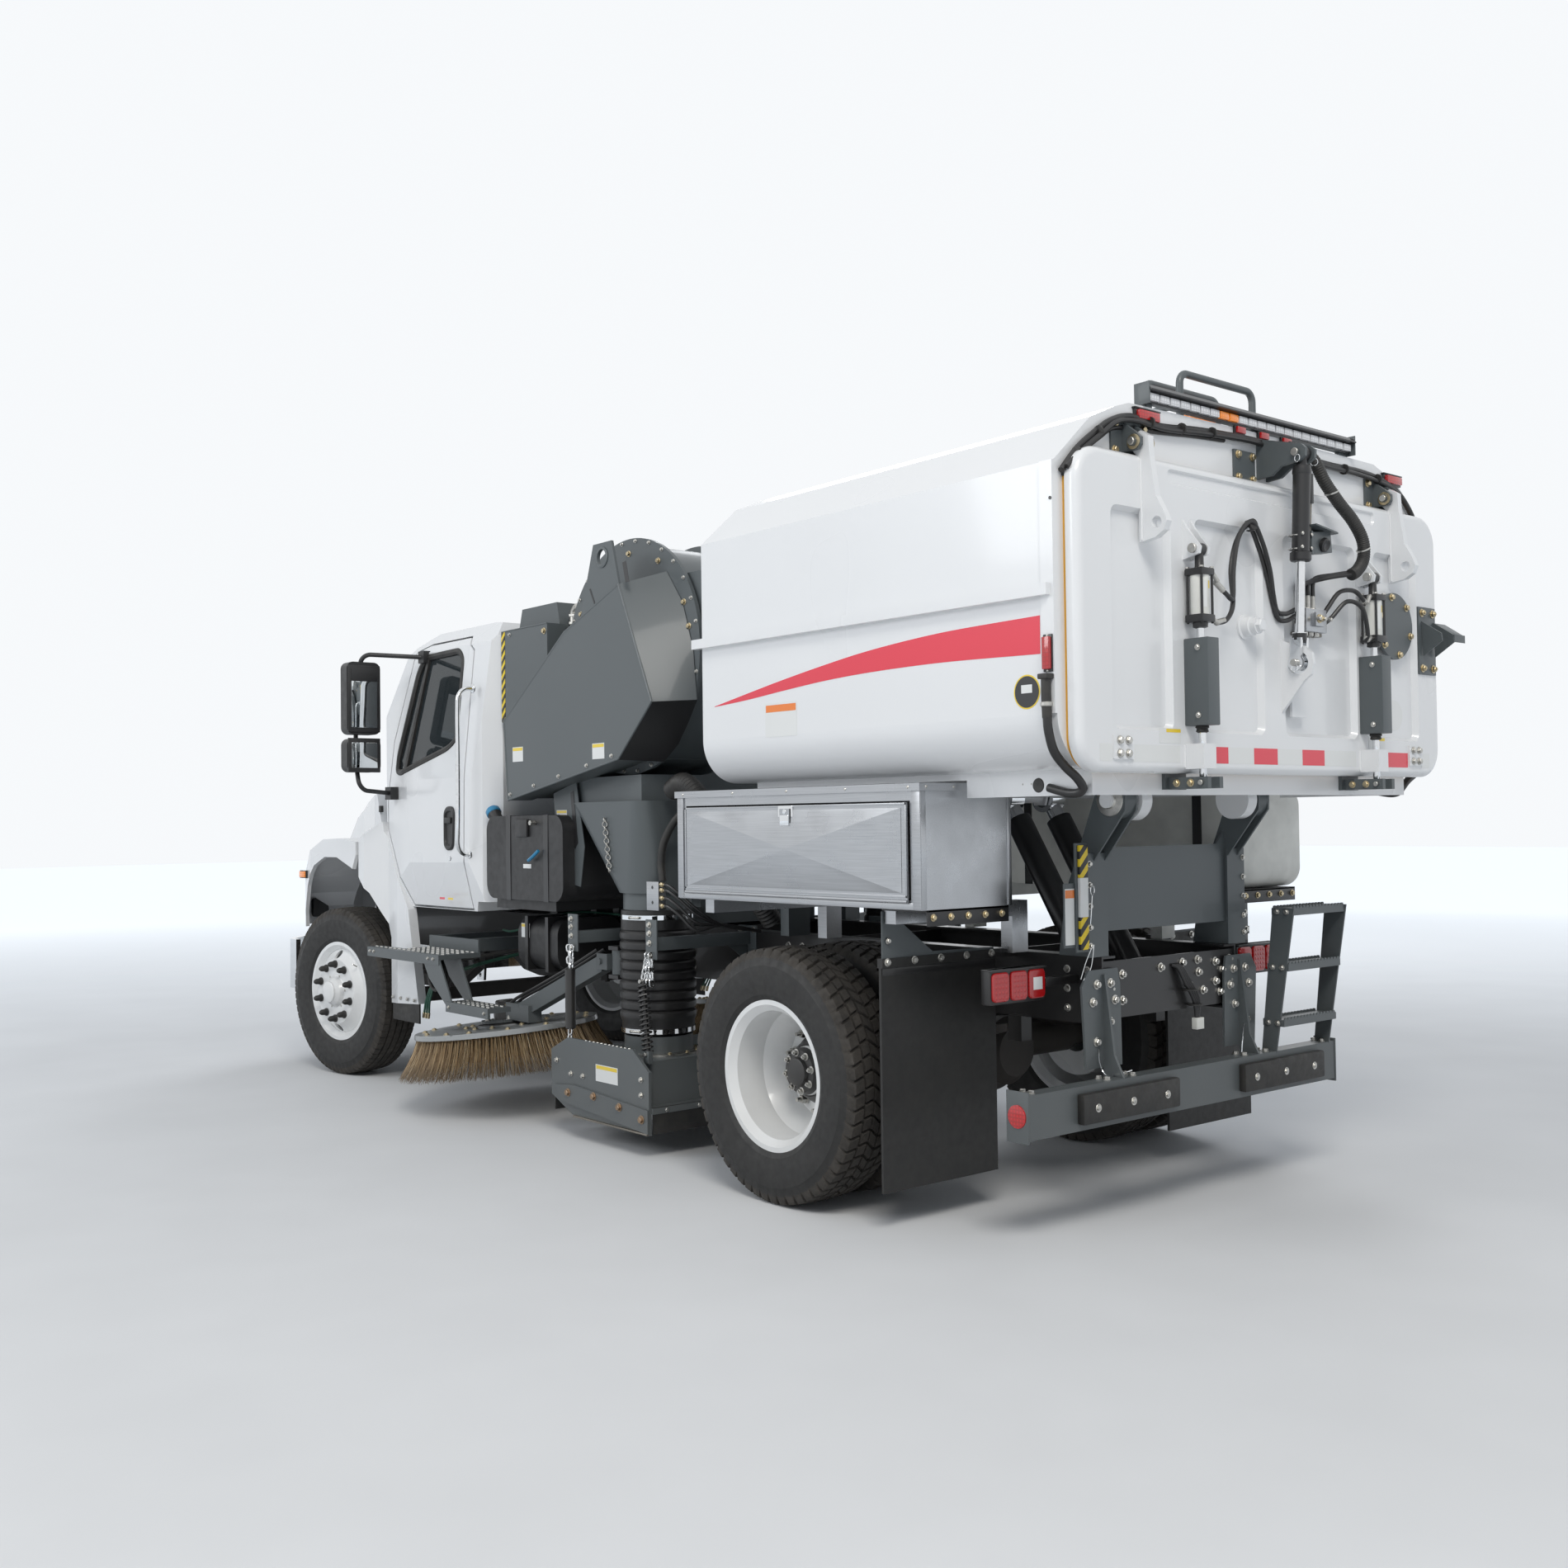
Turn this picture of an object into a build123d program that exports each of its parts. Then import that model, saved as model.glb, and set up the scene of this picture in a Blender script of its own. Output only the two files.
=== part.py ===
from build123d import *

import math
import os

os.makedirs("parts", exist_ok=True)

# Street sweeper truck: a conventional-cab chassis with an air-sweeping body.
# Millimetres. +X forward, +Y to the driver's left, +Z up, ground at Z = 0.
# The origin is on the ground below the middle of the whole truck.

# ---------------------------------------------------------------- chassis
rear_axle_x = -1834.0
wheelbase = 4400.0
wheel_z = 515.0
tyre_radius = 515.0
tyre_width = 272.0
bead_radius = 292.0
rim_width = 232.0
frame_half_width = 430.0
frame_bottom_z = 745.0
frame_top_z = 1005.0
frame_flange = 80.0
frame_wall = 9.0
frame_rear = -1070.0
frame_front = 5090.0
crossmember_stations = (-1060, -380, 640, 1600, 2400, 3150, 4990)
cab_mount_stations = (2900, 3850)
front_rim_plane_y = 1128.0
rear_rim_plane_y = 1190.0
twin_spacing = 330.0
kingpin_y = 872.0
steer_rest = 9.0
kingpin_radius = 18.0
spring_y = 430.0
spring_half = 615.0
front_disc_root = -34.0
front_disc_face = 22.0
twin_disc_root = -165.0
twin_disc_face = -269.0
hanger_stations = (1110.0, 1800.0)
bumper_rear = -1180.0
bumper_half_width = 977.0

# ---------------------------------------------------------------- cab
cab_rear = 2620.0
cab_floor_z = 1060.0
cab_skin = 45.0
door_gap = 12.0
glass_thickness = 6.0
hood_skin = 25.0
hood_hinge_x = 5375.0
hood_hinge_z = 880.0
mirror_y = 1300.0
hood_pin_radius = 12.0
tow_eye_x = 5340.0
tow_eye_z = 440.0
tow_eye_radius = 20.0

# ---------------------------------------------------------------- sweeping body
fan_x = 1430.0
fan_z = 2345.0
fan_radius = 540.0
lifting_eye_x = 1350.0
lifting_eye_z = 2800.0
lifting_eye_radius = 38.0
hopper_rear = -1500.0
hopper_front = 430.0
hopper_wall = 8.0
collar_rear = -1525.0
skirt_rear = -1510.0
tilt_x = -1150.0
tilt_z = 1600.0
tilt_pin_radius = 30.0
door_face = -1540.0
door_thickness = 52.0
door_half_width = 1155.0
door_bottom_z = 1685.0
door_top_z = 2772.0
door_corner = 120.0
field_depth = 24.0
hinge_x = -1584.0
hinge_z = 2812.0
hinge_y = 805.0
hinge_pin_radius = 16.0
latch_x = -1640.0
latch_y = 565.0
cylinder_top_x = -1695.0
cylinder_top_z = 2868.0
cylinder_eye_x = -1665.0
cylinder_eye_z = 2096.0
barrel_radius = 32.0
rod_radius = 17.0
cylinder_pin_radius = 12.0
fork_pin_radius = 10.0
lift_base_x = -820.0
lift_base_z = 830.0
lift_eye_x = -330.0
lift_eye_z = 1622.0
lift_y = 130.0
lift_pin_radius = 22.0
lift_eye_bore = 42.0
toolbox_hinge_y = 1212.0
toolbox_hinge_z = 1240.0

# ---------------------------------------------------------------- sweeping gear
broom_x = 2620.0
broom_y = 920.0
broom_z = 430.0
broom_plate_radius = 490.0
broom_tip_radius = 600.0
bristle_drop = 215.0
broom_tilt = 6.0
broom_pivot_x = 1780.0
broom_pivot_y = 800.0
broom_pivot_z = 840.0
head_rear = 1000.0
head_front = 1853.0
head_half_width = 1100.0
hose_x = 1350.0
hose_y = 800.0
hose_radius = 185.0
hose_low_z = 520.0
hose_top_z = 1080.0


def at(ahead):
    """X of a station that lies this far forward of the rear axle."""
    return rear_axle_x + ahead


def save(piece, name):
    """Label a finished piece and write its file."""
    piece.part.label = name
    export_step(piece.part, f"parts/{name}.step")


def shifted(points):
    """Outline points whose X is a station, moved into the truck's frame."""
    return [(at(x), z) for x, z in points]


def side_outline(points, y, grow=0.0):
    """Face with an outline of (station, height) corners, standing at this width."""
    with BuildSketch(Plane.XZ.offset(-y)) as face:
        with BuildLine():
            Polyline(*shifted(points), close=True)
        make_face()
        if grow:
            offset(amount=grow, kind=Kind.INTERSECTION, mode=Mode.REPLACE)
    return face.sketch


def side_plate(points, y_low, y_high, mode=Mode.ADD, grow=0.0):
    """Solid with a (station, height) outline between two widths."""
    extrude(side_outline(points, y_high, grow), amount=y_high - y_low, mode=mode)


def cross_plate(points, x_low, x_high, mode=Mode.ADD):
    """Solid with a (width, height) outline between two stations."""
    with BuildSketch(Plane.YZ.offset(at(x_low))) as face:
        with BuildLine():
            Polyline(*points, close=True)
        make_face()
    extrude(face.sketch, amount=x_high - x_low, mode=mode)


def block(x_low, x_high, y_low, y_high, z_low, z_high, mode=Mode.ADD):
    """Rectangular block between pairs of stations, widths and heights."""
    middle = (at((x_low + x_high) / 2), (y_low + y_high) / 2, (z_low + z_high) / 2)
    with Locations(middle):
        Box(x_high - x_low, y_high - y_low, z_high - z_low, mode=mode)


def bar(start, end, radius, mode=Mode.ADD):
    """Round bar between two (station, width, height) points."""
    first = Vector(at(start[0]), start[1], start[2])
    run = Vector(at(end[0]), end[1], end[2]) - first
    with BuildSketch(Plane(origin=first, z_dir=run)) as section:
        Circle(radius)
    extrude(section.sketch, amount=run.length, mode=mode)


def square_tube(start, end, width, height):
    """Square tube between two (station, width, height) points."""
    first = Vector(at(start[0]), start[1], start[2])
    run = Vector(at(end[0]), end[1], end[2]) - first
    across = Vector(0, 0, 1).cross(run).normalized()
    with BuildSketch(Plane(origin=first, x_dir=across, z_dir=run)) as section:
        Rectangle(width, height)
    extrude(section.sketch, amount=run.length)


def pipe(points, radius, bend):
    """Round tube along (station, width, height) corners, with a bend at each inner one."""
    route = [Vector(at(x), y, z) for x, y, z in points]
    with BuildLine() as path:
        FilletPolyline(*route, radius=bend)
    start = Plane(origin=route[0], z_dir=route[1] - route[0])
    with BuildSketch(start) as section:
        Circle(radius)
    sweep(section.sketch, path=path.line)


def turned(plane, outline, mode=Mode.ADD):
    """Solid of revolution about a plane's normal, from (along, radius) corners."""
    with BuildSketch(Plane(origin=plane.origin, x_dir=plane.z_dir, z_dir=plane.x_dir)) as half:
        with BuildLine():
            Polyline(*outline, close=True)
        make_face()
    revolve(half.sketch, axis=Axis(plane.origin, plane.z_dir), mode=mode)


def leaf_outline(centre, z_axle, z_eye):
    """Leaf spring pack: thick over its axle, thin and higher at its eyes."""
    low = [(centre - spring_half, z_eye - 14), (centre - 330, z_axle + 30), (centre - 120, z_axle),
           (centre + 120, z_axle), (centre + 330, z_axle + 30),
           (centre + spring_half, z_eye - 14)]
    high = [(centre + spring_half, z_eye + 14), (centre + 330, z_axle + 85),
            (centre + 120, z_axle + 74), (centre - 120, z_axle + 74),
            (centre - 330, z_axle + 85), (centre - spring_half, z_eye + 14)]
    return low + high


# ================================================================ wheels
# Wheel planes sit at the outer rim edge, with the normal pointing outboard.
def front_wheel_plane(side):
    """Outer rim plane of a front wheel, turned with the steering about its kingpin."""
    turn = math.radians(steer_rest)
    out = Vector(-side * math.sin(turn), side * math.cos(turn), 0)
    reach = front_rim_plane_y - kingpin_y
    kingpin = Vector(at(wheelbase), side * kingpin_y, wheel_z)
    return Plane(origin=kingpin + out * reach, x_dir=(0, 0, 1), z_dir=out)


def rear_wheel_plane(side, inner=False):
    """Outer rim plane of a rear wheel; the inner one of a pair faces the other way."""
    width = rear_rim_plane_y
    if inner:
        width = rear_rim_plane_y - twin_spacing - rim_width
    facing = -side if inner else side
    return Plane(origin=(at(0), side * width, wheel_z), x_dir=(0, 0, 1), z_dir=(0, facing, 0))


def tyre_on(plane):
    """Plain tyre, centred on its rim."""
    middle = -rim_width / 2
    half = tyre_width / 2
    shoulder = half - 18
    turned(plane, [
        (middle - rim_width / 2 + 14, bead_radius), (middle - half + 8, bead_radius + 60),
        (middle - half, bead_radius + 120), (middle - shoulder, tyre_radius - 22),
        (middle - shoulder + 20, tyre_radius - 4), (middle, tyre_radius),
        (middle + shoulder - 20, tyre_radius - 4), (middle + shoulder, tyre_radius - 22),
        (middle + half, bead_radius + 120), (middle + half - 8, bead_radius + 60),
        (middle + rim_width / 2 - 14, bead_radius)])


def rim_on(plane, root, face):
    """Steel rim: flanged barrel, and a disc that leaves it at the root and is flat at its face."""
    turned(plane, [
        (0, bead_radius + 12), (0, bead_radius - 8), (-30, bead_radius - 34),
        (-rim_width + 30, bead_radius - 34), (-rim_width, bead_radius - 8),
        (-rim_width, bead_radius + 12), (-rim_width + 12, bead_radius - 1),
        (-12, bead_radius - 1)])
    turned(plane, [
        (root - 20, bead_radius - 33), (root, bead_radius - 33), (face, 200), (face, 80),
        (face - 12, 80), (face - 12, 196)])


for side, label in ((1, "left"), (-1, "right")):
    wheel = front_wheel_plane(side)
    with BuildPart() as front_tyre:
        tyre_on(wheel)
    save(front_tyre, f"front_tyre_{label}")

    with BuildPart() as front_wheel:
        rim_on(wheel, front_disc_root, front_disc_face)
        with BuildSketch(wheel.offset(-90)) as hand_holes:
            with PolarLocations(224, 2):
                Circle(26)
        extrude(hand_holes.sketch, amount=120, mode=Mode.SUBTRACT)
        turned(wheel, [(-150, 60), (-150, 120), (10, 120), (24, 96), (46, 84), (70, 62),
                       (70, 0), (-60, 0), (-60, 60)])
    save(front_wheel, f"front_wheel_{label}")

    pair = (rear_wheel_plane(side), rear_wheel_plane(side, inner=True))
    with BuildPart() as rear_tyres:
        for plane in pair:
            tyre_on(plane)
    save(rear_tyres, f"rear_tyres_{label}")

    with BuildPart() as rear_wheels:
        for plane in pair:
            rim_on(plane, twin_disc_root, twin_disc_face)
        turned(pair[0], [(-520, 95), (-520, 205), (-315, 205), (-300, 140), (-250, 140),
                         (-245, 105), (-190, 100), (-165, 92), (-150, 60), (-150, 0),
                         (-300, 0), (-300, 95)])
    save(rear_wheels, f"rear_wheels_{label}")

    kingpin = Vector(at(wheelbase), side * kingpin_y, wheel_z)
    stub = Plane(origin=kingpin, x_dir=(0, 0, 1), z_dir=wheel.z_dir)
    with BuildPart() as knuckle:
        with BuildSketch(stub.offset(47)) as web:
            Rectangle(172, 76)
        extrude(web.sketch, amount=30)
        with BuildSketch(stub.offset(-30)) as lugs:
            with Locations((66, 0), (-66, 0)):
                Rectangle(40, 62)
        extrude(lugs.sketch, amount=80)
        turned(stub, [(70, 0), (70, 62), (98, 56), (112, 40), (190, 40), (190, 0)])
        with Locations(kingpin):
            Cylinder(kingpin_radius, 190)
    save(knuckle, f"knuckle_{label}")


# ================================================================ axles
with BuildPart() as front_axle:
    for side in (1, -1):
        with Locations((at(wheelbase), side * kingpin_y, wheel_z)):
            Cylinder(32, 88)
    cross_plate([(-840, 545), (-840, 485), (-640, 455), (-520, 400), (520, 400), (640, 455),
                 (840, 485), (840, 545), (640, 540), (520, 490), (-520, 490), (-640, 540)],
                wheelbase - 40, wheelbase + 40)
    for side in (1, -1):
        with Locations((at(wheelbase), side * kingpin_y, wheel_z)):
            Cylinder(kingpin_radius + 0.05, 100, mode=Mode.SUBTRACT)
        side_plate(leaf_outline(wheelbase, 490, 680), side * spring_y - 38, side * spring_y + 38)
    save(front_axle, "front_axle")

with BuildPart() as rear_axle:
    beam = Plane(origin=(at(0), 0, wheel_z), x_dir=(0, 0, 1), z_dir=(0, 1, 0))
    turned(beam, [(-885, 0), (-885, 58), (-600, 58), (-590, 80), (-260, 80), (-150, 170),
                  (-60, 205), (60, 205), (150, 170), (260, 80), (590, 80), (600, 58),
                  (885, 58), (885, 0)])
    pinion_line = Plane(origin=(at(0), 0, wheel_z), x_dir=(0, 0, 1), z_dir=(1, 0, 0))
    turned(pinion_line, [(-240, 0), (-240, 110), (-190, 150), (160, 150), (230, 105),
                         (330, 95), (330, 60), (400, 60), (400, 0)])
    for side in (1, -1):
        side_plate(leaf_outline(0, 585, 700), side * spring_y - 38, side * spring_y + 38)
    save(rear_axle, "rear_axle")


# ================================================================ frame and driveline
with BuildPart() as frame_rails:
    for side in (1, -1):
        outer = side * frame_half_width
        inner = side * (frame_half_width - frame_flange)
        web = side * (frame_half_width - frame_wall)
        low, high = sorted((outer, inner))
        block(frame_rear, frame_front, low, high, frame_bottom_z, frame_top_z)
        low, high = sorted((web, inner - side * 1))
        block(frame_rear, frame_front, low, high, frame_bottom_z + frame_wall,
              frame_top_z - frame_wall, Mode.SUBTRACT)
    for x in crossmember_stations:
        block(x, x + 12, -(frame_half_width - 1), frame_half_width - 1,
              frame_bottom_z + 20, frame_top_z - 20)
    bar((lift_base_x, -(frame_half_width - 5), lift_base_z),
        (lift_base_x, frame_half_width - 5, lift_base_z), lift_pin_radius)
    for centre in (0, wheelbase):
        for end in (-spring_half - 35, spring_half + 35):
            for side in (1, -1):
                block(centre + end - 35, centre + end + 35, side * spring_y - 30,
                      side * spring_y + 30, 650, frame_bottom_z + 5)
    for x in cab_mount_stations:
        for side in (1, -1):
            block(x, x + 80, side * 395 - 35, side * 395 + 35, frame_top_z - 1, cab_floor_z)
    for side in (1, -1):
        for z in (broom_pivot_z - 82, broom_pivot_z + 61):
            low, high = sorted((side * (frame_half_width - 4), side * (broom_pivot_y + 45)))
            block(broom_pivot_x - 145, broom_pivot_x - 60, low, high, z, z + 20)
        bar((broom_pivot_x - 100, side * broom_pivot_y, broom_pivot_z - 80),
            (broom_pivot_x - 100, side * broom_pivot_y, broom_pivot_z + 80), 20)
save(frame_rails, "frame_rails")

with BuildPart() as engine_block:
    block(4195, 4760, -330, 330, 760, 1480)
    block(4300, 4400, -350, 350, 840, 900)
    block(3700, 4195, -300, 300, 760, 1045)
    block(3180, 3700, -200, 200, 780, 1040)
    block(4840, 4940, -400, 400, frame_top_z, 1460)
    block(4760, 4840, -120, 120, 1180, 1260)
save(engine_block, "engine_block")

with BuildPart() as head_hangers:
    for x in hanger_stations:
        for side in (1, -1):
            low, high = sorted((side * frame_half_width, side * 1000))
            block(x - 25, x + 25, low, high, 940, 1000)
            low, high = sorted((side * 992, side * 1002))
            block(x - 45, x + 45, low, high, 900, 1085)
            bar((x, side * 1014, 905), (x, side * 1014, 520), 9)
            bar((x, side * 1000, 920), (x, side * 1020, 920), 12)
save(head_hangers, "head_hangers")


# ================================================================ cab
cab_side = [(cab_rear, 1115), (cab_rear, 2560), (2700, 2650), (3080, 2690), (3440, 2668),
            (3630, 2590), (4165, 1790), (4175, 1470), (3960, 1060), (2790, 1060),
            (2760, 1115)]
cab_front = [(-1000, 1060), (-1060, 1330), (-1052, 1800), (-975, 2540), (-870, 2660),
             (0, 2694), (870, 2660), (975, 2540), (1052, 1800), (1060, 1330), (1000, 1060)]
cab_plan = [(cab_rear, -930), (cab_rear, 930), (2690, 1020), (2780, 1060), (3500, 1058),
            (3900, 1010), (4090, 900), (4180, 520), (4190, 0), (4180, -520), (4090, -900),
            (3900, -1010), (3500, -1058), (2780, -1060), (2690, -1020)]


def cab_form(inset):
    """Closed cab body, or the space inside a skin of this thickness."""
    with BuildPart() as form:
        with BuildSketch(Plane.XZ.offset(-1200)) as side_face:
            with BuildLine():
                Polyline(*shifted(cab_side), close=True)
            make_face()
            if inset:
                offset(amount=-inset, kind=Kind.INTERSECTION, mode=Mode.REPLACE)
        extrude(amount=2400)
        with BuildSketch(Plane.YZ.offset(at(2000))) as front_face:
            with BuildLine():
                Polyline(*cab_front, close=True)
            make_face()
            if inset:
                offset(amount=-inset, kind=Kind.INTERSECTION, mode=Mode.REPLACE)
        extrude(amount=2500, mode=Mode.INTERSECT)
        with BuildSketch(Plane.XY.offset(900)) as plan_face:
            with BuildLine():
                Polyline(*shifted(cab_plan), close=True)
            make_face()
            if inset:
                offset(amount=-inset, kind=Kind.INTERSECTION, mode=Mode.REPLACE)
        extrude(amount=2000, mode=Mode.INTERSECT)
    return form.part


quarter_panel = [(3445, 500), (3815, 480), (3812, 865), (3968, 1132), (4073, 1225),
                 (4073, 1440), (3890, 1560), (3884, 1500), (3565, 1045)]
door_outline = [(2835, 1075), (3545, 1075), (3868, 1520), (3868, 1700), (3560, 2556),
                (3440, 2585), (2960, 2585), (2850, 2500)]
side_window = [(2960, 2010), (3060, 1960), (3640, 1838), (3722, 1850), (3520, 2440),
               (3440, 2520), (3020, 2525), (2960, 2470)]


def quarter_form(side):
    """Rear part of a front wing: flush with the cab at its back, bulging out to the arch."""
    low, high = sorted((side * 985, side * 1118))
    inner_low, inner_high = sorted((side * 900, side * 1010))
    with BuildPart() as form:
        side_plate(quarter_panel, low, high)
        with BuildSketch(Plane.XY.offset(400)) as plan:
            with BuildLine():
                Polyline(*shifted([(3400, side * 980), (3400, side * 1034), (3700, side * 1044),
                                   (3860, side * 1022), (3900, side * 1052),
                                   (4000, side * 1118), (4100, side * 1118),
                                   (4100, side * 980)]), close=True)
            make_face()
        extrude(amount=1300, mode=Mode.INTERSECT)
        side_plate(quarter_panel, inner_low, inner_high, Mode.SUBTRACT, grow=-25)
    return form.part


cab_outer = cab_form(0)
cab_inner = cab_form(cab_skin)
glass_line = cab_form(12)
glass_back = cab_form(12 + glass_thickness)

with BuildPart() as cab_shell:
    add(cab_outer)
    add(cab_inner, mode=Mode.SUBTRACT)
    for side in (1, -1):
        low, high = sorted((side * 700, side * 1200))
        side_plate(door_outline, low, high, Mode.SUBTRACT, grow=door_gap)
    block(2790, 3900, -945, 945, cab_floor_z, cab_floor_z + cab_skin)
    with BuildSketch(Plane.YZ.offset(at(3500))) as windscreen:
        with BuildLine():
            Polyline((-840, 2545), (840, 2545), (905, 1880), (-905, 1880), close=True)
        make_face()
    extrude(amount=900, mode=Mode.SUBTRACT)
    with BuildSketch(Plane.YZ.offset(at(2500))) as rear_window:
        with Locations((0, 2190)):
            RectangleRounded(900, 420, 60)
    extrude(amount=300, mode=Mode.SUBTRACT)
    for side in (1, -1):
        add(quarter_form(side))
    add(cab_inner, mode=Mode.SUBTRACT)
save(cab_shell, "cab_shell")

with BuildPart() as cab_glass:
    add(glass_line)
    add(glass_back, mode=Mode.SUBTRACT)
    with BuildSketch(Plane.YZ.offset(at(3500))) as windscreen:
        with BuildLine():
            Polyline((-839, 2544), (839, 2544), (904, 1881), (-904, 1881), close=True)
        make_face()
    front_glass = extrude(amount=900, mode=Mode.PRIVATE)
    with BuildSketch(Plane.YZ.offset(at(2500)), mode=Mode.PRIVATE) as rear_window:
        with Locations((0, 2190)):
            RectangleRounded(899, 419, 60)
    back_glass = extrude(rear_window.sketch, amount=300, mode=Mode.PRIVATE)
    add(front_glass + back_glass, mode=Mode.INTERSECT)
save(cab_glass, "cab_glass")

for side, label in ((1, "left"), (-1, "right")):
    low, high = sorted((side * 700, side * 1200))
    with BuildPart() as door:
        add(cab_outer)
        add(cab_inner, mode=Mode.SUBTRACT)
        side_plate(door_outline, low, high, Mode.INTERSECT)
        side_plate(side_window, low, high, Mode.SUBTRACT)
        block(2780, 3910, -957, 957, cab_floor_z, cab_floor_z + cab_skin + 1, Mode.SUBTRACT)
    save(door, f"cab_door_{label}")

    with BuildPart() as glass:
        add(glass_line)
        add(glass_back, mode=Mode.SUBTRACT)
        side_plate(side_window, low, high, Mode.INTERSECT)
    save(glass, f"door_glass_{label}")

    outer = side * mirror_y
    with BuildPart() as mirror_set:
        pipe([(3440, side * 1000, 2515), (3600, outer, 2530), (3690, outer, 2300),
              (3690, outer, 1900), (3640, outer, 1745), (3730, side * 1062, 1728)], 13, 60)
        with BuildSketch(Plane.YZ.offset(at(3600))) as heads:
            with Locations((side * (mirror_y - 10), 2275)):
                RectangleRounded(205, 420, 40)
            with Locations((side * (mirror_y - 10), 1945)):
                RectangleRounded(205, 195, 40)
        extrude(amount=85)
        low, high = sorted((side * 955, side * 1010))
        block(3400, 3470, low, high, 2480, 2550)
        low, high = sorted((side * 1010, side * 1085))
        block(3690, 3765, low, high, 1690, 1765)
        add(cab_outer, mode=Mode.SUBTRACT)
    save(mirror_set, f"mirrors_{label}")

with BuildPart() as seats:
    for side in (1, -1):
        y = side * 480
        block(3020, 3520, y - 250, y + 250, 1440, 1560)
        side_plate([(2900, 1500), (3040, 1500), (2920, 2120), (2800, 2120)], y - 240, y + 240)
        side_plate([(2820, 2140), (2900, 2140), (2880, 2290), (2810, 2290)], y - 130, y + 130)
        block(3060, 3460, y - 180, y + 180, cab_floor_z + cab_skin, 1450)
        block(2860, 2910, y - 90, y + 90, 2100, 2160)
save(seats, "seats")

with BuildPart() as dashboard:
    side_plate([(3640, 1500), (3900, 1450), (4080, 1500), (4080, 1745), (3880, 1790),
                (3700, 1740)], -890, 890)
    add(cab_inner, mode=Mode.INTERSECT)
    wheel_hub = Plane(origin=(at(3560), 480, 1800), x_dir=(0, 1, 0), z_dir=(-0.5, 0, 0.866))
    with BuildSketch(wheel_hub) as rim_section:
        Circle(225)
        Circle(195, mode=Mode.SUBTRACT)
        Rectangle(400, 34)
        Circle(48)
    extrude(amount=24)
    bar((3560, 480, 1800), (3720, 480, 1600), 30)
save(dashboard, "dashboard")


# ================================================================ hood
def hood_form(inset):
    """Bonnet with both front wings, or the space inside a skin of this thickness."""
    with BuildPart() as form:
        side_plate([(4085, 1250), (4085, 1480 - inset), (4200, 1735 - inset),
                    (4500, 1685 - inset), (4900, 1590 - inset), (5180, 1450 - inset),
                    (5320 - inset, 1240), (5345 - inset, 890), (4300, 890)], -1000, 1000)
        with BuildSketch(Plane.XY.offset(800)) as plan:
            with BuildLine():
                Polyline(*shifted([(4000, -960 + inset), (4000, 960 - inset),
                                   (4250, 930 - inset), (4700, 800 - inset),
                                   (5200, 680 - inset), (5340 - inset, 560 - inset),
                                   (5355 - inset, 0), (5340 - inset, -560 + inset),
                                   (5200, -680 + inset), (4700, -800 + inset),
                                   (4250, -930 + inset)]), close=True)
            make_face()
        extrude(amount=1100, mode=Mode.INTERSECT)
    return form.part


def wing_form(inset):
    """Both front wings over the wheels, as one closed mass across the truck."""
    with BuildPart() as form:
        side_plate([(4085, 1360), (4085, 1440 - inset), (4250, 1462 - inset),
                    (4500, 1455 - inset), (4700, 1385 - inset), (4870, 1230 - inset),
                    (5080, 1120 - inset), (5235 - inset, 1000), (5260 - inset, 890),
                    (4300, 890)], -1200, 1200)
        with BuildSketch(Plane.XY.offset(800)) as plan:
            with BuildLine():
                Polyline(*shifted([(4000, -1120 + inset), (4000, 1120 - inset),
                                   (4300, 1160 - inset), (4700, 1165 - inset),
                                   (4860, 1130 - inset), (5130, 1010 - inset),
                                   (5290 - inset, 760), (5290 - inset, -760),
                                   (5130, -1010 + inset), (4860, -1130 + inset),
                                   (4700, -1165 + inset), (4300, -1160 + inset)]), close=True)
            make_face()
        extrude(amount=1100, mode=Mode.INTERSECT)
    return form.part


cab_clearance = cab_form(-door_gap)
bonnet_outer, bonnet_inner = hood_form(0), hood_form(hood_skin)
wings_outer, wings_inner = wing_form(0), wing_form(hood_skin)
arch_cut = [(3700, 700), (3820, 870), (3968, 1132), (4130, 1280), (4300, 1345), (4480, 1345),
            (4640, 1290), (4780, 1160), (4880, 960), (4920, 700)]

with BuildPart() as hood:
    add(bonnet_outer)
    add(wings_outer)
    add(bonnet_inner, mode=Mode.SUBTRACT)
    add(wings_inner, mode=Mode.SUBTRACT)
    block(4000, 5300, -640, 640, 860, 930, Mode.SUBTRACT)
    block(4050, 4140, -960, 960, 1200, 1365, Mode.SUBTRACT)
    add(cab_clearance, mode=Mode.SUBTRACT)
    side_plate(arch_cut, -1300, 1300, Mode.SUBTRACT)
    block(5200, 5400, -430, 430, 960, 1330, Mode.SUBTRACT)
    for side in (1, -1):
        block(5290, hood_hinge_x + 12, side * 330 - 15, side * 330 + 15, 872, 960)
    bar((hood_hinge_x, -378, hood_hinge_z), (hood_hinge_x, 378, hood_hinge_z),
        hood_pin_radius)
save(hood, "hood")

with BuildPart() as grille:
    block(5290, 5322, -430, 430, 960, 1330)
    block(5280, 5340, -395, 395, 995, 1295, Mode.SUBTRACT)
    for z in (1020, 1070, 1120, 1170, 1220, 1270):
        block(5294, 5318, -400, 400, z - 12, z + 12)
save(grille, "grille")

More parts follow.
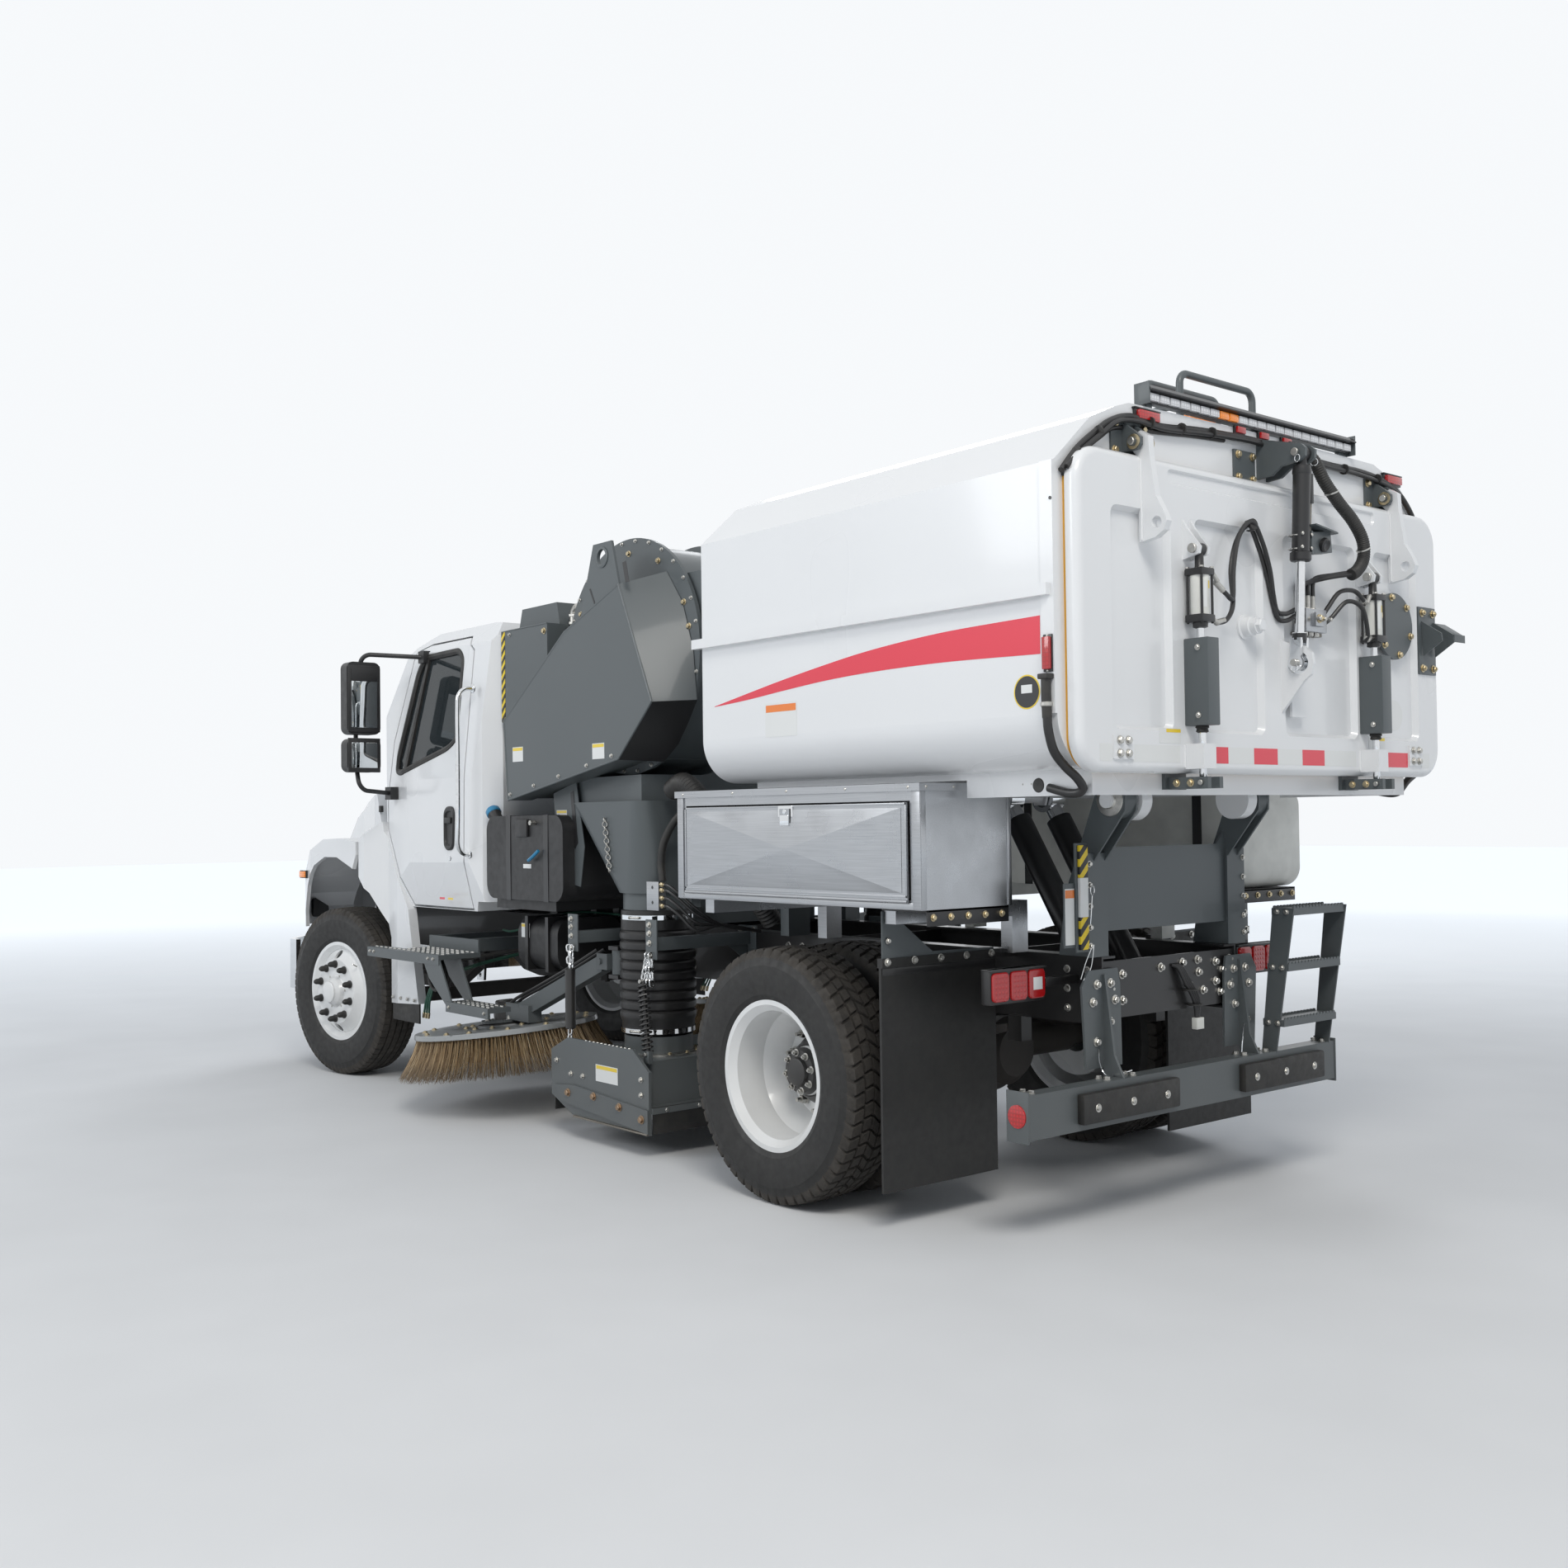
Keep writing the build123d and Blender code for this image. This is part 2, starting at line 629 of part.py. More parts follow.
with BuildPart() as front_bumper:
    with BuildSketch(Plane.XY.offset(480)) as plan:
        with BuildLine():
            Polyline(*shifted([(5020, 1130), (5120, 1130), (5310, 1000), (5400, 640),
                               (5400, -640), (5310, -1000), (5120, -1130), (5020, -1130),
                               (5020, -1100), (5110, -1100), (5280, -970), (5350, -620),
                               (5350, 620), (5280, 970), (5110, 1100), (5020, 1100)]),
                     close=True)
        make_face()
    extrude(amount=320)
    for side in (1, -1):
        block(frame_front, 5360, side * 390 - 40, side * 390 + 40, 600, 790)
        block(5350, hood_hinge_x + 14, side * 365 - 8, side * 365 + 8, 785, 896)
        side_plate([(5280, 490), (5290, 400), (5390, 400), (5398, 490)], side * 390 - 10,
                   side * 390 + 10)
        bar((tow_eye_x, side * 390 - 12, tow_eye_z), (tow_eye_x, side * 390 + 12, tow_eye_z),
            tow_eye_radius, Mode.SUBTRACT)
    bar((hood_hinge_x, -380, hood_hinge_z), (hood_hinge_x, 380, hood_hinge_z),
        hood_pin_radius + 0.05, Mode.SUBTRACT)
save(front_bumper, "front_bumper")


# ================================================================ cab side gear
with BuildPart() as cab_steps:
    block(2836, 3430, 960, 1215, 804, 830)
    block(3425, 3738, 1126, 1215, 804, 830)
    block(2836, 3738, 1200, 1215, 776, 830)
    block(2291, 2755, 1080, 1215, 562, 588)
    block(2291, 2755, 1200, 1215, 534, 588)
    for y in (1080, 1202):
        side_plate([(2840, 806), (3040, 806), (2960, 700), (2755, 562), (2700, 562),
                    (2700, 588), (2730, 640)], y, y + 8)
    block(2840, 3430, 960, 972, 830, 900)
    for x in (2900, 3340):
        block(x, x + 60, 430, 965, 830, 900)
    mirror(about=Plane.XZ)
save(cab_steps, "cab_steps")

with BuildPart() as plastic_tanks:
    with BuildSketch(Plane.YZ.offset(at(2150))) as tank:
        with Locations((680, 900)):
            RectangleRounded(400, 280, 90)
    extrude(amount=410)
    for x in (2200, 2450):
        block(x, x + 50, frame_half_width, 500, 860, 900)
    mirror(about=Plane.XZ)
    with BuildSketch(Plane.XZ.offset(-1050)) as tank:
        with Locations((at(2200), 1362)):
            RectangleRounded(780, 436, 80)
    extrude(amount=400)
    block(1960, 2570, 405, 1000, 1090, 1150)
    for x in (1980, 2480):
        block(x, x + 60, 405, frame_half_width, frame_top_z, 1091)
save(plastic_tanks, "plastic_tanks")


# ================================================================ blower and engine housing
blower_front = [(2300, 2080), (2265, 1660), (1225, 1834), (947, 2086), (1210, 2655),
                (1700, 2480)]

with BuildPart() as blower_housing:
    with BuildSketch(Plane.XZ.offset(-880)) as scroll:
        with Locations((at(fan_x), fan_z)):
            Circle(fan_radius)
    extrude(amount=400)
    for y in (880, 490):
        with BuildSketch(Plane.XZ.offset(-y - 10)) as flange:
            with Locations((at(fan_x), fan_z)):
                Circle(fan_radius + 35)
        extrude(amount=20)
    side_plate(blower_front, 960, 1100)
    side_plate([(2280, 2060), (2250, 1670), (1235, 1840), (1300, 2240), (2000, 2075)],
               480, 965)
    block(1560, 2200, 400, 482, 1720, 2000)
    block(450, 1300, 520, 860, 2460, 2700)
    block(437, 470, 490, 890, 2430, 2730)
    side_plate([(1210, 2655), (1270, 2870), (1430, 2870), (1560, 2500)], 1084, 1096)
    bar((lifting_eye_x, 1080, lifting_eye_z), (lifting_eye_x, 1100, lifting_eye_z),
        lifting_eye_radius, Mode.SUBTRACT)
save(blower_housing, "blower_housing")

with BuildPart() as engine_housing:
    side_plate([(1540, 1180), (2440, 1180), (2440, 2380), (2300, 2560), (1680, 2560),
                (1540, 2420)], -1080, 400)
    for y in (-1000, 300):
        block(1540, 2440, y, y + 100, 1100, 1185)
    for x in (1620, 2300):
        block(x, x + 60, -frame_half_width, 400, frame_top_z, 1110)
    block(2110, 2590, 600, 950, 2085, 2580)
    side_plate([(2130, 2575), (2160, 2700), (2520, 2700), (2560, 2575)], 640, 860)
    block(2140, 2400, 395, 605, 2100, 2150)
save(engine_housing, "engine_housing")

with BuildPart() as hose_ducts:
    with BuildSketch(Plane.XY.offset(1640)) as cone_top:
        with Locations((at(1505), 800)):
            RectangleRounded(640, 420, 80)
    with BuildSketch(Plane.XY.offset(1200)) as cone_foot:
        with Locations((at(hose_x), hose_y)):
            RectangleRounded(360, 360, 175)
    loft()
    with BuildSketch(Plane.XY.offset(1080)) as spigot:
        with Locations((at(hose_x), hose_y)):
            Circle(hose_radius - 20)
    extrude(amount=130)
    side_plate([(1240, 1640), (1800, 1640), (1800, 1745), (1700, 1762),
                (1240, 1765)], 600, 960)
    pipe([(hose_x, -hose_y, 1080), (hose_x, -hose_y, 2200), (455, -hose_y, 2200)],
         hose_radius - 20, 230)
    block(437, 465, -hose_y - 200, -hose_y + 200, 2000, 2400)
    block(hose_x - 20, hose_x + 20, -660, -400, 1100, 1160)
    block(hose_x - 20, hose_x + 20, -500, -400, 1005, 1160)
save(hose_ducts, "hose_ducts")

with BuildPart() as head_hoses:
    for y in (hose_y, -hose_y):
        with BuildSketch(Plane.XY.offset(hose_low_z)) as hose:
            with Locations((at(hose_x), y)):
                Circle(hose_radius)
                Circle(hose_radius - 12, mode=Mode.SUBTRACT)
        extrude(amount=hose_top_z - hose_low_z)
save(head_hoses, "head_hoses")


# ================================================================ gear beside the rear wheels
with BuildPart() as toolbox_body:
    block(-890, 600, 728, 1200, 1210, 1665)
    block(-900, 610, 720, 1215, 1640, 1668)
    block(-886, 596, 732, 1196, 1214, 1661, Mode.SUBTRACT)
    block(-835, 545, 1100, 1250, 1245, 1605, Mode.SUBTRACT)
    for x in (-700, 420):
        block(x, x + 60, frame_half_width, 1150, 1150, 1211)
        block(x, x + 60, frame_half_width, 520, frame_top_z, 1152)
save(toolbox_body, "toolbox_body")

with BuildPart() as toolbox_door:
    block(-828, 538, 1197, 1212, 1252, 1598)
    block(-828, 538, 1205, 1212, 1240, 1256)
    bar((-828, toolbox_hinge_y, toolbox_hinge_z), (538, toolbox_hinge_y, toolbox_hinge_z), 7)
    block(-175, -115, 1210, 1222, 1530, 1585)
save(toolbox_door, "toolbox_door")

with BuildPart() as water_tank:
    with BuildSketch(Plane.XZ.offset(728)) as tank:
        with Locations((at(-145), 1438)):
            RectangleRounded(1490, 455, 90)
    extrude(amount=472)
    for x in (-700, 420):
        block(x, x + 60, -1150, -frame_half_width, 1150, 1215)
        block(x, x + 60, -520, -frame_half_width, frame_top_z, 1152)
save(water_tank, "water_tank")

with BuildPart() as mud_flaps:
    block(-632, -620, 550, 1165, 150, 990)
    block(-640, -612, frame_half_width, 1165, 985, 1020)
    mirror(about=Plane.XZ)
save(mud_flaps, "mud_flaps")

tower_web = [(-1068, 1006), (-890, 1006), (-930, 1250), (-1000, 1420), (-1079, 1620),
             (-1222, 1620), (-1220, 1560), (-1068, 1370)]
with BuildPart() as tilt_towers:
    for side in (1, -1):
        for low, high in ((390, 400), (455, 465)):
            side_plate(tower_web, side * (low + high) / 2 - 5, side * (low + high) / 2 + 5)
        low, high = sorted((side * 386, side * 505))
        block(-1068, -1060, low, high, frame_top_z + 1, 1400)
        low, high = sorted((side * 390, side * 465))
        side_plate([(-898, 1006), (-890, 1006), (-930, 1252), (-1000, 1422), (-1007, 1418),
                    (-938, 1250)], low, high)
        bar((tilt_x, low - 1, tilt_z), (tilt_x, high + 1, tilt_z), 71)
        bar((tilt_x, low - 2, tilt_z), (tilt_x, high + 2, tilt_z), tilt_pin_radius + 0.05,
            Mode.SUBTRACT)
    cross_plate([(-395, 1100), (395, 1100), (395, 1480), (340, 1420), (-340, 1420),
                 (-395, 1480)], -1050, -1042)
save(tilt_towers, "tilt_towers")

with BuildPart() as rear_bumper:
    side_plate([(bumper_rear, 400), (-1110, 400), (-1110, 408), (bumper_rear + 8, 408),
                (bumper_rear + 8, 552), (-1110, 552), (-1110, 560), (bumper_rear, 560)],
               -bumper_half_width, bumper_half_width)
    for side in (1, -1):
        cross_plate([(side * 330, 590), (side * 540, 590), (side * 560, 900),
                     (side * 520, 960), (side * 350, 960), (side * 335, 900)], -1080, -1070)
        side_plate([(-1174, 406), (-1112, 406), (-1078, 590), (-1078, 940), (-1090, 940),
                    (-1130, 640), (-1174, 554)], side * 435 - 6, side * 435 + 6)
    for x, z in ((-1268, 1122), (-1243, 892), (-1218, 662)):
        block(x, x + 100, -934, -546, z, z + 28)
    for y in (-940, -550):
        side_plate([(-1275, 1152), (-1175, 1152), (-1112, 552), (bumper_rear, 552)], y, y + 8)
save(rear_bumper, "rear_bumper")

with BuildPart() as tail_lamps:
    block(-960, -900, 617, 917, 850, 980)
    block(-955, -915, frame_half_width, 620, 900, 930)
    mirror(about=Plane.XZ)
save(tail_lamps, "tail_lamps")


# ================================================================ hopper
hopper_top = [(-1190, 1880), (-1190, 2715), (-1000, 2886), (-870, 2941), (-790, 2966),
              (0, 2975), (790, 2966), (870, 2941), (1000, 2886), (1190, 2715), (1190, 1880)]
hopper_mouth = [(-1060, 1860), (-1060, 2640), (-965, 2735), (965, 2735), (1060, 2640),
                (1060, 1860), (960, 1760), (-960, 1760)]


def hopper_face(x, inset=0.0):
    """Cross-section of the hopper at a station: sloping shoulders and round lower corners."""
    with BuildSketch(Plane.YZ.offset(at(x))) as face:
        with BuildLine():
            Polyline(*hopper_top)
            ThreePointArc((1190, 1880), (1137.3, 1752.7), (1010, 1700))
            Line((1010, 1700), (-1010, 1700))
            ThreePointArc((-1010, 1700), (-1137.3, 1752.7), (-1190, 1880))
        make_face()
        if inset:
            offset(amount=-inset, kind=Kind.INTERSECTION, mode=Mode.REPLACE)
    return face.sketch


with BuildPart() as hopper_shell:
    extrude(hopper_face(hopper_rear), amount=hopper_front - hopper_rear)
    extrude(hopper_face(hopper_rear - 1, hopper_wall),
            amount=hopper_front - hopper_rear - hopper_wall + 1, mode=Mode.SUBTRACT)
    with BuildSketch(Plane.YZ.offset(at(collar_rear))) as mouth:
        with BuildLine():
            Polyline(*hopper_mouth, close=True)
        make_face()
    extrude(hopper_face(collar_rear) - mouth.sketch, amount=hopper_rear - collar_rear)
    for low, high, z_low, z_high in ((-940, -660, 2040, 2360), (540, 840, 2480, 2680)):
        block(hopper_front - 20, hopper_front + 5, low, high, z_low, z_high, Mode.SUBTRACT)
    for side in (1, -1):
        low, high = sorted((side * 1185, side * 1220))
        block(-1510, 467, low, high, 2270, 2310)
        low, high = sorted((side * 1188, side * 1200))
        block(collar_rear, -1470, low, high, 1880, 2715)
        side_plate([(skirt_rear, 1702), (skirt_rear, 1612), (-930, 1612), (-930, 1676),
                    (300, 1676), (300, 1702)], side * 996 - 6, side * 996 + 6)
        block(tilt_x - 40, 300, side * 340 - 30, side * 340 + 30, 1620, 1702)
        bar((tilt_x, side * 340 - 30, tilt_z), (tilt_x, side * 340 + 30, tilt_z), 78)
        bar((tilt_x, side * 320, tilt_z), (tilt_x, side * 490, tilt_z), tilt_pin_radius)
        for y in (side * lift_y - 52, side * lift_y + 52):
            side_plate([(lift_eye_x - 60, 1702), (lift_eye_x + 60, 1702),
                        (lift_eye_x + 30, 1590), (lift_eye_x - 30, 1590)], y - 7, y + 7)
    block(skirt_rear, skirt_rear + 10, -1002, 1002, 1612, 1702)
    bar((lift_eye_x, -lift_y - 65, lift_eye_z), (lift_eye_x, lift_y + 65, lift_eye_z),
        lift_pin_radius)
save(hopper_shell, "hopper_shell")

with BuildPart() as door_seal:
    with BuildSketch(Plane.YZ.offset(at(door_face + 1))) as ring:
        with Locations((0, (door_bottom_z + door_top_z) / 2)):
            RectangleRounded(2 * door_half_width - 16, door_top_z - door_bottom_z - 16, 112)
            RectangleRounded(2 * door_half_width - 80, door_top_z - door_bottom_z - 80, 80,
                             mode=Mode.SUBTRACT)
    extrude(amount=collar_rear - door_face - 1)
save(door_seal, "door_seal")

hinge_ear = [(collar_rear, 2785), (-1598, 2785), (-1610, 2800), (-1610, 2826),
             (-1590, 2846), (-1560, 2870), (collar_rear, 2896)]
cylinder_ear = [(collar_rear, 2795), (-1590, 2800), (-1630, 2828), (-1706, 2834),
                (-1730, 2850), (-1732, 2880), (-1715, 2896), (-1660, 2912),
                (collar_rear, 2950)]


def roof_z(y):
    """Height of the hopper's roof near its middle."""
    return 2975 - abs(y) * 9 / 790


with BuildPart() as hopper_fittings:
    for side in (1, -1):
        block(collar_rear - 8, collar_rear, side * hinge_y - 95, side * hinge_y + 95, 2770, 2896)
        for y in (side * hinge_y - 30, side * hinge_y + 30):
            side_plate(hinge_ear, y - 8, y + 8)
        bar((hinge_x, side * hinge_y - 50, hinge_z), (hinge_x, side * hinge_y + 50, hinge_z),
            hinge_pin_radius)
        side_plate(cylinder_ear, side * 31 - 7, side * 31 + 7)
        block(collar_rear, skirt_rear, side * latch_y - 60, side * latch_y + 60, 1630, 1700)
        for y in (side * latch_y - 34, side * latch_y + 34):
            block(-1690, -1524, y - 10, y + 10, 1632, 1672)
        block(-1596, -1524, side * latch_y - 34, side * latch_y + 34, 1632, 1672)
    bar((cylinder_top_x, -44, cylinder_top_z), (cylinder_top_x, 44, cylinder_top_z),
        cylinder_pin_radius)
    block(collar_rear - 10, collar_rear, 60, 190, 2770, 2890)
    block(-1530, -1500, -600, 710, 2984, 3014)
    for y in (-560, 20, 670):
        block(-1520, -1500, y - 15, y + 15, roof_z(abs(y) - 15) + 0.1, 2985)
    for x in (-1400, -1240):
        pipe([(x, -130, roof_z(130) + 0.2), (x, -130, 3180), (x, 330, 3180),
              (x, 330, roof_z(330) + 0.2)], 14, 40)
    for y in (-130, 330):
        bar((-1400, y, 3060), (-1240, y, 3060), 12)
    with Locations((at(-1320), 100, roof_z(40) + 60.1)):
        Cylinder(60, 120)
save(hopper_fittings, "hopper_fittings")

outer_face = door_face - door_thickness
door_fields = ((822, 325), (318, 413), (-270, 500), (-820, 330))
door_arm = [(outer_face + 10, 2470), (outer_face - 58, 2480), (outer_face - 92, 2500),
            (outer_face - 104, 2530), (outer_face - 92, 2562), (outer_face - 60, 2620),
            (outer_face - 38, 2760), (hinge_x - 42, 2830), (hinge_x - 10, 2852),
            (hinge_x + 26, 2840), (hinge_x + 34, 2800), (outer_face + 10, 2760)]
cylinder_gusset = [(outer_face + 4, 2190), (-1640, 2168), (-1690, 2158), (-1722, 2130),
                   (-1728, 2090), (-1718, 2050), (-1690, 2030), (outer_face + 4, 1910)]
with BuildPart() as hopper_door:
    with BuildSketch(Plane.YZ.offset(at(outer_face))) as pan:
        with Locations((0, (door_bottom_z + door_top_z) / 2)):
            RectangleRounded(2 * door_half_width, door_top_z - door_bottom_z, door_corner)
    extrude(amount=door_thickness)
    fillet(faces().sort_by(Axis.X)[0].edges(), radius=28)
    with BuildSketch(Plane.YZ.offset(at(door_face))) as cavity:
        with Locations((0, (door_bottom_z + door_top_z) / 2)):
            RectangleRounded(2 * door_half_width - 120, door_top_z - door_bottom_z - 120, 60)
    extrude(amount=-20, mode=Mode.SUBTRACT)
    with BuildSketch(Plane.YZ.offset(at(outer_face))) as fields:
        for y, width in door_fields:
            with Locations((y, 2207)):
                RectangleRounded(width, 755, 35)
    extrude(amount=field_depth, taper=30, mode=Mode.SUBTRACT)
    with BuildSketch(Plane.YZ.offset(at(outer_face))) as header:
        with Locations((0, 2716)):
            RectangleRounded(1340, 52, 20)
    extrude(amount=10, taper=30, mode=Mode.SUBTRACT)
    for side in (1, -1):
        side_plate(door_arm, side * hinge_y - 14, side * hinge_y + 14)
        bar((outer_face - 62, side * hinge_y - 15, 2530),
            (outer_face - 62, side * hinge_y + 15, 2530), 20, Mode.SUBTRACT)
        bar((hinge_x, side * hinge_y - 15, hinge_z), (hinge_x, side * hinge_y + 15, hinge_z),
            hinge_pin_radius + 0.05, Mode.SUBTRACT)
        for y in (side * latch_y - 24, side * latch_y + 24):
            side_plate([(outer_face + 4, 2580), (outer_face - 20, 2540), (latch_x - 26, 2470),
                        (latch_x - 20, 2446), (outer_face + 4, 2430)], y - 6, y + 6)
        block(latch_x - 30, outer_face + 2, side * latch_y - 36, side * latch_y + 36, 1700, 1787)
        bar((latch_x, side * latch_y, 1699), (latch_x, side * latch_y, 1788), 13.5,
            Mode.SUBTRACT)
        block(outer_face - 8, outer_face + 1, side * 943 - 52, side * 943 + 52, 1730, 1812)
    side_plate(cylinder_gusset, -7, 7)
    bar((cylinder_eye_x, -8, cylinder_eye_z), (cylinder_eye_x, 8, cylinder_eye_z), 42,
        Mode.SUBTRACT)
    bar((outer_face - 40, 200, 2225), (outer_face + 26, 200, 2225), 30)
save(hopper_door, "hopper_door")

with BuildPart() as door_fittings:
    for side in (1, -1):
        y = side * latch_y
        bar((latch_x, y - 17, 2465), (latch_x, y + 17, 2465), 22)
        bar((latch_x, y, 2460), (latch_x, y, 2395), 15)
        block(latch_x - 38, latch_x + 38, y - 38, y + 38, 2372, 2398)
        bar((latch_x, y, 2375), (latch_x, y, 2235), 33)
        block(latch_x - 38, latch_x + 38, y - 38, y + 38, 2208, 2236)
        bar((latch_x, y, 2210), (latch_x, y, 2150), 13)
        block(latch_x - 52, outer_face, y - 33, y + 33, 1850, 2155)
        bar((latch_x, y, 1852), (latch_x, y, 1660), 13)
    bar((outer_face - 14, -790, 2293), (outer_face - 2, -790, 2293), 135)
    bar((outer_face - 4, -790, 2293), (outer_face + field_depth, -790, 2293), 90)
    block(outer_face - 8, outer_face, -1120, -985, 2109, 2389)
    side_plate([(outer_face - 6, 2330), (-1690, 2270), (-1690, 2240), (outer_face - 6, 2180)],
               -1110, -1010)
save(door_fittings, "door_fittings")

top_pin = Vector(cylinder_top_x, 0, cylinder_top_z)
rod_run = Vector(cylinder_eye_x, 0, cylinder_eye_z) - top_pin
rod_length = rod_run.length
rod_dir = rod_run.normalized()


def on_rod(distance, y=0.0):
    """Point on the rear door cylinder's axis this far below its top pin."""
    spot = top_pin + rod_dir * distance
    return (spot.X, y, spot.Z)


rod_plane = Plane(origin=(at(cylinder_top_x), 0, cylinder_top_z), x_dir=(0, 1, 0), z_dir=rod_dir)
with BuildPart() as door_cylinder_barrel:
    bar(on_rod(46), on_rod(385), barrel_radius)
    bar(on_rod(0), on_rod(60), 18)
    bar(on_rod(0, -22), on_rod(0, 22), 25)
    bar(on_rod(0, -23), on_rod(0, 23), cylinder_pin_radius + 0.05, Mode.SUBTRACT)
    bar(on_rod(64), on_rod(386), rod_radius + 0.05, Mode.SUBTRACT)
save(door_cylinder_barrel, "door_cylinder_barrel")

with BuildPart() as door_cylinder_rod:
    bar(on_rod(245), on_rod(rod_length - 100), rod_radius)
    bar(on_rod(rod_length - 112), on_rod(rod_length - 88), 26)
    for y in (-19, 19):
        with BuildSketch(rod_plane.offset(rod_length - 92)) as ear:
            with Locations((y, 0)):
                Rectangle(14, 44)
        extrude(amount=92)
        bar(on_rod(rod_length, y - 7), on_rod(rod_length, y + 7), 30)
    bar(on_rod(rod_length, -30), on_rod(rod_length, 30), fork_pin_radius)
save(door_cylinder_rod, "door_cylinder_rod")

lift_run = Vector(lift_eye_x - lift_base_x, 0, lift_eye_z - lift_base_z)
lift_length = lift_run.length
lift_dir = lift_run.normalized()


def on_lift(distance, y):
    """Point on a lift cylinder's axis this far from its base pin."""
    spot = lift_dir * distance
    return (lift_base_x + spot.X, y, lift_base_z + spot.Z)


with BuildPart() as lift_cylinder_barrels:
    for y in (lift_y, -lift_y):
        bar(on_lift(30, y), on_lift(lift_length - 110, y), 55)
        bar(on_lift(60, y), on_lift(lift_length - 109, y), 35.05, Mode.SUBTRACT)
        bar((lift_base_x, y - 40, lift_base_z), (lift_base_x, y + 40, lift_base_z), 48)
    bar((lift_base_x, -lift_y - 41, lift_base_z), (lift_base_x, lift_y + 41, lift_base_z),
        lift_pin_radius + 0.05, Mode.SUBTRACT)
save(lift_cylinder_barrels, "lift_cylinder_barrels")

with BuildPart() as lift_cylinder_rods:
    for y in (lift_y, -lift_y):
        bar(on_lift(80, y), on_lift(lift_length - 30, y), 35)
        bar((lift_eye_x, y - 40, lift_eye_z), (lift_eye_x, y + 40, lift_eye_z), lift_eye_bore + 20)
        bar((lift_eye_x, y - 41, lift_eye_z), (lift_eye_x, y + 41, lift_eye_z),
            lift_eye_bore, Mode.SUBTRACT)
save(lift_cylinder_rods, "lift_cylinder_rods")


# ================================================================ gutter brooms
for side, label in ((1, "left"), (-1, "right")):
    pivot_y = side * broom_pivot_y
    hub_y = side * broom_y
    tilt = math.radians(broom_tilt)
    low_way = Vector(0.9, side * 0.436, 0)
    spin = Vector(low_way.X * math.sin(tilt), low_way.Y * math.sin(tilt), math.cos(tilt))
    disc = Plane(origin=(at(broom_x), hub_y, broom_z), x_dir=(0, 1, 0), z_dir=spin)

    with BuildPart() as broom_bracket:
        bar((broom_pivot_x - 100, pivot_y, broom_pivot_z - 60),
            (broom_pivot_x - 100, pivot_y, broom_pivot_z + 60), 42)
        for offset_y in (-58, 46):
            block(broom_pivot_x - 60, broom_pivot_x + 30, pivot_y + offset_y,
                  pivot_y + offset_y + 12, broom_pivot_z - 40, broom_pivot_z + 40)
        block(broom_pivot_x - 65, broom_pivot_x - 45, pivot_y - 58, pivot_y + 58,
              broom_pivot_z - 40, broom_pivot_z + 40)
        bar((broom_pivot_x - 100, pivot_y, broom_pivot_z - 61),
            (broom_pivot_x - 100, pivot_y, broom_pivot_z + 61), 20.05, Mode.SUBTRACT)
        bar((broom_pivot_x, pivot_y - 66, broom_pivot_z),
            (broom_pivot_x, pivot_y + 66, broom_pivot_z), 15)
    save(broom_bracket, f"broom_bracket_{label}")

    with BuildPart() as broom_arm:
        square_tube((broom_pivot_x + 40, pivot_y, broom_pivot_z - 15),
                    (broom_x - 200, hub_y, broom_z + 115), 80, 80)
        bar((broom_pivot_x, pivot_y - 40, broom_pivot_z),
            (broom_pivot_x, pivot_y + 40, broom_pivot_z), 36)
        block(broom_pivot_x + 10, broom_pivot_x + 60, pivot_y - 30, pivot_y + 30,
              broom_pivot_z - 45, broom_pivot_z + 15)
        bar((broom_pivot_x, pivot_y - 41, broom_pivot_z),
            (broom_pivot_x, pivot_y + 41, broom_pivot_z), 15.05, Mode.SUBTRACT)
        with BuildSketch(disc.offset(40)) as plate:
            Circle(130)
            Rectangle(160, 260)
        extrude(amount=14)
        with BuildSketch(disc.offset(54)) as motor:
            Circle(62)
        extrude(amount=52)
        block(broom_x - 300, broom_x - 60, hub_y - 40, hub_y + 40, broom_z + 60, broom_z + 150)
    save(broom_arm, f"broom_arm_{label}")

    with BuildPart() as broom_disc:
        with BuildSketch(disc) as plate:
            Circle(broom_plate_radius)
            Circle(150, mode=Mode.SUBTRACT)
        extrude(amount=16)
        with BuildSketch(disc) as hub:
            Circle(155)
        extrude(amount=30)
    save(broom_disc, f"broom_disc_{label}")

    with BuildPart() as broom_bristles:
        turned(Plane(origin=disc.origin, x_dir=disc.x_dir, z_dir=-disc.z_dir), [
            (0, 260), (0, broom_plate_radius - 10), (bristle_drop, broom_tip_radius),
            (bristle_drop, 400)])
    save(broom_bristles, f"broom_bristles_{label}")


# ================================================================ pick-up head
with BuildPart() as pickup_head:
    for side in (1, -1):
        low, high = sorted((side * (head_half_width - 14), side * head_half_width))
        side_plate([(head_rear, 112), (1640, 112), (head_front, 200), (head_front, 420),
                    (1700, 490), (1130, 490), (head_rear, 400)], low, high)
    side_plate([(1060, 230), (1100, 430), (1700, 430), (1790, 250), (1780, 235),
                (1690, 410), (1110, 410), (1075, 230)], -(head_half_width - 13),
               head_half_width - 13)
    for y in (hose_y, -hose_y):
        with BuildSketch(Plane.XY.offset(429)) as collar:
            with Locations((at(hose_x), y)):
                Circle(hose_radius - 20)
        extrude(amount=90)
save(pickup_head, "pickup_head")
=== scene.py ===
"""Looks of the street sweeper truck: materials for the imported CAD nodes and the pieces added.

All sizes are in metres in the truck's own frame: +X forward, +Y to its left, +Z up from the
ground. Distances along the truck are given as stations, counted forward from the rear axle.
"""

import math
import random

import bmesh
import bpy
from mathutils import Matrix, Vector


